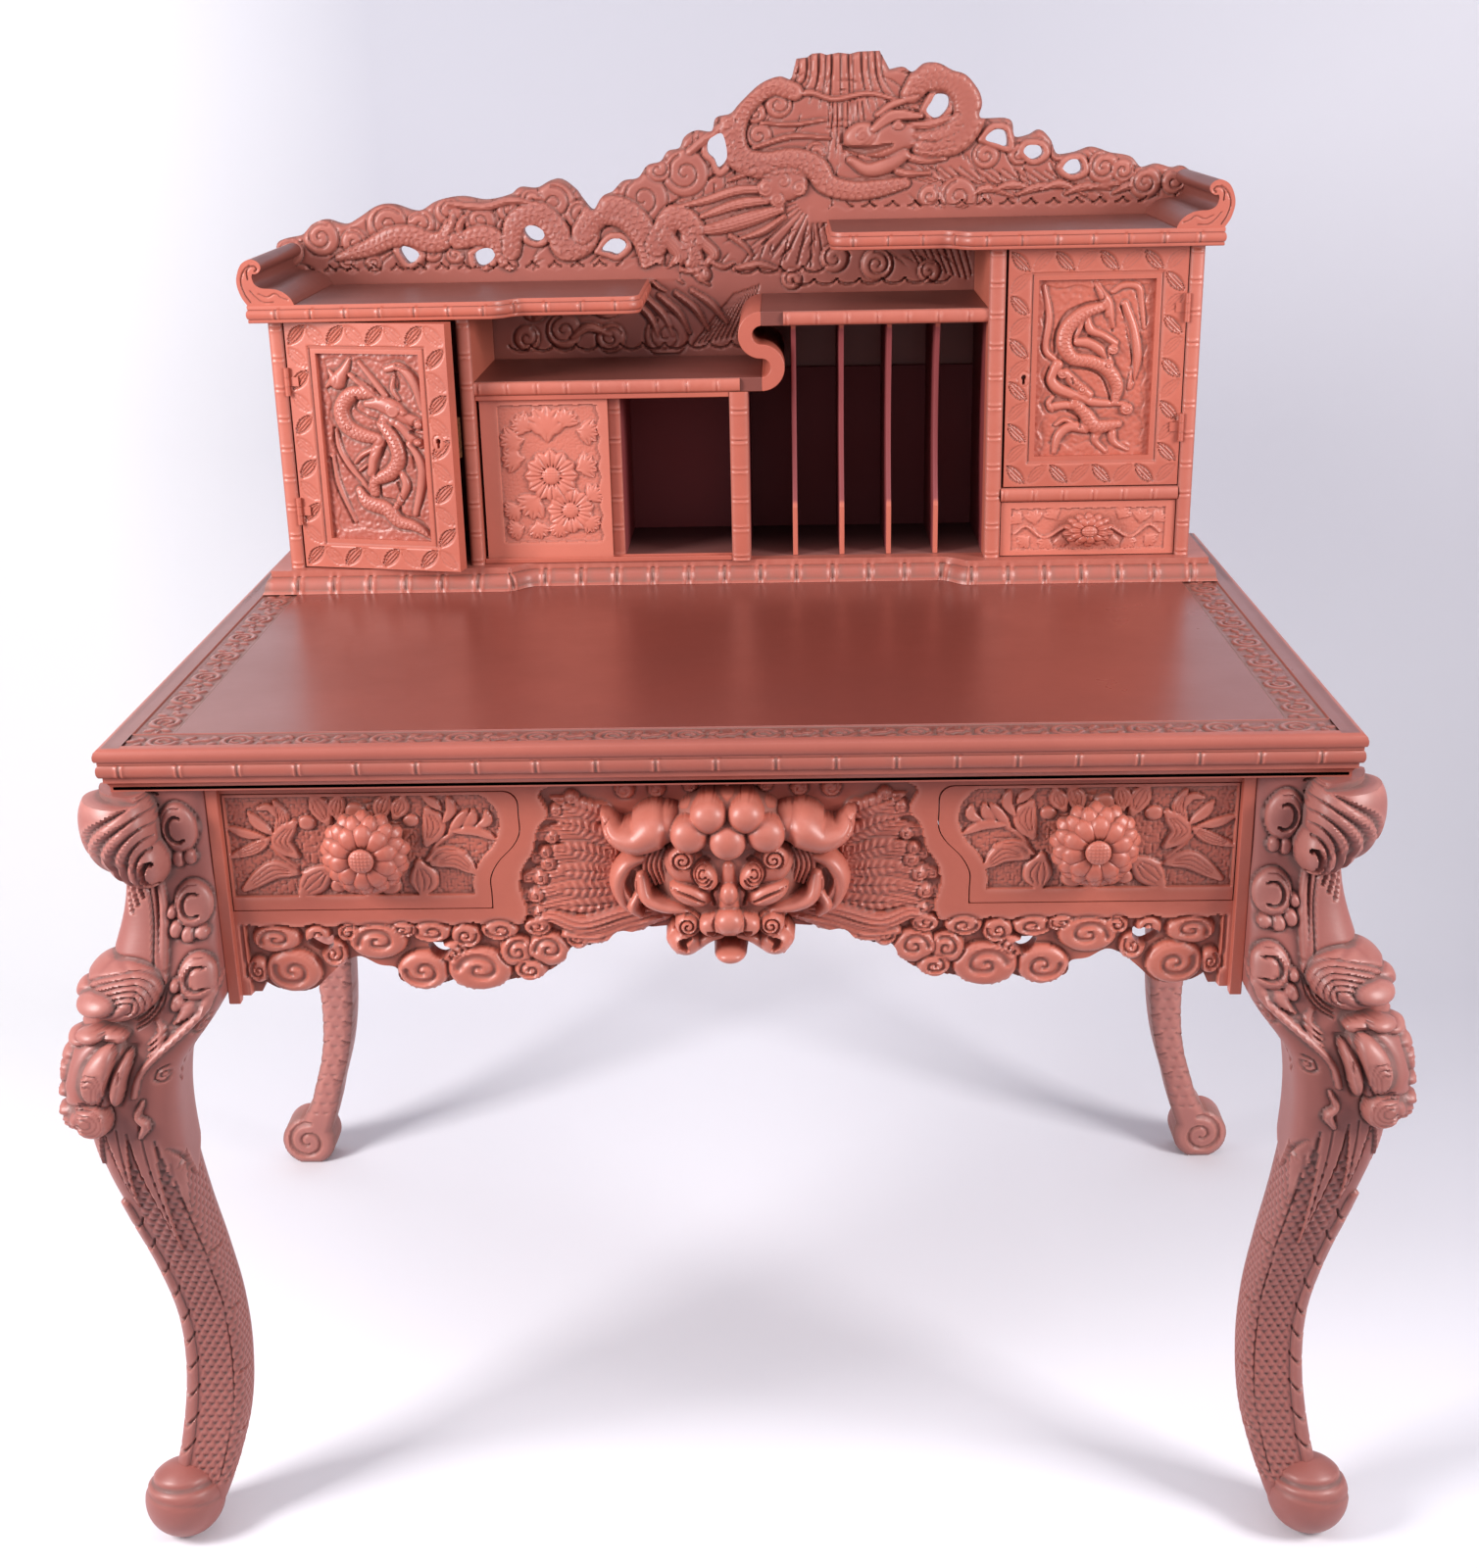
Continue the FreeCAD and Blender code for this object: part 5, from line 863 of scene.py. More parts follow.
for x, z, r in ((-326, 628, 8), (-315, 627, 8), (-299, 625, 9), (-308, 694, 9), (-262, 685, 7), (-348, 684, 8),
                (-284, 627, 10)):
    leafy.dome(x, z, r, 0.85 * r, STANDS, SUNK, square=2.6, edge=0.7)
for points, width in LEAVES:
    path = curve(points)
    count = len(path)
    swell = [max(0.6, width * sin(pi * (0.08 + 0.84 * k / (count - 1))) ** 0.7) for k in range(count)]
    full = [(x, z, wide, STANDS) for (x, z), wide in zip(path, swell)]
    leafy.ridge(full[::2] + full[-1:], SUNK, square=2.6, edge=0.7)
    if width > 5:
        way = path[-1] - path[0]
        for k in (-0.5, 0.0, 0.5):
            away = np.array([-way[1], way[0]]) / np.hypot(*way) * k * width
            leafy.groove([(*(path[n] + away * sin(pi * n / count)), 0.9, 1.0)
                          for n in (count // 6, count // 2, 5 * count // 6)])
leafy.H[~sunk] = 0.0
DRAWER_GAP = 1.0
line = drawer_line(DRAWER_GAP)
DRAWER_BACK = -273.0
for body, board, edge in (("left_drawer", leafy, line), ("right_drawer", leafy.mirrored(), flipped(line))):
    front = body + "_front"
    set_piece(carved_board(board, APRON_FRONT, DRAWER_BACK, edge), front + "_carved", red_lacquer, [front], body)

# %% [markdown]
# A petal is a cupped lozenge. One is shaped from a small grid and spun about the pull's axis, ring after ring, each
# ring smaller and further out. The heart is a short turned button with a hatched face.

# %% Chrysanthemum pulls
def petal_ring(mesh, layer, count, inner, outer, width, depth, cup, turn):
    """A ring of cupped petals round the Y axis that face the sitter, at a depth."""
    first = bmesh.ops.create_grid(mesh, x_segments=6, y_segments=8, size=1.0)["verts"]
    for vert in first:
        along, across = (vert.co.y + 1) / 2, vert.co.x
        wide = width * sin(pi * (0.12 + 0.83 * along) ** 1.25) ** 0.7
        bulge = cup * (1 - across ** 2) * (1 - (2 * along - 1) ** 4) - 0.22 * cup * exp(-(across / 0.18) ** 2)
        # Hollow values: dust along the petal rims, and rubbing with a painted highlight down each petal's outer middle.
        vert[layer] = 0.9 * (abs(across) > 0.8) - 0.7 * (abs(across) < 0.5) * (along > 0.6)
        vert.co = Vector((across * wide, -(depth + bulge - 0.55 * cup * along ** 2),
                          inner + (outer - inner) * along)) * MM
    faces = list({face for vert in first for face in vert.link_faces})
    rim = [edge for edge in {e for f in faces for e in f.edges} if edge.is_boundary]
    walls = bmesh.ops.extrude_edge_only(mesh, edges=rim)["geom"]
    for vert in walls:
        if isinstance(vert, bmesh.types.BMVert):
            vert.co.y += 0.6 * cup * MM
            vert[layer] = 1.0
    shape = faces + [f for f in walls if isinstance(f, bmesh.types.BMFace)]
    corners = list({v for f in shape for v in f.verts})
    whole = corners + list({e for f in shape for e in f.edges}) + shape
    bmesh.ops.rotate(mesh, cent=(0, 0, 0), matrix=Matrix.Rotation(radians(turn), 3, "Y"), verts=corners)
    bmesh.ops.spin(mesh, geom=whole, cent=(0, 0, 0), axis=(0, 1, 0), steps=count - 1,
                   angle=2 * pi * (count - 1) / count, use_duplicate=True)


def turned(mesh, profile, steps):
    """A body spun about the Y axis from a profile of (radius, depth)."""
    verts = [mesh.verts.new(Vector((r, -d, 0.0)) * MM) for r, d in profile]
    edges = [mesh.edges.new(pair) for pair in zip(verts, verts[1:])]
    bmesh.ops.spin(mesh, geom=verts + edges, cent=(0, 0, 0), axis=(0, 1, 0), steps=steps, angle=2 * pi, use_merge=True)


def flower_pull(name, body, node, centre, rings, heart, stem, stretch=1.0):
    """A turned stem, rings of petals and a hatched heart, all in millimetres."""
    mesh = bmesh.new()
    layer = mesh.verts.layers.float.new("hollow")
    turned(mesh, stem, 40)
    for ring in rings:
        petal_ring(mesh, layer, *ring)
    radius, rise, depth = heart
    button = Relief(-radius, radius, -radius, radius, radius / 16.0)
    button.dome(0, 0, radius, radius, rise, 0, square=1.4)
    hatch = np.clip(np.maximum(np.cos(button.X * 2.1), np.cos(button.Z * 2.1)), 0, 1)
    button.H -= 0.5 * hatch * (np.hypot(button.X, button.Z) < 0.85 * radius)
    disc = [(radius * cos(a), radius * sin(a)) for a in np.linspace(0, 2 * pi, 40, endpoint=False)]
    cap = carved_board(button, -depth, outline=disc)
    spare = bpy.data.meshes.new("spare")
    cap.to_mesh(spare)
    cap.free()
    mesh.from_mesh(spare)
    bpy.data.meshes.remove(spare)
    bmesh.ops.remove_doubles(mesh, verts=mesh.verts, dist=0.000002)
    bmesh.ops.scale(mesh, vec=(stretch, 1, 1), verts=mesh.verts)
    bmesh.ops.translate(mesh, vec=Vector(centre) * MM, verts=mesh.verts)
    set_piece(mesh, name, red_lacquer, [node], body, sharp=50)


RINGS = [(13, 15, 37, 8.4, 15, 6, 0), (13, 13, 35, 7.6, 20, 5, 14), (10, 9, 29, 8.6, 25, 5, 5)]
STEM = [(0.01, 0), (15, 0), (12, 8), (16, 14), (28, 18), (26, 21), (0.01, 24)]
for side, body in ((-1, "left_drawer"), (1, "right_drawer")):
    flower_pull(body + "_flower_pull", body, body + "_knob", (side * 299.0, APRON_FRONT + 0.2, 662.0), RINGS,
                (10.5, 5.0, 29.0), STEM)

# %% [markdown]
# ## The front legs
# Each front leg is one thick timber bent like a paw, carved on its outer corner: a fanned roll under the top, two
# beasts' heads at the knee, flame leaves, then scales down to a ball. The carving is the same on the two faces that
# meet at the corner, so it is drawn once, with the distance measured from the corner. The map is wrapped round a
# rounded square whose centre and size follow the curve of the leg.

# %% Leg curve
STATIONS = np.array([  # height, kick outwards, size
    (722, 0, 64), (640, 1, 62), (580, 14, 66), (520, 34, 69), (460, 46, 72), (400, 45, 69), (340, 36, 61),
    (280, 25, 54),
    (220, 17, 50), (160, 16.5, 51), (100, 23.5, 53), (40, 39, 49), (30, 43, 44)], float)[::-1]
leg_run = curve(STATIONS, pieces=20)
BLOCK_INNER, LEG_X, LEG_Y = 427.0, 459.0, -274.0
TURN = np.linspace(-pi, pi, 721)


def section(z):
    """Half widths, centre shift along x and y, for heights in mm."""
    kick, size = np.interp(z, leg_run[:, 0], leg_run[:, 1]), np.interp(z, leg_run[:, 0], leg_run[:, 2])
    outer = kick + size / 2
    inner = kick - size / 2
    ease = np.clip((z - 478.0) / 75.0, 0, 1)
    inner = inner + (BLOCK_INNER - LEG_X - inner) * ease * ease * (3 - 2 * ease)
    return (outer - inner) / 2, (outer + inner) / 2


def leg_place(flip):
    """Wraps the map round the leg; the middle of the map is the outer front corner."""
    bend = 2 / 4.6
    ring = np.stack([np.sign(f(TURN)) * np.abs(f(TURN)) ** bend for f in (np.cos, np.sin)], 1)
    run = np.concatenate([[0], np.cumsum(np.hypot(*np.diff(ring, axis=0).T))])
    run = run / run[-1] - 0.5

    def place(w, z, height):
        half_size, shift = section(z)
        # the corner lies on the diagonal, an eighth of a turn from the x axis
        t = (w / LEG_SPAN + 0.125 + 0.5) % 1.0 - 0.5
        px, py = np.interp(t, run, ring[:, 0]), np.interp(t, run, ring[:, 1])
        nx, ny = np.sign(px) * np.abs(px) ** 3.6, np.sign(py) * np.abs(py) ** 3.6
        long = np.hypot(nx, ny)
        x = LEG_X + shift + half_size * px + height * nx / long
        y = LEG_Y - shift - half_size * py - height * ny / long
        return np.stack([flip * x, y, z], 1)

    return place


print("leg stations:", len(STATIONS))

# %% [markdown]
# The strokes of the leg, from the top down: the roll and its fan of strands, three leafy scrolls on the flat, a smooth
# neck band with an incised line, the upper head with fur combed round a spiral and bulging eyes, the lower head with an
# oval ear, the flame leaves, and rows of cut scales with a notched belly strip.

# %% Leg carving
LEG_SPAN, SKIN = 250.0, 3.2
beside = np.concatenate([np.linspace(0, 46, 43), np.linspace(46, LEG_SPAN / 2, 42)[1:]])
leg = Relief(-LEG_SPAN / 2, LEG_SPAN / 2, 30.0, 722.0, 1.4, np.concatenate([-beside[:0:-1], beside]),
             np.concatenate([np.linspace(30, 430, 226), np.linspace(430, 722, 256)[1:]]))


def both(tool, *args, **options):
    """Uses a carving tool on each face beside the corner."""
    getattr(leg, tool)(*args, **options)
    first = args[0]
    if isinstance(first, (int, float)):
        turned_over = -first
    else:
        turned_over = [(-p[0],) + tuple(p[1:]) for p in first]
    getattr(leg, tool)(turned_over, *args[1:], **options)


TIPS = [(-14, 462), (0, 398), (9, 442), (15, 350), (28, 430), (36, 300), (50, 420), (60, 342), (74, 408), (86, 372),
        (125, 402), (125, 470)]
spots = np.stack([np.abs(leg.X.ravel()), leg.Z.ravel()], 1)
leg.H[within(spots, np.array(TIPS, float)).reshape(leg.X.shape)] = SKIN
leg.H[leg.Z > 440] = SKIN
for flame in ([(9, 442, 1.5, 2), (12, 400, 1.5, 2), (15, 356, 1.2, 1)],
              [(28, 432, 1.5, 2), (31, 380, 1.6, 2.4), (36, 310, 1.2, 1)],
              [(40, 440, 1.2, 1.6), (40, 380, 1.2, 1.6), (37, 330, 1, 1)],
              [(50, 424, 1.5, 2), (55, 390, 1.5, 2), (60, 350, 1.2, 1)],
              [(20, 436, 1.2, 1.6), (19, 400, 1.2, 1.6), (16, 366, 1, 1)]):
    both("groove", flame)
for n in range(5):
    both("groove", [(58 + 3 * n, 416 - 4 * n, 1.3, 1.6), (70 + 2 * n, 404 - 4 * n, 1.5, 2.0),
                    (62 + 3 * n, 394 - 3 * n, 1.2, 1.4)])
    both("groove", [(4 + 2 * n, 432 - 8 * n, 1.2, 1.6), (10 + 1.2 * n, 428 - 8 * n, 1.4, 2.0)])
both("ridge", [(0, 640, 15, 9), (6, 600, 17, 8), (14, 560, 20, 9)], 3.0, square=2.4)
both("groove", [(12, 638, 1.2, 2.4), (18, 606, 1.4, 2.8), (24, 570, 1.4, 2.4)])
both("ridge", [(19, 644, 3, 5), (25, 612, 4, 7), (29, 572, 4, 6)], 3.0)


def comma(x, z, rx, rz):
    """A leafy scroll that curls in from its left, with lobes below."""
    both("dome", x, z, rx, rz, 8, 3.0, square=1.8, edge=2.0)
    both("groove", [(x + 0.48 * rx * cos(a), z + 0.48 * rz * sin(a), 2.6 - 0.55 * abs(a - 3.3), 5.0)
                    for a in np.linspace(1.1, 5.3, 11)])
    both("groove", arc(x, z, 0.80 * rx, 0.80 * rz, 1.3, 4.2, 11, 1.0, 1.6))
    for dx, dz, r in ((-0.75, -0.95, 0.38), (-0.15, -1.15, 0.36), (0.45, -1.1, 0.32), (-1.05, -0.3, 0.30)):
        both("dome", x + dx * rx, z + dz * rz, r * rx, r * rz, 6, 3.0, square=1.8, edge=1.2)


for place in ((53, 563, 13, 20), (48, 622, 16, 21), (41, 688, 17, 23)):
    comma(*place)
both("ridge", [(80, 556, 3, 4), (62, 552, 4, 7), (58, 536, 4, 7), (49, 512, 4, 7), (40, 488, 3, 5), (37, 468, 3, 4)],
     3.0)
both("ridge", [(44, 546, 1.5, 4), (50, 538, 5, 6), (46, 528, 1.5, 4)], 3.0, edge=1.2)
for n in range(3):
    both("ridge", [(34 + 3 * n, 530 - 6 * n, 1.5, 3), (40 + 2 * n, 522 - 6 * n, 2.6, 5),
                   (36 + 2 * n, 512 - 5 * n, 1.4, 3)], 3.0)
for x, z in ((66, 522), (58, 484), (72, 554)):
    both("groove", spiral(x, z, 8, 90, 1.5, 1, 1.5, 2.6), smooth=False)
for n in range(6):
    both("groove", [(70 + n, 516 - 8 * n, 1.0, 1.6), (76 + n, 510 - 8 * n, 1.1, 1.8)])
both("ridge", [(44, 462, 2, 4), (40, 450, 3, 6), (46, 442, 4, 7), (40, 430, 2, 4)], 3.0, edge=1.0)
leg.dome(0, 690, 27, 44, 42, 3, square=1.2)
leg.dome(13, 664, 20, 25, 35, 3, square=1.3)
for r in (8.5, 12.5, 16.5, 20.5, 24.5):
    leg.groove(arc(21, 658, r, 2.5 * r, 1.35, 3.9, 15, 1.3, 4.6))
leg.groove(arc(21, 657, 5.0, 11, 1.3, 5.0, 11, 2.4, 13.0))
both("dome", 7, 556, 25, 25, 25, 3, square=1.4, edge=1.6)
for r in (4, 7.2, 10.4, 13.6, 16.8, 20):
    leg.groove(arc(14, 547, r, 1.35 * r, -1.1, 3.0, 14, 1.1, 2.4))
leg.dome(-8, 553, 7, 9, 8, 25, edge=1.6)
leg.dome(2, 548, 7.5, 9.5, 9, 26, edge=2.0)
leg.ridge([(-20, 526, 5, 6), (-2, 523, 6, 8), (14, 520, 5, 6)], 12)
leg.dome(-2, 487, 26, 41, 21, 3, square=1.5)
both("dome", 11, 492, 7.5, 25, 10, 19, square=1.3, edge=2.4)
for r in (2.4, 4.6, 6.8):
    both("groove", arc(9, 478, 0.95 * r, 4 + 2.0 * r, -2.4, 2.2, 14, 0.9, 2.2))
both("dome", 24.5, 485, 6, 23, 14, 8, square=1.3, edge=2.0)
both("groove", [(24, 495, 1.0, 1.6), (25.5, 490, 1.2, 2.2), (26, 486, 1.0, 1.4)])
both("dome", 8, 450, 12, 16, 15, 10, square=1.3, edge=2.0)
for r in (3.2, 6.0, 8.8):
    both("groove", arc(7, 451, r, 1.3 * r, -2.6, 2.0, 12, 1.0, 2.2))
for x, z, r in ((-5, 517, 6), (-9, 501, 5), (2, 522, 5), (-7, 472, 5), (-6, 456, 5)):
    leg.dome(x, z, r, 1.2 * r, 6, 22, edge=1.4)
LOW = leg.window(-LEG_SPAN, LEG_SPAN, 52.0, 400.0)
SX, SZ = np.abs(leg.X[LOW]), leg.Z[LOW]
SCALE_WIDE, SCALE_HIGH = 11.0, 12.5
for rows in (0, 1):
    row = np.floor(SZ / SCALE_HIGH + 0.5 * rows)
    u = (SX / SCALE_WIDE + 0.5 * rows) % 1.0 - 0.5
    v = SZ / SCALE_HIGH + 0.5 * rows - row
    nick = np.exp(-((v - 0.35 - 1.3 * u * u) / 0.13) ** 2) * np.clip(1 - (u / 0.40) ** 2, 0, 1)
    sheen = np.clip(1 - ((u / 0.5) ** 2 + ((v - 0.75) / 0.5) ** 2), 0, 1)
    fade = np.clip((SX - 11) / 5, 0, 1) * np.clip((112 - SX) / 6, 0, 1) * (leg.H[LOW] < 2.9)
    leg.H[LOW] += (0.7 * sheen - 2.2 * nick) * fade
leg.ridge([(0, 352, 6, 4), (0, 200, 9, 4), (0, 66, 9, 4)], square=2.4)
for z in (330, 305, 275, 248, 220, 195, 168, 140, 112, 86):
    leg.groove([(-11, z + 9, 1.4, 2.8), (0, z - 3, 1.8, 3.6), (11, z + 9, 1.4, 2.8)])
for z in (295, 228, 160, 100, 58):
    both("groove", [(62, z, 1.5, 3.0), (90, z - 3, 1.7, 3.4)])
both("groove", [(58, 400, 1.1, 1.4), (57, 300, 1.3, 1.8), (54, 200, 1.3, 1.8), (52, 60, 1.3, 1.8)])
leg.H[leg.Z > 716] = np.minimum(leg.H[leg.Z > 716], 24.0)
leg.H = np.clip(leg.H, -4.0, 46.0)
leg.H[-1] = leg.H[-2] = np.minimum(leg.H[-1], 30.0)
for flip, name in ((-1, "left"), (1, "right")):
    mesh = carved_board(leg, 0.0, place=leg_place(flip))
    close_up(mesh, 0.0001)
    box_low, box_high = [Vector(side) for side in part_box("front_" + name + "_leg")]
    for vert in mesh.verts:
        for k in range(3):
            vert.co[k] = min(max(vert.co[k], box_low[k]), box_high[k])
    set_piece(mesh, name + "_front_leg_carved", leg_lacquer, ["front_" + name + "_leg"])

# %% [markdown]
# The foot is a ball held in the paw. A shallow crescent is cut round its front, and old dust sits at the join, so the
# map of a small globe carries the groove and is bent onto the ball.

# %% Ball feet
FOOT_X, FOOT_Y, FOOT_R = 513.0, -328.0, 36.0
globe = Relief(-180.0, 180.0, -89.0, 89.0, 4.0)
globe.groove([(a, 34 + 10 * cos(radians(a)), 7.0, 2.2) for a in np.linspace(-170, 170, 18)])
globe.groove([(a, 12 + 14 * cos(radians(a + 30)), 5.0, 0.9) for a in np.linspace(-90, 90, 12)])


def ball_place(flip):
    """Wraps a map of degrees round a ball."""
    def place(east, north, height):
        a, b = np.radians(east), np.radians(north)
        r = FOOT_R - 0.02 + height
        out = np.stack([np.sin(a) * np.cos(b), -np.cos(a) * np.cos(b), np.sin(b)], 1) * r[:, None]
        return out + (flip * FOOT_X, FOOT_Y, FOOT_R)
    return place


for flip, name in ((-1, "left"), (1, "right")):
    mesh = carved_board(globe, 0.0, place=ball_place(flip))
    close_up(mesh, 0.0004)
    set_piece(mesh, name + "_ball_foot", leg_lacquer, ["front_" + name + "_leg"], sharp=60)

# %% [markdown]
# ## The rear legs
# The rear legs are sawn from thick boards and only lightly carved: nicked scales down the face, notches along both
# edges, and a scroll cut into the round foot. The edges are rounded over, which the map does by falling away near the
# sawn line.

# %% Rear legs
REAR_FRONT, REAR_BACK = 316.0, 360.0
outer_side = curve([(491, 722), (491, 600), (525, 460), (511, 205), (531, 96), (547, 61)], pieces=12)
REAR_FOOT = (543, 30, 32, 32)
foot, heel = arc(*REAR_FOOT, 1.35, -1.2, 16), arc(*REAR_FOOT, -1.94, -3.6, 10)
inner_side = curve([(509, 60), (499, 96), (475, 205), (463, 460), (427, 600), (427, 722)], pieces=12)
rear_line = np.vstack([outer_side, foot, heel, inner_side])
rear_line[:, 1] = np.maximum(rear_line[:, 1], 0.3)
rear = Relief(426.0, 576.0, 0.0, 722.0, 1.8)
inner_x = np.interp(rear.Z, inner_side[:, 1], inner_side[:, 0])
NICK_WIDE, NICK_HIGH = 12.0, 13.0
row = np.floor(rear.Z / NICK_HIGH)
u = ((rear.X - inner_x) / NICK_WIDE + 0.5 * (row % 2)) % 1.0 - 0.5
v = rear.Z / NICK_HIGH - row
nick = 2.0 * np.exp(-((v - 0.4 - 1.2 * u * u) / 0.16) ** 2) * np.clip(1 - (u / 0.42) ** 2, 0, 1)
rear.H -= nick * (rear.Z > 70) * (rear.Z < 520)
rear.groove(spiral(543, 31, 25, 100, 1.6, -1, 3.2, 4.0), smooth=False)
for z in range(110, 560, 26):
    x_out = np.interp(z, outer_side[::-1, 1], outer_side[::-1, 0])
    x_in = np.interp(z, inner_side[:, 1], inner_side[:, 0])
    rear.groove([(x_out + 1, z, 1.6, 4), (x_out - 9, z + 7, 1.4, 2)])
    rear.groove([(x_in - 1, z, 1.6, 4), (x_in + 8, z + 7, 1.4, 2)])
win, away, *_ = rear.near(np.vstack([rear_line, rear_line[:1]]), 12)
rear.H[win] -= 7.0 * np.clip(1 - away / 10.0, 0, 1) ** 2
rear.H = np.minimum(rear.H, 0.0)
for name, board, line in (("rear_right_leg", rear, rear_line), ("rear_left_leg", rear.mirrored(), flipped(rear_line))):
    set_piece(carved_board(board, REAR_FRONT, REAR_BACK, line), name + "_carved", rear_leg_lacquer, [name])

# %% [markdown]
# ## The gallery
# The tall board behind the cabinet is sawn to a line of clouds that climbs to a flat mountain peak. Two scaled dragons
# wind through it, with their heads either side of the middle. The carver worked downwards in layers: the sky is cut
# back, the clouds are rounded, the dragons are left highest, and a scalloped line closes the picture above the shelves.

# %% Gallery outline
GALLERY_FRONT, GALLERY_BACK = 346.0, 368.0
CREST = [(-486, 1073), (-484, 1094), (-458, 1101), (-445, 1112), (-431, 1116), (-411, 1111), (-395, 1118), (-376, 1129),
         (-358, 1130), (-333, 1123), (-312, 1133), (-286, 1137), (-260, 1133), (-235, 1138), (-224, 1145), (-207, 1144),
         (-192, 1151), (-180, 1152), (-166, 1142), (-158, 1131), (-148, 1121), (-138, 1134), (-127, 1139), (-116, 1149),
         (-100, 1152), (-90, 1164), (-76, 1168), (-68, 1178), (-56, 1181), (-50, 1192), (-38, 1198), (-22, 1197),
         (-17, 1210), (-2, 1214), (9, 1225), (29, 1242), (48, 1249), (60, 1246)]
PEAK = [(62, 1248), (67, 1266), (78, 1267), (83, 1270.5), (92, 1271), (98, 1269), (110, 1271), (122, 1269.5),
        (130, 1271.5), (152, 1272), (162, 1254)]
RIGHT = [(163, 1254), (176, 1256), (186, 1251), (198, 1259), (212, 1259), (226, 1252), (240, 1247), (253, 1232),
         (257, 1219), (256, 1205), (286, 1203), (292, 1186), (306, 1187), (318, 1192), (329, 1182), (336, 1168),
         (354, 1169), (372, 1174), (392, 1168), (412, 1164), (424, 1153), (440, 1156), (456, 1152), (468, 1153),
         (482, 1141), (485, 1133)]
gallery_line = np.vstack([[(-486, 1050)], curve(CREST), PEAK, curve(RIGHT),
                          [(486, 1107), (460, 1107), (460, 955), (-460, 955), (-460, 1050)]])
HOLE_SHAPES = [
    [(-355, 1083), (-350, 1088), (-338, 1084), (-334, 1078), (-341, 1071), (-348, 1071)],
    [(-276, 1078), (-266, 1084), (-256, 1083), (-255, 1074), (-266, 1066), (-274, 1068)],
    [(-222, 1102), (-214, 1107), (-202, 1102), (-201, 1094), (-208, 1090), (-217, 1093)],
    [(-141, 1080), (-130, 1091), (-118, 1090), (-115, 1083), (-124, 1075), (-132, 1077)],
    [(-26, 1186), (-20, 1192), (-10, 1194), (-6, 1172), (-15, 1161), (-20, 1170), (-26, 1176)],
    [(200, 1213), (205, 1222), (210, 1229), (222, 1227), (223, 1217), (216, 1208), (208, 1206)],
    [(261, 1184), (270, 1193), (282, 1191), (284, 1177), (274, 1179)],
    [(301, 1170), (305, 1177), (318, 1176), (321, 1168), (311, 1163)],
    [(342, 1155), (349, 1162), (359, 1161), (362, 1151), (353, 1147), (345, 1150)]]
gallery_holes = [curve(shape, True) for shape in HOLE_SHAPES]
print("gallery outline:", len(gallery_line), "points,", len(gallery_holes), "holes")

# %% [markdown]
# Dragons, clouds and mountain are drawn as strokes on a fine map. Each entry of a list is one stroke of the gouge, in
# millimetres on the board's face; a dragon's body is a ridge with scales, and its mane is a set of thin ridges.

# %% Gallery carving
sky = Relief(-490.0, 488.0, 954.0, 1274.0, 1.5)
CLOUD_LUMPS = [
    (-472, 1084, 15, 1, 60), (-437, 1098, 19, 1, 60), (-402, 1093, 14, -1, 120), (-366, 1110, 22, 1, 40),
    (-330, 1110, 15, -1, 150), (-300, 1122, 15, 1, 20), (-268, 1112, 17, 1, 60), (-236, 1124, 14, -1, 60),
    (-188, 1128, 22, -1, 100), (-212, 1132, 12, 1, 30), (-162, 1116, 15, 1, 60), (-320, 1080, 10, -1, 200),
    (-296, 1078, 10, 1, 0), (-412, 1074, 9, -1, 40), (-384, 1071, 9, 1, 200), (-128, 1131, 14, 1, 150),
    (-95, 1131, 26, 1, 120), (-50, 1156, 24, 1, 110), (-78, 1160, 13, -1, 60), (-28, 1190, 13, 1, 60),
    (27, 1192, 14, 1, 90), (48, 1222, 14, -1, 60), (24, 1214, 11, 1, 100), (86, 1174, 11, 1, 0),
    (234, 1127, 20, 1, 100), (205, 1128, 12, -1, 60), (384, 1154, 17, 1, 80), (428, 1138, 17, 1, 90),
    (458, 1138, 13, -1, 100), (404, 1150, 12, -1, 30), (338, 1170, 10, 1, 60), (296, 1168, 11, -1, 60),
    (262, 1168, 14, 1, 100), (-185, 997, 19, 1, 100), (-75, 990, 24, 1, 120), (-225, 990, 14, -1, 60),
    (-135, 988, 16, 1, 30), (105, 1067, 15, 1, 60), (150, 1060, 17, -1, 100), (205, 1052, 12, 1, 60),
    (-215, 1020, 14, 1, 30), (-160, 1024, 12, -1, 80), (60, 1046, 11, 1, 30), (470, 1122, 9, 1, 60),
]
sky.H += 1.2 * eased(np.random.default_rng(8).normal(0, 1.0, sky.X.shape), 3)
for x, foot, deep in ((70, 1206, 3.0), (78, 1236, 5.0), (82, 1228, 3.0), (90, 1222, 5.0), (97, 1216, 3.0),
                      (103, 1196, 5.0), (112, 1160, 2.6), (120, 1190, 4.0), (124, 1168, 2.4), (133, 1212, 4.0),
                      (140, 1206, 2.6), (147, 1214, 4.0), (153, 1222, 2.6)):
    t = (x - 70) / 84
    sky.groove([(x, 1274, 2.0, deep), (x + 6 * (t - 0.5), 1246, 1.8, 0.8 * deep), (x + 40 * (t - 0.5), foot, 1.2, 1.0)])
for n in range(7):
    sky.groove([(104 + 5 * n, 1222, 1.6, 2.6), (102 + 6 * n, 1196 - 4 * (n % 2), 1.5, 2.2),
                (98 + 8 * n, 1164 + 4 * (n % 2), 1.2, 1)])
for n in range(10):
    sky.groove([(160 + 7 * n, 1226 - 3.0 * n, 1.4, 2.2), (178 + 7 * n, 1200 - 4 * n, 1.3, 1.6)])
    sky.groove([(-86 + 11 * n, 1106 + 6.4 * n, 1.4, 2.4), (-100 + 13 * n, 1092 + 5.6 * n, 1.2, 1.4)])
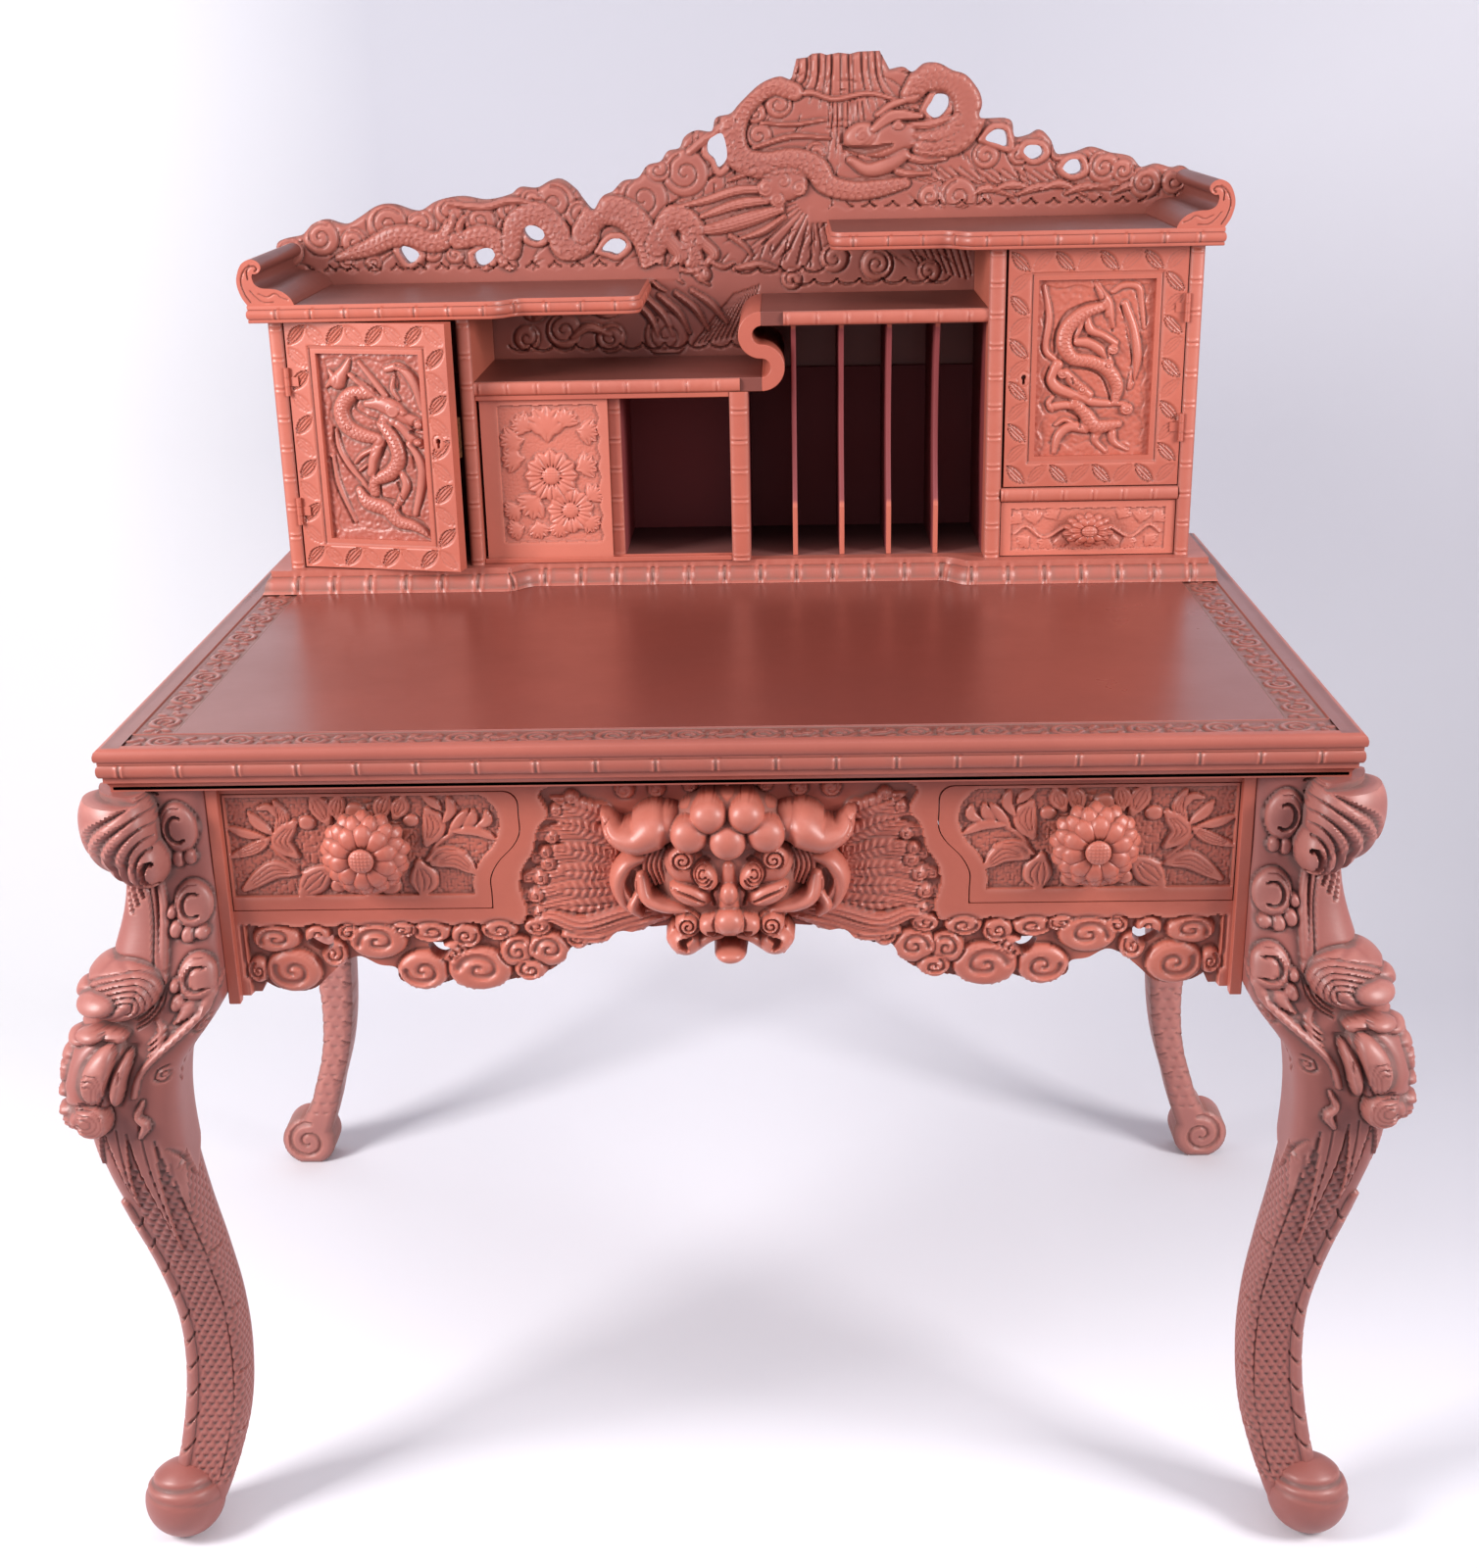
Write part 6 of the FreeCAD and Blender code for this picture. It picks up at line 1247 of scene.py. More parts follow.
for n in range(16):
    sky.groove([(170 + 11 * n, 1160 - 0.6 * n, 1.2, 1.6), (186 + 12 * n, 1147 - 1.0 * n, 1.4, 2.0),
                (206 + 12 * n, 1140 - 0.5 * n, 1.0, 1.2)])
chance = np.random.default_rng(12)
for n in range(520):
    x, z = chance.uniform(-470, 480), chance.uniform(1060, 1250)
    a = 0.5 * sin(x / 60.0) + (0.6 if x < 110 else -0.6) + chance.normal(0, 0.25)
    long = chance.uniform(6, 15)
    dx, dz = long * cos(a), long * sin(a)
    sky.groove([(x - dx, z - dz, 0.9, 0.8), (x, z + 1.5, 1.4, 2.0), (x + dx, z + dz, 0.9, 0.8)])
sky.groove([(-94, 1108, 1.9, 3.4), (-48, 1136, 1.9, 3.4), (0, 1166, 1.9, 3.4)])
sky.ridge([(56, 1227, 2.6, 3), (80, 1233, 3.0, 4), (105, 1226, 2.6, 3), (140, 1231, 2.6, 3), (170, 1224, 2, 2)], 0.0,
          edge=1.0)
for n in range(14):
    a = radians(190 + 11 * n)
    sky.groove([(84 + 20 * cos(a), 1130 + 20 * sin(a), 1.2, 1.6), (84 + 74 * cos(a), 1132 + 72 * sin(a), 1.9, 2.6)])
for n in range(10):
    sky.groove([(-2 + 3 * n, 1032 + n, 1.2, 1.8), (-46 + 6 * n, 980 + n, 1.8, 2.6)])
    sky.groove([(176 + 8 * n, 1092 - n, 1.3, 1.8), (196 + 7 * n, 1058 - 2 * n, 1.6, 2.4)])
for n in range(8):
    sky.ridge([(246 + 25 * n, 1128 + 5 * (n % 2), 2.0, 2.5), (266 + 25 * n, 1135 + 3 * (n % 2), 4.2, 3),
               (292 + 25 * n, 1126 + 6 * (n % 3), 1.4, 1.5)], 0.0, flutes=3.2, cut=0.6, edge=0.9)
for x, z, r, hand, start in CLOUD_LUMPS:
    sky.dome(x, z, r, r, 3.0, 0.0, square=2.4, edge=1.3)
    sky.groove(spiral(x, z, 0.80 * r, start, 1.5 if r > 16 else 1.1, hand, 1.9, 2.5), smooth=False)
for hole in HOLE_SHAPES:
    mid = np.mean(hole, axis=0)
    ring = [tuple(mid + 1.32 * (np.array(p) - mid)) + (3.6, 3.0) for p in hole + hole[:1]]
    sky.ridge(ring, 0.5, square=1.6, edge=0.8)
BODIES = [
    [(-420, 1077, 4, 3), (-388, 1086, 9, 4), (-362, 1097, 11, 4.5), (-340, 1098, 11, 4.5), (-322, 1091, 11, 4.5),
     (-306, 1094, 10, 4.5), (-298, 1108, 8, 3.5)],
    [(-292, 1092, 9, 4), (-264, 1097, 11, 4.5), (-247, 1086, 11, 4.5), (-240, 1064, 9, 4)],
    [(-236, 1080, 9, 4), (-230, 1108, 12, 4.5), (-206, 1118, 13, 5), (-188, 1102, 13, 5), (-178, 1082, 13, 5),
     (-158, 1088, 12, 5), (-150, 1106, 10, 4)],
    [(-160, 1098, 12, 4.5), (-140, 1119, 15, 5.5), (-114, 1116, 16, 6), (-96, 1096, 15, 6), (-88, 1070, 13, 5),
     (-94, 1048, 7, 3.5)],
    [(-82, 1084, 12, 5), (-64, 1112, 13, 5.5), (-44, 1100, 13, 5.5), (-46, 1074, 12, 5), (-34, 1052, 8, 4)],
    [(64, 1234, 9, 4), (42, 1241, 11, 5), (18, 1230, 13, 5.5), (3, 1210, 14, 6), (0, 1188, 14, 6), (8, 1170, 14, 6),
     (32, 1162, 14, 6), (64, 1165, 14, 6), (86, 1158, 13, 5.5), (98, 1142, 11, 5), (124, 1135, 10, 5),
     (152, 1137, 9, 4.5), (178, 1142, 6, 3)],
    [(184, 1230, 10, 4.5), (198, 1244, 14, 6), (222, 1246, 16, 6.5), (241, 1230, 17, 7), (244, 1206, 17, 7),
     (228, 1186, 17, 7), (200, 1180, 15, 6)],
]
for body in BODIES:
    sky.ridge(body, 0.0, scales=7.0, cut=1.5, square=2.0, edge=1.6)
    sky.ridge([(x, z, 1.6, h + 1.6) for x, z, w, h in body], 0.0)
HAIR = [
    [(180, 1198, 4, 5), (206, 1200, 5, 6), (232, 1208, 2, 3)],
    [(182, 1190, 4, 5), (208, 1188, 5, 6), (236, 1196, 2, 3)],
    [(178, 1182, 4, 5), (206, 1178, 4, 6), (228, 1180, 2, 3)],
    [(172, 1172, 4, 5), (196, 1164, 4, 5), (220, 1165, 2, 3)],
    [(160, 1164, 3, 4), (176, 1152, 4, 5), (204, 1151, 2, 3)], [(60, 1152, 3, 4), (30, 1158, 4, 5), (-4, 1148, 2, 3)],
    [(40, 1138, 4, 5), (5, 1138, 5, 6), (-30, 1128, 4, 5), (-62, 1122, 2, 3)],
    [(40, 1128, 4, 5), (4, 1124, 6, 6), (-34, 1112, 3, 4)],
    [(48, 1118, 5, 5), (14, 1108, 8, 6), (-18, 1100, 7, 5), (-46, 1098, 3, 3)],
    [(52, 1110, 3, 4), (30, 1096, 4, 5), (4, 1088, 2, 3)],
    [(-60, 1064, 3, 5), (-62, 1052, 2.4, 4), (-56, 1044, 1.4, 2)],
    [(-40, 1060, 3, 5), (-36, 1048, 2.4, 4), (-28, 1042, 1.4, 2)],
    [(-4, 1092, 3, 4), (10, 1082, 3, 4), (18, 1072, 1.5, 2)],
    [(-92, 1052, 3, 5), (-84, 1042, 2.4, 4), (-74, 1036, 1.4, 2)],
    [(-300, 1130, 3, 4), (-262, 1126, 4, 5), (-235, 1132, 4, 5), (-205, 1128, 2, 3)],
    [(-45, 1177, 4, 4), (-25, 1192, 5, 5), (-2, 1206, 5, 4)], [(22, 1180, 2.4, 4), (60, 1190, 3, 5), (100, 1188, 2, 3)],
    [(30, 1204, 2, 3), (62, 1202, 2.4, 4), (96, 1206, 2, 3)],
    [(-296, 1120, 3, 4), (-298, 1108, 4, 6), (-306, 1098, 2, 3)],
    [(-284, 1116, 3, 4), (-290, 1106, 4, 6), (-288, 1096, 2, 3)], [(0, 1058, 3, 3), (26, 1062, 4, 4), (48, 1056, 2, 2)],
    [(-72, 1092, 9, 6), (-58, 1074, 8, 6), (-66, 1060, 5, 5)],
    [(-66, 1060, 3, 5), (-84, 1054, 3, 4), (-92, 1044, 1.5, 2)],
    [(-62, 1060, 3, 5), (-46, 1056, 3, 4), (-34, 1060, 1.5, 2)],
    [(-34, 1086, 7, 5), (-22, 1074, 6, 5), (-30, 1064, 4, 4)],
    [(-26, 1066, 3, 4), (-12, 1060, 3, 4), (-2, 1064, 1.5, 2)],
    [(-214, 1012, 4, 5), (-190, 1022, 5, 5), (-168, 1016, 3, 3)],
    [(-160, 1024, 4, 4), (-138, 1014, 5, 5), (-118, 1020, 3, 3)],
    [(-176, 990, 3, 4), (-158, 1000, 5, 5), (-136, 992, 3, 3)],
    [(-108, 1026, 3, 4), (-92, 1010, 4, 5), (-84, 990, 2, 3)], [(-96, 1030, 3, 4), (-78, 1012, 4, 5), (-68, 990, 2, 3)],
    [(-82, 1032, 3, 4), (-62, 1014, 4, 5), (-50, 992, 2, 3)], [(-64, 1034, 3, 4), (-44, 1018, 4, 5), (-30, 996, 2, 3)],
    [(-46, 1036, 3, 4), (-26, 1022, 4, 5), (-10, 1002, 2, 3)],
]
for lock in HAIR:
    sky.ridge(lock, 0.0, flutes=3.4, cut=0.5, edge=1.0)
sky.dome(160, 1186, 32, 19, 7, 0.0, 6, square=1.6, edge=1.4)
sky.dome(132, 1190, 18, 13, 7.5, 0.0, 20, square=1.5, edge=1.4)
sky.scroll(134, 1190, 8, 3, 5.0, 90, 1.4, 1)
sky.ridge([(146, 1196, 4, 3), (166, 1209, 6, 4), (194, 1208, 3, 3)], 4.5, edge=1.2)
sky.dome(171, 1199, 6, 5, 3.5, 5.5, edge=0.9)
sky.groove([(116, 1178, 3.0, 6), (140, 1175, 5.0, 10), (164, 1180, 2.6, 5)])
sky.ridge([(122, 1166, 4, 5), (140, 1156, 7, 6.5), (160, 1160, 8, 7), (178, 1170, 6, 6)], 0.0, edge=1.4)
sky.ridge([(150, 1210, 3, 4), (166, 1220, 4, 5), (190, 1226, 2, 3)], 0.0, edge=1.0)
sky.dome(52, 1142, 26, 17, 6, 0.0, 10, square=1.6, edge=1.4)
for x, z, r, hand in ((34, 1140, 9, 1), (52, 1146, 9, -1), (68, 1139, 8, 1), (46, 1128, 8, -1)):
    sky.scroll(x, z, r, 3.0, 3.5, 60, 1.4, hand)
SCALLOP = 24
EDGE_LINES = [(-455, -105, 1066.0), (118, 440, 1121.0), (-245, 20, 979.0), (0, 112, 1056.0), (60, 240, 1043.0)]
for x0, x1, z in EDGE_LINES:
    for n in range(int((x1 - x0) / SCALLOP)):
        x = x0 + SCALLOP * n
        sky.groove([(x, z + 3, 1.2, 3), (x + 4, z - 1, 1.4, 3.5), (x + 12, z - 3, 1.5, 4), (x + 20, z - 1, 1.4, 3.5),
                    (x + SCALLOP, z + 3, 1.2, 3)])
for x0, x1, z in EDGE_LINES[:2]:
    wavy = z - 3 - 2.5 * np.cos(2 * np.pi * (sky.X - x0) / SCALLOP)
    sky.H[(sky.X > x0 - 40) & (sky.X < x1 + 46) & (sky.Z < wavy) & (sky.Z > z - 18)] = 0.5
behind_shelves = (sky.Z < 972) | ((sky.X > 20) & (sky.X < 262) & (sky.Z < 1022))
behind_doors = ((sky.X < -262) & (sky.Z < 1046)) | ((sky.X > 250) & (sky.Z < 1103))
sky.H[behind_shelves | behind_doors] = 0.0
win, away, *_ = sky.near(np.vstack([gallery_line, gallery_line[:1]]), 8)
sky.H[win] -= 4.0 * np.clip(1 - away / 6.0, 0, 1) ** 2 * (sky.Z[win] > 1060)
DEEPEST, PROUDEST = -7.0, 7.5
sky.H = np.clip(sky.H, DEEPEST, PROUDEST)
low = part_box("gallery_board")[0]
gallery_mesh = carved_board(sky, GALLERY_FRONT + PROUDEST, GALLERY_BACK, gallery_line, gallery_holes)
for vert in gallery_mesh.verts:
    vert.co.y = max(vert.co.y, low[1])
set_piece(gallery_mesh, "gallery_carved", gallery_lacquer, ["gallery_board"])

# %% [markdown]
# ## The cabinet doors
# Each door is a frame with chip carving and a panel with a dragon in low relief. The chips are made with two slanting
# cuts that meet in a valley: veined leaves that lean one way and the other in turn. The panels are sunk
# behind the frame, and the outline of the dragon is undercut, so a dark line follows it.

# %% Chip carving
def leaf_chips(relief, x, z, lean, depth):
    """A lens with veins that run together at both of its tips."""
    win = relief.window(x - 12, x + 12, z - 12, z + 12)
    c, s = cos(radians(lean)), sin(radians(lean))
    dx, dz = relief.X[win] - x, relief.Z[win] - z
    room = 6.6 * np.clip(1 - ((dx * c + dz * s) / 14.0) ** 2, 0, 1)
    across = (dz * c - dx * s) / np.maximum(room, 0.01)
    cuts = depth * (0.3 + 2.0 * ((2.0 * across) % 1.0))
    relief.H[win] -= np.where(np.abs(across) < 1, cuts * np.clip(room / 1.2, 0, 1), 0)


def door_frame(x0, x1, z0, z1, width, lean, key):
    """A relief of a frame: chips round it, a moulded inner edge and a keyhole."""
    board = Relief(x0, x1, z0, z1, 1.0)
    mid, chips = width * 0.40, ((lean, 1.0), (180 - lean, 0.4))
    rows = int(round((z1 - z0 - width) / CHIP_PITCH))
    for n in range(rows + 1):
        z = z0 + mid + (z1 - z0 - 2 * mid) * n / rows
        for k, x in enumerate((x0 + mid, x1 - mid)):
            leaf_chips(board, x, z, *chips[(n + k) % 2])
    columns = int(round((x1 - x0 - width) / CHIP_PITCH))
    for n in range(1, columns):
        x = x0 + mid + (x1 - x0 - 2 * mid) * n / columns
        for k, z in enumerate((z0 + mid, z1 - mid)):
            leaf_chips(board, x, z, *chips[(n + k * (rows % 2)) % 2])
    inside = np.maximum(np.maximum(x0 + width - board.X, board.X - x1 + width),
                        np.maximum(z0 + width - board.Z, board.Z - z1 + width))
    board.H -= np.where(inside < 6, 1.4, 0) + 1.6 * np.exp(-((inside - 6.5) / 0.9) ** 2)
    plate = np.hypot((board.X - key[0]) / 6.5, (board.Z - key[1]) / 8.5)
    board.H = np.where(plate < 1, np.minimum(0.0, -0.4 - 0.5 * (plate > 0.8)), board.H)
    bow_of_key = np.hypot(board.X - key[0], board.Z - key[1] - 1.5) < 2.3
    slit = (np.abs(board.X - key[0]) < 1.2) & (board.Z < key[1] + 1) & (board.Z > key[1] - 5)
    board.H[bow_of_key | slit] = -9.0
    outer, inner = ([(x0 + w, z0 + w), (x1 - w, z0 + w), (x1 - w, z1 - w), (x0 + w, z1 - w)] for w in (0.0, width))
    return carved_board(board, DOOR_FRONT, DOOR_BACK, outer, [inner])


DOOR_FRONT, DOOR_BACK, PANEL_FRONT, PANEL_BACK = 185.0, 203.0, 191.5, 200.0
FRAME_WIDTH, CHIP_PITCH = 30.0, 21.0
right_frame = door_frame(270.5, 445.0, 855.5, 1088.5, FRAME_WIDTH, 135, (288, 963))
left_frame = door_frame(-445.0, -276.5, 784.5, 1031.5, FRAME_WIDTH, 45, (-291, 915))
HINGE, AJAR = Vector((-445.5, 182.0, 0.0)), -12.0


def ajar(mesh):
    """The left door stands twelve degrees open."""
    bmesh.ops.rotate(mesh, cent=HINGE * MM, matrix=Matrix.Rotation(radians(AJAR), 3, "Z"), verts=mesh.verts)
    return mesh


set_piece(right_frame, "right_door_frame_carved", red_lacquer, ["right_door_frame"], "right_door")
set_piece(ajar(left_frame), "left_door_frame_carved", red_lacquer, ["left_door_frame"], "left_door")

# %% [markdown]
# The dragons are low ridges with a soft crown. The undercut is a groove that runs along one side of a ridge.

# %% Dragon panels
def panel_map(x0, x1, z0, z1, cloud_seed):
    """A panel with wavy cloud banks near its edges."""
    board = Relief(x0, x1, z0, z1, 0.9)
    chance = np.random.default_rng(cloud_seed)
    edge = np.minimum(np.minimum(board.X - x0, x1 - board.X), np.minimum(board.Z - z0, z1 - board.Z))
    wave = 9 + 2.6 * np.sin(board.Z / 4.3) + 2.2 * np.sin(board.X / 5.1 + 1.0)
    board.H += 1.0 * np.clip((wave - edge) / 1.6, 0, 1)
    board.H += eased(chance.normal(0, 0.8, board.X.shape), 1)
    return board


def strokes(board, bodies, limbs, undercuts):
    """Scaled bodies over smooth limbs, then the undercut lines."""
    for points in limbs:
        board.ridge([(x, z, 0.9 * w, h) for x, z, w, h in points], -0.3, square=1.1, edge=0.5)
    for points in bodies:
        board.ridge([(x, z, 0.85 * w, h) for x, z, w, h in points], -0.3, scales=4.6, cut=0.9, square=1.1, edge=0.6)
    for points in undercuts:
        board.groove([(x, z, 1.9, 2.4) for x, z in points])


right_panel = panel_map(300.5, 415.0, 885.5, 1058.5, 3)
strokes(right_panel, [
    [(364, 1032, 6, 4), (346, 1026, 8, 6), (331, 1012, 9, 6.5), (328, 996, 9, 6.5), (337, 982, 8, 6), (356, 978, 8, 6),
     (372, 970, 8, 6), (382, 954, 7, 5), (380, 938, 4, 3)],
    [(340, 938, 6, 5), (352, 926, 8, 6), (362, 914, 9, 6), (384, 916, 5, 4)],
], [
    [(356, 1057, 2, 3), (362, 1046, 4, 5), (369, 1034, 6, 5), (374, 1012, 3, 3)],
    [(346, 1024, 4, 5), (342, 1012, 4, 5), (338, 1002, 3, 4)],
    [(348, 1024, 4, 4), (353, 1010, 5, 5), (366, 1004, 4, 5), (378, 996, 4, 4)],
    [(340, 998, 5, 5), (354, 996, 6, 5), (366, 988, 6, 5), (374, 976, 4, 4)],
    [(386, 1034, 4, 3), (395, 1008, 6, 4), (400, 980, 5, 4), (394, 952, 3, 2)],
    [(322, 976, 6, 5), (316, 962, 6, 5), (325, 951, 7, 6), (344, 944, 7, 6), (360, 938, 5, 4), (390, 936, 3, 3)],
    [(330, 968, 5, 5), (341, 956, 6, 6), (354, 946, 5, 5)], [(346, 934, 6, 5), (332, 936, 5, 5), (317, 934, 5, 4)],
    [(318, 944, 2, 3), (314, 938, 3, 4), (318, 930, 2, 3)],
    [(352, 912, 6, 5), (336, 914, 6, 5), (325, 905, 5, 5), (321, 889, 3, 4)],
    [(340, 918, 2, 3), (330, 921, 3, 4), (322, 916, 2, 3)],
    [(366, 912, 6, 5), (362, 900, 4, 4), (372, 889, 3, 3)], [(378, 910, 5, 4), (381, 898, 4, 4), (394, 890, 2, 3)],
    [(306, 1052, 3, 2), (312, 1022, 4, 3), (309, 992, 4, 3), (320, 980, 3, 2)],
    [(374, 1046, 3, 3), (384, 1052, 4, 3), (398, 1050, 4, 3), (402, 1036, 3, 2), (406, 1010, 2, 2)],
], [
    [(357, 1055), (365, 1039), (346, 1034), (328, 1025), (319, 1006), (319, 988)],
    [(383, 1031), (392, 1008), (396, 982), (397, 958)],
    [(314, 972), (311, 960), (318, 949), (334, 942)], [(334, 973), (356, 970), (368, 961), (376, 940)],
    [(352, 1003), (366, 994), (371, 982)],
    [(334, 930), (345, 924), (346, 914)], [(370, 1020), (375, 1008)], [(336, 962), (338, 958)],
])
for x, z, r in ((376, 990, 5), (372, 974, 5), (392, 931, 6), (327, 967, 5), (347, 951, 5)):
    right_panel.scroll(x, z, r, 3, 3.0, 60, 1.2, 1)
right_panel.dome(341, 958, 2.6, 2.4, 3, 5)
left_panel = panel_map(-415.0, -306.5, 814.5, 1001.5, 5)
strokes(left_panel, [
    [(-352, 932, 7, 5), (-341, 916, 9, 6.5), (-337, 898, 9, 6.5), (-346, 883, 9, 6), (-364, 874, 7, 5),
     (-366, 862, 6, 4)],
    [(-362, 962, 7, 5), (-382, 961, 9, 6), (-394, 946, 10, 6.5), (-390, 930, 10, 6.5), (-376, 921, 9, 6),
     (-358, 917, 7, 5)],
    [(-382, 864, 5, 4), (-374, 852, 9, 5.5), (-354, 845, 9, 6), (-342, 833, 8, 5.5), (-324, 828, 6, 5),
     (-306, 817, 3, 3)],
], [
    [(-381, 996, 2, 3), (-388, 984, 6, 5), (-396, 974, 10, 6.5)],
    [(-404, 984, 2, 3), (-400, 976, 5, 5), (-408, 968, 2, 3)],
    [(-371, 992, 3, 4), (-358, 976, 3.5, 5), (-346, 960, 4, 5)],
    [(-382, 980, 3, 4), (-367, 968, 4.5, 5), (-352, 956, 4, 5)],
    [(-343, 986, 4, 3), (-328, 988, 5, 4), (-314, 972, 6, 5), (-308, 948, 4, 4)],
    [(-336, 978, 2, 3), (-338, 966, 3, 4), (-332, 956, 2, 3)],
    [(-354, 916, 7, 5.5), (-362, 900, 7, 5.5), (-367, 882, 6, 5)],
    [(-384, 892, 2, 3), (-376, 900, 3, 4), (-364, 906, 3, 4)], [(-372, 890, 2, 3), (-380, 884, 2, 3)],
    [(-324, 912, 5, 5), (-313, 892, 6, 5.5), (-314, 872, 6, 5), (-323, 842, 4, 4)],
    [(-336, 884, 4, 4), (-331, 870, 5, 5), (-341, 852, 4, 4), (-349, 842, 3, 3)],
    [(-402, 924, 3, 3), (-398, 902, 4, 4), (-384, 880, 4, 4), (-368, 862, 3, 3)],
    [(-408, 898, 3, 3), (-404, 868, 4, 3), (-390, 832, 3, 2)],
    [(-366, 952, 5, 4), (-352, 952, 9, 6), (-338, 946, 11, 7), (-326, 938, 8, 6), (-312, 934, 6, 5)],
    [(-350, 938, 5, 4), (-332, 930, 6, 5), (-322, 918, 6, 5), (-312, 912, 5, 5)],
    [(-346, 926, 3, 3), (-334, 940, 3, 4), (-320, 926, 2, 3)],
], [
    [(-376, 978), (-362, 966), (-352, 958)], [(-376, 958), (-379, 947), (-368, 939), (-352, 934)],
    [(-334, 984), (-331, 974), (-332, 966)], [(-332, 990), (-312, 982), (-303, 956)],
    [(-404, 926), (-404, 908), (-393, 886), (-380, 872)], [(-410, 896), (-407, 868), (-392, 830)],
    [(-352, 908), (-360, 892), (-362, 880)], [(-330, 912), (-322, 902), (-321, 888)],
    [(-360, 868), (-358, 857), (-342, 853), (-338, 840), (-318, 833), (-306, 818)], [(-340, 872), (-336, 856)],
    [(-308, 928), (-322, 924), (-308, 920)],
])
left_panel.scroll(-338, 946, 7, 4, 5, 60, 1.4, 1)
left_panel.scroll(-387, 928, 5, 3, 4, 60, 1.2, -1)
left_panel.dome(-327, 944, 3, 3, 3, 5)
left_panel.dome(-312, 932, 5, 5, 4, 4, edge=1.5)
left_panel.dome(-314, 914, 5, 4, 4, 3, edge=1.5)
for board in (right_panel, left_panel):
    board.H = np.clip(board.H, -3.5, 7.4)
right_mesh, left_mesh = (carved_board(board, PANEL_FRONT + 1.5, PANEL_BACK) for board in (right_panel, left_panel))
set_piece(right_mesh, "right_dragon_panel", red_lacquer, ["right_door_panel"], "right_door")
set_piece(ajar(left_mesh), "left_dragon_panel", edge_lacquer, ["left_door_panel"], "left_door")

# %% [markdown]
# ## The sliding panel and the small drawer
# The panel that covers the left pigeonhole runs in two tracks. Its chrysanthemums and fan-shaped leaves are barely
# raised from a punched ground. The small drawer has the same vine round an oval flower pull.

# %% Flower panel
blossom = Relief(-257.0, -128.0, 785.3, 951.8, 0.9)
waves = np.abs(np.sin(blossom.X * np.pi / 20))
bed = (blossom.X > -239) & (blossom.X < -138 + 1.2 * np.sin(blossom.Z / 3.2))
bed &= (blossom.Z < 943 + 1.6 * waves) & (blossom.Z > 804 - 1.4 * waves)
blossom.H[bed] = -2.6
blossom.pebbles(0.5, 2.4, -2.0, 21)


def fan_leaf(relief, x, z, r, turn, height, lift, lobes=5):
    """A leaf of several lobes that spread from its stalk."""
    stalk = (x - 0.5 * r * cos(radians(turn)), z - 0.5 * r * sin(radians(turn)))
    for k in range(lobes):
        a = radians(turn + (k - (lobes - 1) / 2) * 150 / lobes)
        relief.leaf([stalk, (x + 0.15 * r * cos(a), z + 0.15 * r * sin(a)), (x + r * cos(a), z + r * sin(a))],
                    0.36 * r, height, lift, blunt=1.3)


for x, z, r, turn in ((-190, 918, 26, 90), (-222, 908, 18, 190), (-153, 917, 16, -10), (-222, 890, 17, 180),
                      (-156, 880, 16, 20), (-206, 846, 20, 230), (-226, 838, 14, 210), (-224, 818, 13, 200),
                      (-204, 820, 14, 280), (-172, 926, 15, 60), (-212, 922, 16, 150), (-148, 850, 14, 40),
                      (-182, 820, 13, 260), (-152, 824, 13, 320)):
    fan_leaf(blossom, x, z, r, turn, 3.4, -2.6)
blossom.flower(-170, 836, 8, 24, 11, 3.6, -2.4, 12)
blossom.flower(-188, 872, 9, 27, 12, 4.2, -2.2, 0)
blossom.H = np.clip(blossom.H, -4.0, 2.4)
blossom.H[~bed] = 0.0
FLOWER_FRONT, FLOWER_BACK = 194.6, 200.0
set_piece(carved_board(blossom, FLOWER_FRONT, FLOWER_BACK), "flower_panel_carved", pale_lacquer, ["sliding_panel"],
          "flower_panel")

# %% Small drawer
vine = Relief(269.0, 445.0, 784.0, 839.0, 0.9)
waves = 1.3 * np.abs(np.sin(vine.X * np.pi / 13))
bed = (vine.X > 279) & (vine.X < 436) & (vine.Z > 790.5 - waves) & (vine.Z < 831 + waves)
vine.H[bed] = -1.7
vine.pebbles(0.4, 2.4, -1.2, 31)
VINE_MIDDLE = 357
for side in (-1, 1):
    vine.ridge([(VINE_MIDDLE + x, *rest) for x, *rest in on(
        side, (24, 812, 1.5, 3), (44, 802, 1.5, 3), (62, 814, 1.5, 3), (74, 806, 1.2, 2))], -1.7)
    for dx, z, r, turn in ((34, 824, 11, 60), (40, 798, 11, -60), (54, 820, 11, 80), (62, 800, 10, -40),
                           (70, 820, 10, 40), (26, 800, 9, -90)):
        fan_leaf(vine, VINE_MIDDLE + side * dx, z, r, turn if side > 0 else 180 - turn, 2.0, -1.7, 4)
vine.H = np.clip(vine.H, -2.4, 0.9)
vine.H[~bed] = 0.0
SMALL_FRONT, SMALL_BACK = 187.0, 201.0
set_piece(carved_board(vine, SMALL_FRONT, SMALL_BACK), "small_drawer_front_carved", pale_lacquer,
          ["small_drawer_front"], "small_drawer")
flower_pull("small_drawer_flower_pull", "small_drawer", "small_drawer_knob", (VINE_MIDDLE, SMALL_FRONT - 0.5, 811.5),
            [(14, 6, 18, 3.6, 9, 3.4, 0), (11, 4, 14, 3.6, 13, 3.0, 10)], (5.5, 3.0, 15.5),
            [(0.01, 0), (8, 0), (7, 5), (12, 9), (12, 11), (0.01, 13)], 1.45)

# %% [markdown]
# ## Bamboo mouldings
# Nearly every edge is carved like a bamboo cane: a half round with a pair of thin rings at each joint. A strip is a
# profile carried along the line of the edge, with a map for the joints. At a corner the strip is mitred, because each
# point of the profile is set in from the edge by its own amount.

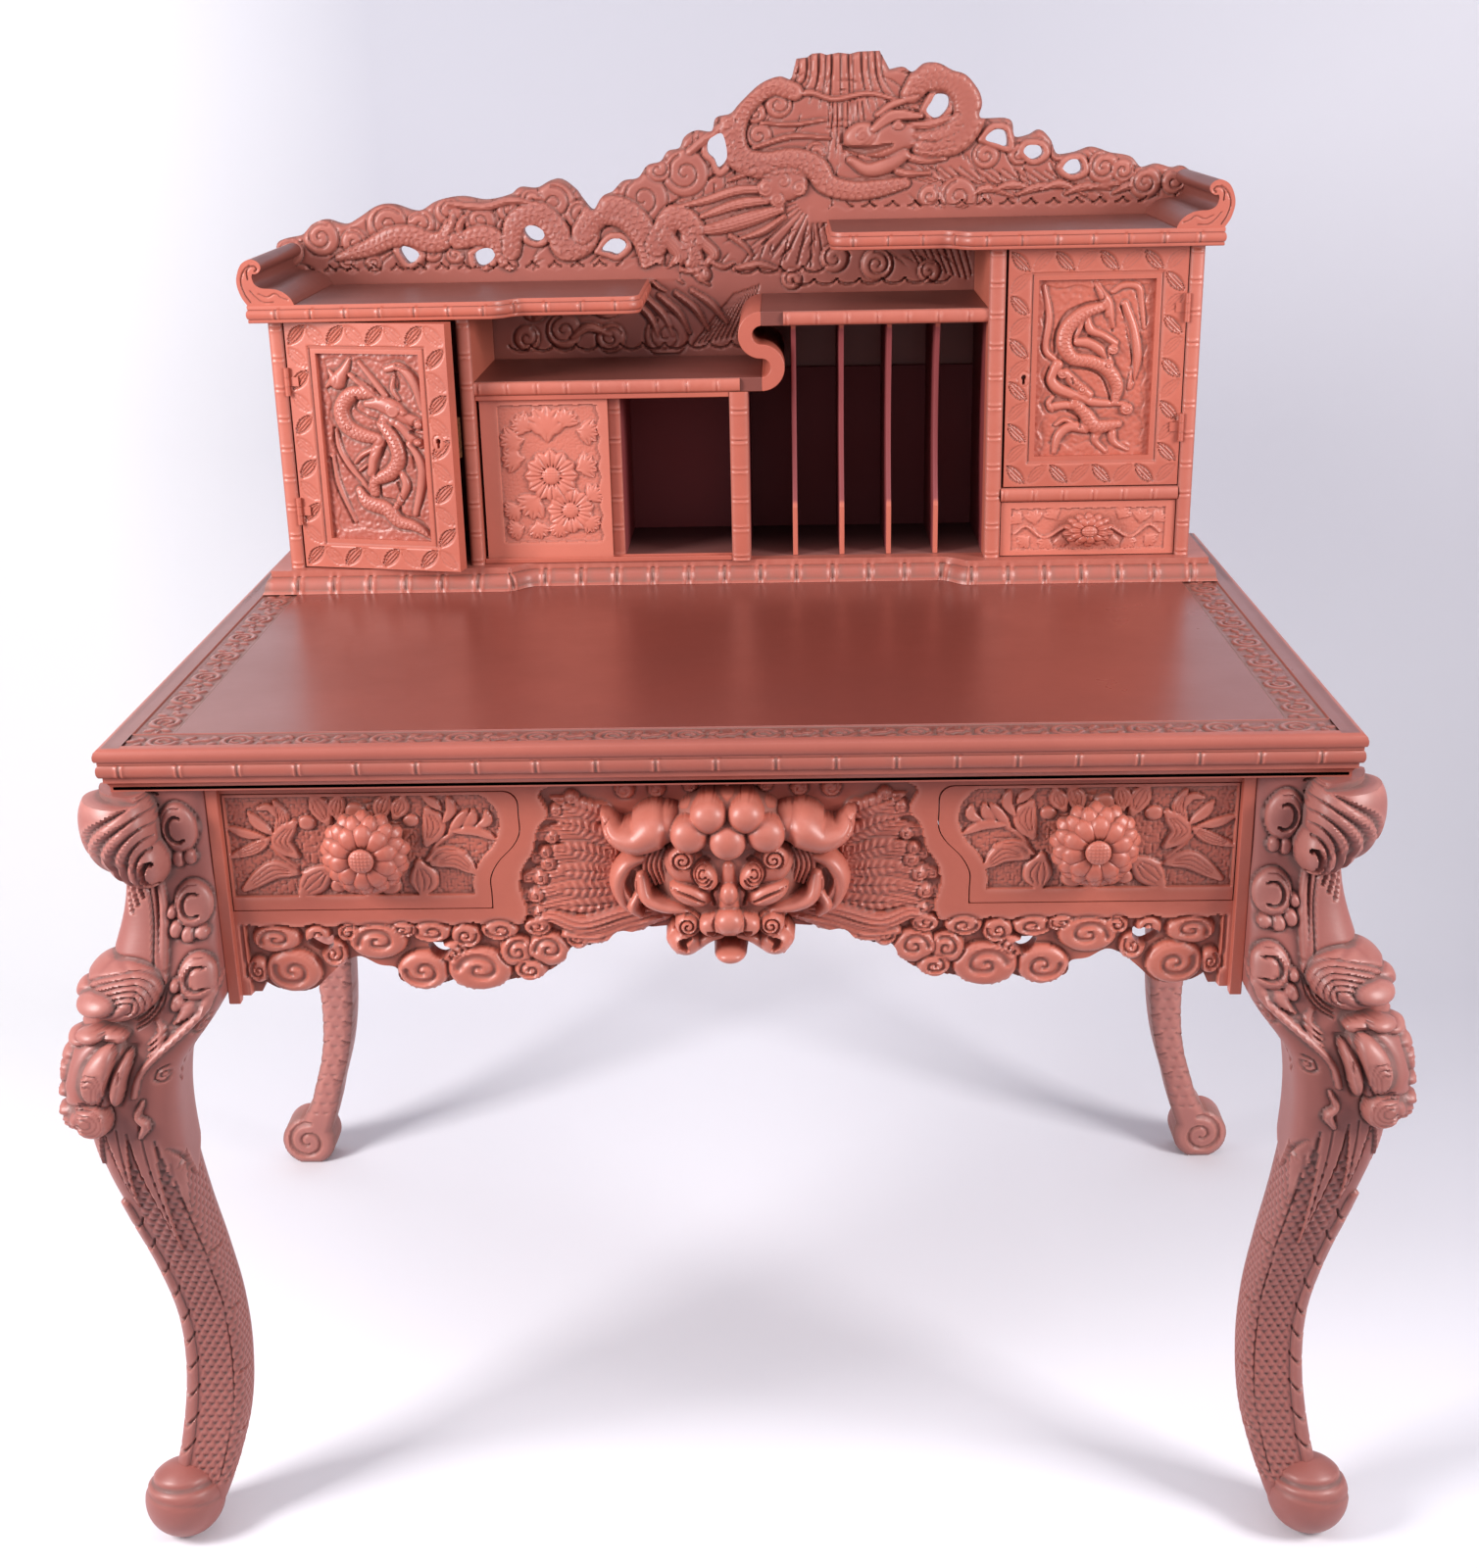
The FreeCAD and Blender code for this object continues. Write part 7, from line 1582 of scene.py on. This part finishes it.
# %% Strips along a line
def fine_line(points, step, clear):
    """A line of (x, y) points broken into short steps. No step falls within a clear distance of a sharp corner, so
    that a strip's mitre has room."""
    points = np.array(points, float)
    ways = np.diff(points, axis=0)
    ways /= np.hypot(*ways.T)[:, None]
    sharp = [False] + [float(a @ b) < 0.7 for a, b in zip(ways, ways[1:])] + [False]
    parts = [points[:1]]
    for n, (a, b) in enumerate(zip(points, points[1:])):
        long = np.hypot(*(b - a))
        first, last = (clear if sharp[n] else 0.0), (clear if sharp[n + 1] else 0.0)
        count = max(1, int(ceil((long - first - last) / step)))
        t = np.linspace(first / long, 1 - last / long, count + 1)
        t = np.concatenate([t[:-1] if first else t[1:-1], [1 - last / long] if last else [], [1.0]])
        parts.append(a + (b - a) * t[:, None])
    return np.vstack(parts)


WALL_INSET = 28.0


def strip(name, line, profile, pitch, rows, rise=0.9, bar=1.0, closed=True, finish=None, stands_for=()):
    """Carries a profile of (inset, height) along a plan line; rows are the part of the profile that has joints."""
    line, profile = np.asarray(line, float), np.asarray(list(profile) + ([profile[0]] if closed else []), float)
    ahead = np.diff(line, axis=0)
    out = np.stack([ahead[:, 1], -ahead[:, 0]], 1) / np.hypot(*ahead.T)[:, None]
    first, second = np.vstack([out[:1], out]), np.vstack([out, out[-1:]])
    mitre = (first + second) / (1 + (first * second).sum(1))[:, None]
    run = np.concatenate([[0], np.cumsum(np.hypot(*ahead.T))])
    board = Relief(0, len(line) - 1, 0, len(profile) - 1, 1.0)
    along, row = run[board.X.astype(int)], board.Z
    near_joint = ((along + pitch / 2) % pitch - pitch / 2) / bar
    ring = np.exp(-((np.abs(near_joint) - 2.3) / 1.1) ** 2) * rise - rise * 0.9 * np.exp(-(near_joint / 1.2) ** 2)
    board.H = np.where((row >= rows[0]) & (row <= rows[1]), ring - 0.9 * rise, 0.0)

    def place(i, j, height):
        i, j = np.rint(i).astype(int), np.rint(j).astype(int)
        flat = line[i] + mitre[i] * (height - profile[j, 0])[:, None]
        return np.stack([flat[:, 0], flat[:, 1], profile[j, 1]], 1)

    mesh = carved_board(board, 0.0, place=place)
    more_dust_and_highlight(mesh, 1.2)
    bmesh.ops.remove_doubles(mesh, verts=mesh.verts, dist=0.00002)
    if closed:
        bmesh.ops.holes_fill(mesh, edges=open_edges(mesh), sides=0)
    else:
        lid_z = profile[-1, 1] * MM
        lid = [edge for edge in open_edges(mesh) if all(abs(v.co.z - lid_z) < 1e-6 for v in edge.verts)]
        ends = sorted({v for e in lid for v in e.verts if sum(link in lid for link in v.link_edges) == 1},
                      key=lambda v: v.co.x)
        lid.append(mesh.edges.new((ends[0], ends[-1])))
        bmesh.ops.triangle_fill(mesh, use_beauty=True, use_dissolve=False, edges=lid, normal=(0, 0, 1))
        for x, y in (line[0], line[-1]):
            end = sorted((v for v in mesh.verts if abs(v.co.y - y * MM) < 1e-5 and v.co.x * x > 0),
                         key=lambda v: v.co.z)
            wall_x = x * MM * (1 - WALL_INSET / abs(x))
            wall = [mesh.verts.new((wall_x, y * MM, z * MM)) for z in (profile[-1, 1], profile[0, 1])]
            bmesh.ops.contextual_create(mesh, geom=end)
            bmesh.ops.contextual_create(mesh, geom=[end[0], end[-1]] + wall)
    bmesh.ops.recalc_face_normals(mesh, faces=mesh.faces)
    return set_piece(mesh, name, finish or red_lacquer, stands_for, sharp=50)


def half_round(inset, rise, z0, z1, count=8):
    """Profile points of a cane between two heights."""
    return [(inset - rise * sin(pi * k / count), z0 + (z1 - z0) * (1 - cos(pi * k / count)) / 2)
            for k in range(count + 1)]


print("strip tools ready")

# %% Edge of the writing top
TOP_X, TOP_FRONT, TOP_BACK, TOP_Z = 508.0, -323.0, 377.0, 760.0
FINE = 1.6
rim_line = fine_line([(-TOP_X, TOP_BACK), (-TOP_X, TOP_FRONT), (TOP_X, TOP_FRONT), (TOP_X, TOP_BACK)], FINE, 13.0)
EDGE = [(9, 722.0), (9, 726), (7.5, 729), (6.2, 730.3), (5.0, 730.5), (5.0, 735.2),
        *half_round(2.6, 2.4, 735.4, 746.3), (2.6, 746.6), (2.6, 749.2), (1.0, 749.6), (0.2, 751.5), (0.2, 754.5),
        (1.2, 757.6), (3.2, 759.4), (6.0, 760.0), (12.0, 760.0), (12.0, 722.0)]
strip("top_edge", rim_line, EDGE, 48.0, (6, 14), 0.9, finish=edge_lacquer,
      stands_for=["top_under_moulding", "desk_top"])

# %% [markdown]
# ## The writing top
# The field is flat and worn. A carved band frames it at the front and at both sides as far as the plinth. Round
# C-scrolls with leaf tips follow one another between two incised lines on a lowered ground.

# %% Carved band and field
BAND_OUT, BAND_IN, BAND_FRONT, BAND_REAR, PLINTH_LINE = 487.0, 451.0, -317.0, -281.0, 168.0


def band_map(length, depth):
    """A band of scrolls and leaf tips between two incised lines."""
    board = Relief(0.0, length, 0.0, depth, 1.5)
    middle = depth / 2
    ground = np.abs(board.Z - middle) < middle - 3.5
    board.H[ground] = -1.6
    board.pebbles(0.5, 3.0, -1.2, 41)
    count = int(length // 60)
    pitch = length / max(count, 1)
    for n in range(count):
        x = pitch * (n + 0.5)
        board.ridge(arc(x, middle, 11.5, 11.0, 0.6, 2 * pi - 0.2, 12, 2.6, 2.0), -1.6)
        board.ridge(arc(x, middle, 5.0, 5.0, 0.3, 4.9, 8, 1.9, 1.9), -1.6)
        for turn, dx, dz in ((60, 21, 7), (-60, 21, -7), (0, 27, 0), (120, -20, 8), (-120, -20, -8), (200, -26, 2)):
            a = radians(turn)
            board.leaf([(x + dx + k * cos(a), middle + dz + k * sin(a)) for k in (-6, 0, 6)], 3.2, 2.0, -1.6)
    for z in (2.2, depth - 2.2):
        board.groove([(0, z, 1.6, 1.6), (length, z, 1.6, 1.6)])
    board.H = np.clip(board.H, -2.2, 0.0)
    return board


def flat_place(corner, along, across):
    """Lays a map down on the top: its x runs one way, its z another, and heights stand up."""
    corner, along, across = (np.array(v, float) for v in (corner, along, across))

    def place(x, z, height):
        flat = corner + x[:, None] * along + z[:, None] * across
        return np.stack([flat[:, 0], flat[:, 1], TOP_Z + height], 1)
    return place


BANDS = [
    ("front_band", 2 * BAND_OUT, BAND_REAR - BAND_FRONT, (-BAND_OUT, BAND_FRONT), (1, 0), (0, 1)),
    ("left_band", PLINTH_LINE - BAND_REAR, BAND_OUT - BAND_IN, (-BAND_OUT, PLINTH_LINE), (0, -1), (1, 0)),
    ("right_band", PLINTH_LINE - BAND_REAR, BAND_OUT - BAND_IN, (BAND_OUT, BAND_REAR), (0, 1), (-1, 0)),
]
for name, length, depth, corner, along, across in BANDS:
    mesh = carved_board(band_map(length, depth), 0.0, place=flat_place(corner, along, across))
    more_dust_and_highlight(mesh, 2.2)
    set_piece(mesh, name, top_lacquer, ["desk_top"])
field = bmesh.new()
LIP, TOP_UNDERSIDE = 6, 736.5
for x0, x1, y0, y1 in ((-BAND_IN, BAND_IN, BAND_REAR, PLINTH_LINE),
                       (-TOP_X + LIP, -BAND_OUT, TOP_FRONT + LIP, TOP_BACK - 1),
                       (BAND_OUT, TOP_X - LIP, TOP_FRONT + LIP, TOP_BACK - 1),
                       (-BAND_OUT, BAND_OUT, TOP_FRONT + LIP, BAND_FRONT),
                       (-BAND_OUT, BAND_OUT, PLINTH_LINE, TOP_BACK - 1)):
    for vert in bmesh.ops.create_grid(field, x_segments=2, y_segments=2, size=1.0)["verts"]:
        vert.co = Vector(((x0 + x1) / 2 + vert.co.x * (x1 - x0) / 2, (y0 + y1) / 2 + vert.co.y * (y1 - y0) / 2,
                          TOP_Z)) * MM
for front, rear, face in ((-318.0, 372.0, 757.5), (PLINTH_LINE + 4, 376.8, 759.9)):
    core = bmesh.ops.create_cube(field, size=1.0)["verts"]
    for vert in core:
        vert.co = Vector((vert.co.x * 2 * (TOP_X - 5), (front + rear) / 2 + vert.co.y * (rear - front),
                          (TOP_UNDERSIDE + face) / 2 + vert.co.z * (face - TOP_UNDERSIDE))) * MM
    corners = list({edge for vert in core for edge in vert.link_edges})
    bmesh.ops.bevel(field, geom=corners, offset=MM, segments=2, affect="EDGES", profile=0.5, material=-1)
set_piece(field, "writing_field", top_lacquer, ["desk_top"])

# %% [markdown]
# Under the top lies a frame of four flat battens. Only its back edge shows, above the back apron. A sheet is inset, its
# middle is taken out, and what is left is extruded.

# %% Battens under the top
BATTEN_WIDTH, BATTEN_RISE = 60, 14.6
battens = bmesh.new()
middle = bmesh.ops.create_grid(battens, x_segments=1, y_segments=1, size=1.0)
for vert in middle["verts"]:
    vert.co = Vector((vert.co.x * (TOP_X - 10), 27 + vert.co.y * 341, LEG_TOP + 0.1)) * MM
inner = list(battens.faces)
bmesh.ops.inset_region(battens, faces=inner, thickness=BATTEN_WIDTH * MM, use_even_offset=True, use_boundary=True)
bmesh.ops.delete(battens, geom=inner, context="FACES")
raised = bmesh.ops.extrude_face_region(battens, geom=list(battens.faces))["geom"]
upper = [v for v in raised if isinstance(v, bmesh.types.BMVert)]
bmesh.ops.translate(battens, verts=upper, vec=(0, 0, BATTEN_RISE * MM))
bmesh.ops.recalc_face_normals(battens, faces=battens.faces)
corners = list(battens.edges)
bmesh.ops.bevel(battens, geom=corners, offset=1.2 * MM, segments=2, affect="EDGES", profile=0.5, material=-1)
set_piece(battens, "under_frame", edge_lacquer, ["top_under_moulding"], sharp=40)

# %% [markdown]
# ## Plinth and shelf edges
# The plinth under the cabinet and the two upper shelves step back in the middle with a small S curve. The plinth's
# moulding is a fat quarter round crossed by pairs of bars; the shelves have bamboo fronts.

# %% Stepped strips
def bow(a, middle, b):
    """Points of a shallow bow from a to b by way of its middle."""
    a, middle, b = (np.array(v, float) for v in (a, middle, b))
    return [tuple(a * (1 - t) * (1 - 2 * t) + 4 * middle * t * (1 - t) + b * t * (2 * t - 1))
            for t in np.linspace(0, 1, 7)]


def s_step(x_out, x_in, y_out, y_in, swell=2.5):
    """A flat S in plan from the outer run to the inner one, made of two bows."""
    x, y = (x_out + x_in) / 2, (y_out + y_in) / 2
    first = bow((x_out, y_out), ((x_out + x) / 2, (y_out + y) / 2 - swell), (x, y))
    return first + bow((x, y), ((x + x_in) / 2, (y + y_in) / 2 + swell), (x_in, y_in))[1:]


STEP_OUT, STEP_IN = 236.0, 206.0
PLINTH_X, PLINTH_FRONT, PLINTH_INNER, PLINTH_BACK = 488.0, 162.0, 182.0, 346.0
plinth_half = [(-PLINTH_X, PLINTH_BACK), (-PLINTH_X, PLINTH_FRONT),
               *s_step(-STEP_OUT, -STEP_IN, PLINTH_FRONT, PLINTH_INNER)]
plinth_line = fine_line(plinth_half + [(-x, y) for x, y in plinth_half[::-1]], FINE, 11.0)
QUARTER = [(0.4 + 8.0 * (1 - cos(a)), 764 + 12 * sin(a)) for a in np.linspace(0.05, pi / 2, 8)]
PLINTH = [(3.0, 760.1), (0.4, 760.2), (0.4, 764), *QUARTER, (9.5, 777.5), (9.5, 782.9)]
strip("plinth_carved", plinth_line, PLINTH, 37.0, (2, 10), 1.7, 1.6, False, edge_lacquer,
      stands_for=["plinth_moulding"])
END_ROUND, SHELF_X, SHELF_FRONT, SHELF_INNER, SHELF_BACK = 14.0, 474.0, 168.0, 190.0, 345.0
nip = END_ROUND * (1 - sqrt(0.5))
for name, x_end, z0, z1, side in (("left_shelf_edge", -92.0, 1033.0, 1050.0, -1),
                                  ("right_shelf_edge", 98.0, 1090.0, 1107.0, 1)):
    outer = [(side * SHELF_X, SHELF_BACK), (side * SHELF_X, SHELF_FRONT),
             *s_step(side * STEP_OUT, side * STEP_IN, SHELF_FRONT, SHELF_INNER),
             *bow((x_end + side * END_ROUND, SHELF_INNER), (x_end + side * nip, SHELF_INNER + nip),
                  (x_end, SHELF_INNER + END_ROUND)), (x_end, SHELF_BACK)]
    line = fine_line(outer if side < 0 else outer[::-1], FINE, 7.0)
    profile = [(1.0, z0 + 0.2), (-0.2, z0 + 0.2), (-0.6, z0 + 0.6), (-0.6, z0 + 3.0),
               *half_round(-0.4, 2.4, z0 + 3.4, z1 - 4.2),
               (-0.6, z1 - 3.8), (-0.8, z1 - 0.6), (-0.2, z1 + 0.1), (1.0, z1 + 0.1)]
    strip(name, line, profile, 34.0, (4, 12), 0.9)

# %% [markdown]
# Each shelf turns up at its outer end into a scroll: the wood curls over in a small ball at the top, and the inner side
# falls in a hollow to a quarter-round foot. It is a short length of moulding, so its section is drawn once and run from
# front to back, with an incised line that follows the curl on the front face.

# %% Scroll wings
CURL = [(0, 0), (-5.5, 9), (-8.6, 21), (-7.0, 31), (-2.5, 39.5), (4.2, 43.6), (10, 43.6), (14.8, 40.5), (16.4, 36),
        (14.4, 32), (10.4, 30), (7.6, 30.5)]
FOOT = [(6.6, 27), (8.8, 20.5), (15.0, 16.6), (24, 15.8), (31, 14.6), (38, 11), (43, 6), (45.6, 1)]
CUTS = [  # half width, depth and line
    (0.9, 1.6, [(3.5, 3), (-1.5, 11), (-4.2, 21), (-2.8, 29), (0.8, 34.5), (5.6, 38.2)]),
    (1.0, 2.0, [(2.6, 25), (2.2, 32), (5.2, 36.6), (10, 37.4), (12.4, 34.6), (10.2, 32.6)]),
    (0.8, 1.2, [(12, 11), (20, 8), (28, 11), (34, 7), (40, 5)]), (0.8, 1.2, [(4, 14), (9, 8), (16, 3), (26, 3)]),
]


def on_shelf(points, side, shelf_z):
    """Points given from a shelf's outer top edge."""
    return [(side * (SHELF_X - x), shelf_z + z) for x, z in points]


for name, side, shelf_z in (("left_scroll_wing", -1, 1050.0), ("right_scroll_wing", 1, 1107.0)):
    wing_line = np.vstack([curve(on_shelf(CURL, side, shelf_z)), curve(on_shelf(FOOT, side, shelf_z)),
                           on_shelf([(45.6, 0)], side, shelf_z)])
    wing = Relief(min(wing_line[:, 0]) - 3, max(wing_line[:, 0]) + 3, shelf_z - 2, shelf_z + 46, 0.8)
    for width, depth, points in CUTS:
        wing.groove([(x, z, width, depth) for x, z in on_shelf(points, side, shelf_z)])
    mesh = carved_board(wing, SHELF_FRONT + 0.4, SHELF_BACK + 1.0, wing_line)
    bmesh.ops.recalc_face_normals(mesh, faces=mesh.faces)
    piece = set_piece(mesh, name + "_carved", red_lacquer, [name])
    # Faces behind the wing's front take the shelves' darker lacquer, part of which is painted shade.
    piece.data.materials.append(shelf_coat_and_painted_shade)
    for face in piece.data.polygons:
        if face.center.y > (SHELF_FRONT + 4) * MM and side * face.center.x < (SHELF_X - 6) * MM:
            face.material_index = 1

# %% [markdown]
# Posts and rails between the compartments are canes too. Their strips are short straight bars laid on the front edges
# of the boards.

# %% Straight canes
def cane(name, low, high, front, x_or_z, upright, width, pitch=30.0, rise=3.4):
    """A half-round bar on the front edge of a board, with joints; it runs from low to high."""
    length = high - low
    board = Relief(0.0, length, 0.0, width, max(1.3, width / 14))
    across = np.clip(1 - ((board.Z / width - 0.5) * 2) ** 2, 0, 1) ** 0.5
    joint = (board.X + 0.4 * pitch) % pitch - pitch / 2
    rings = 0.8 * np.exp(-((np.abs(joint) - 2.3) / 1.0) ** 2) - 0.8 * np.exp(-(joint / 1.1) ** 2)
    board.H = rise * across + rings * across

    def place(along, aside, height):
        if upright:
            return np.stack([x_or_z + width - aside, front - height, low + along], 1)
        return np.stack([low + along, front - height, x_or_z + aside], 1)

    mesh = carved_board(board, 0.0, place=place)
    bmesh.ops.recalc_face_normals(mesh, faces=mesh.faces)
    if sum(face.normal.y for face in mesh.faces) > 0:
        bmesh.ops.reverse_faces(mesh, faces=mesh.faces)
    set_piece(mesh, name, red_lacquer, sharp=60)


SIDE_LINE, MID_LINE, DIVIDER_LINE = 185.2, 189.2, 203.2
CANES = [  # name, ends, front, place across, upright or not, width
    ("left_outer_cane", 783, 1033, SIDE_LINE, -460, True, 14),
    ("left_inner_cane", 783, 1033, SIDE_LINE, -274, True, 14),
    ("right_inner_cane", 783, 1090, SIDE_LINE, 252, True, 16),
    ("right_outer_cane", 783, 1090, SIDE_LINE, 446, True, 14), ("lower_mid_cane", -260, 6, MID_LINE, 955, False, 14),
    ("upper_mid_cane", 50, 252, MID_LINE, 1019, False, 14), ("slot_cane", 783, 955, MID_LINE, -5, True, 19),
    ("cabinet_rail_cane", 268, 446, SIDE_LINE, 840, False, 14),
]
for bar in CANES:
    cane(*bar)
cane("panel_divider_cane", 783, 955, DIVIDER_LINE, -130, True, 14, rise=1.5)
JOINTLESS = 1000.0
for name, x in (("left", -427), ("right", 417)):
    cane(name + "_leg_cane", 526, 722, APRON_FRONT, x, True, 10, JOINTLESS, 5.0)

# %% [markdown]
# ## Inside the pigeonholes
# The backs and inner faces of the compartments get a dull paint that turns nearly black deeper into the cabinet, which
# is painted shade. The shelves' darker lacquer is partly painted shade too. The floor is a little paler, because dust
# lies on it, and it darkens deeper in as painted shade.

# %% Dark insides
INSIDES = {"back_panel": back_coat_and_painted_shade, "slot_divider": inside_painted_shade, "letter_dividers": inside_painted_shade,
           "panel_divider": inside_painted_shade, "left_inner_side": left_side_painted_shade, "right_inner_side": right_side_painted_shade,
           "hutch_floor": floor_dust_and_painted_shade, "left_shelf": shelf_coat_and_painted_shade, "right_shelf": shelf_coat_and_painted_shade,
           "lower_mid_shelf": shelf_coat_and_painted_shade, "upper_mid_shelf": shelf_coat_and_painted_shade}
for node, finish in INSIDES.items():
    solid = frame["nodes"][node]
    solid.data.materials.clear()
    solid.data.materials.append(finish)
print("boards with their own paint:", len(INSIDES))

# %% [markdown]
# The dressed desk has to stay inside the solids' box.
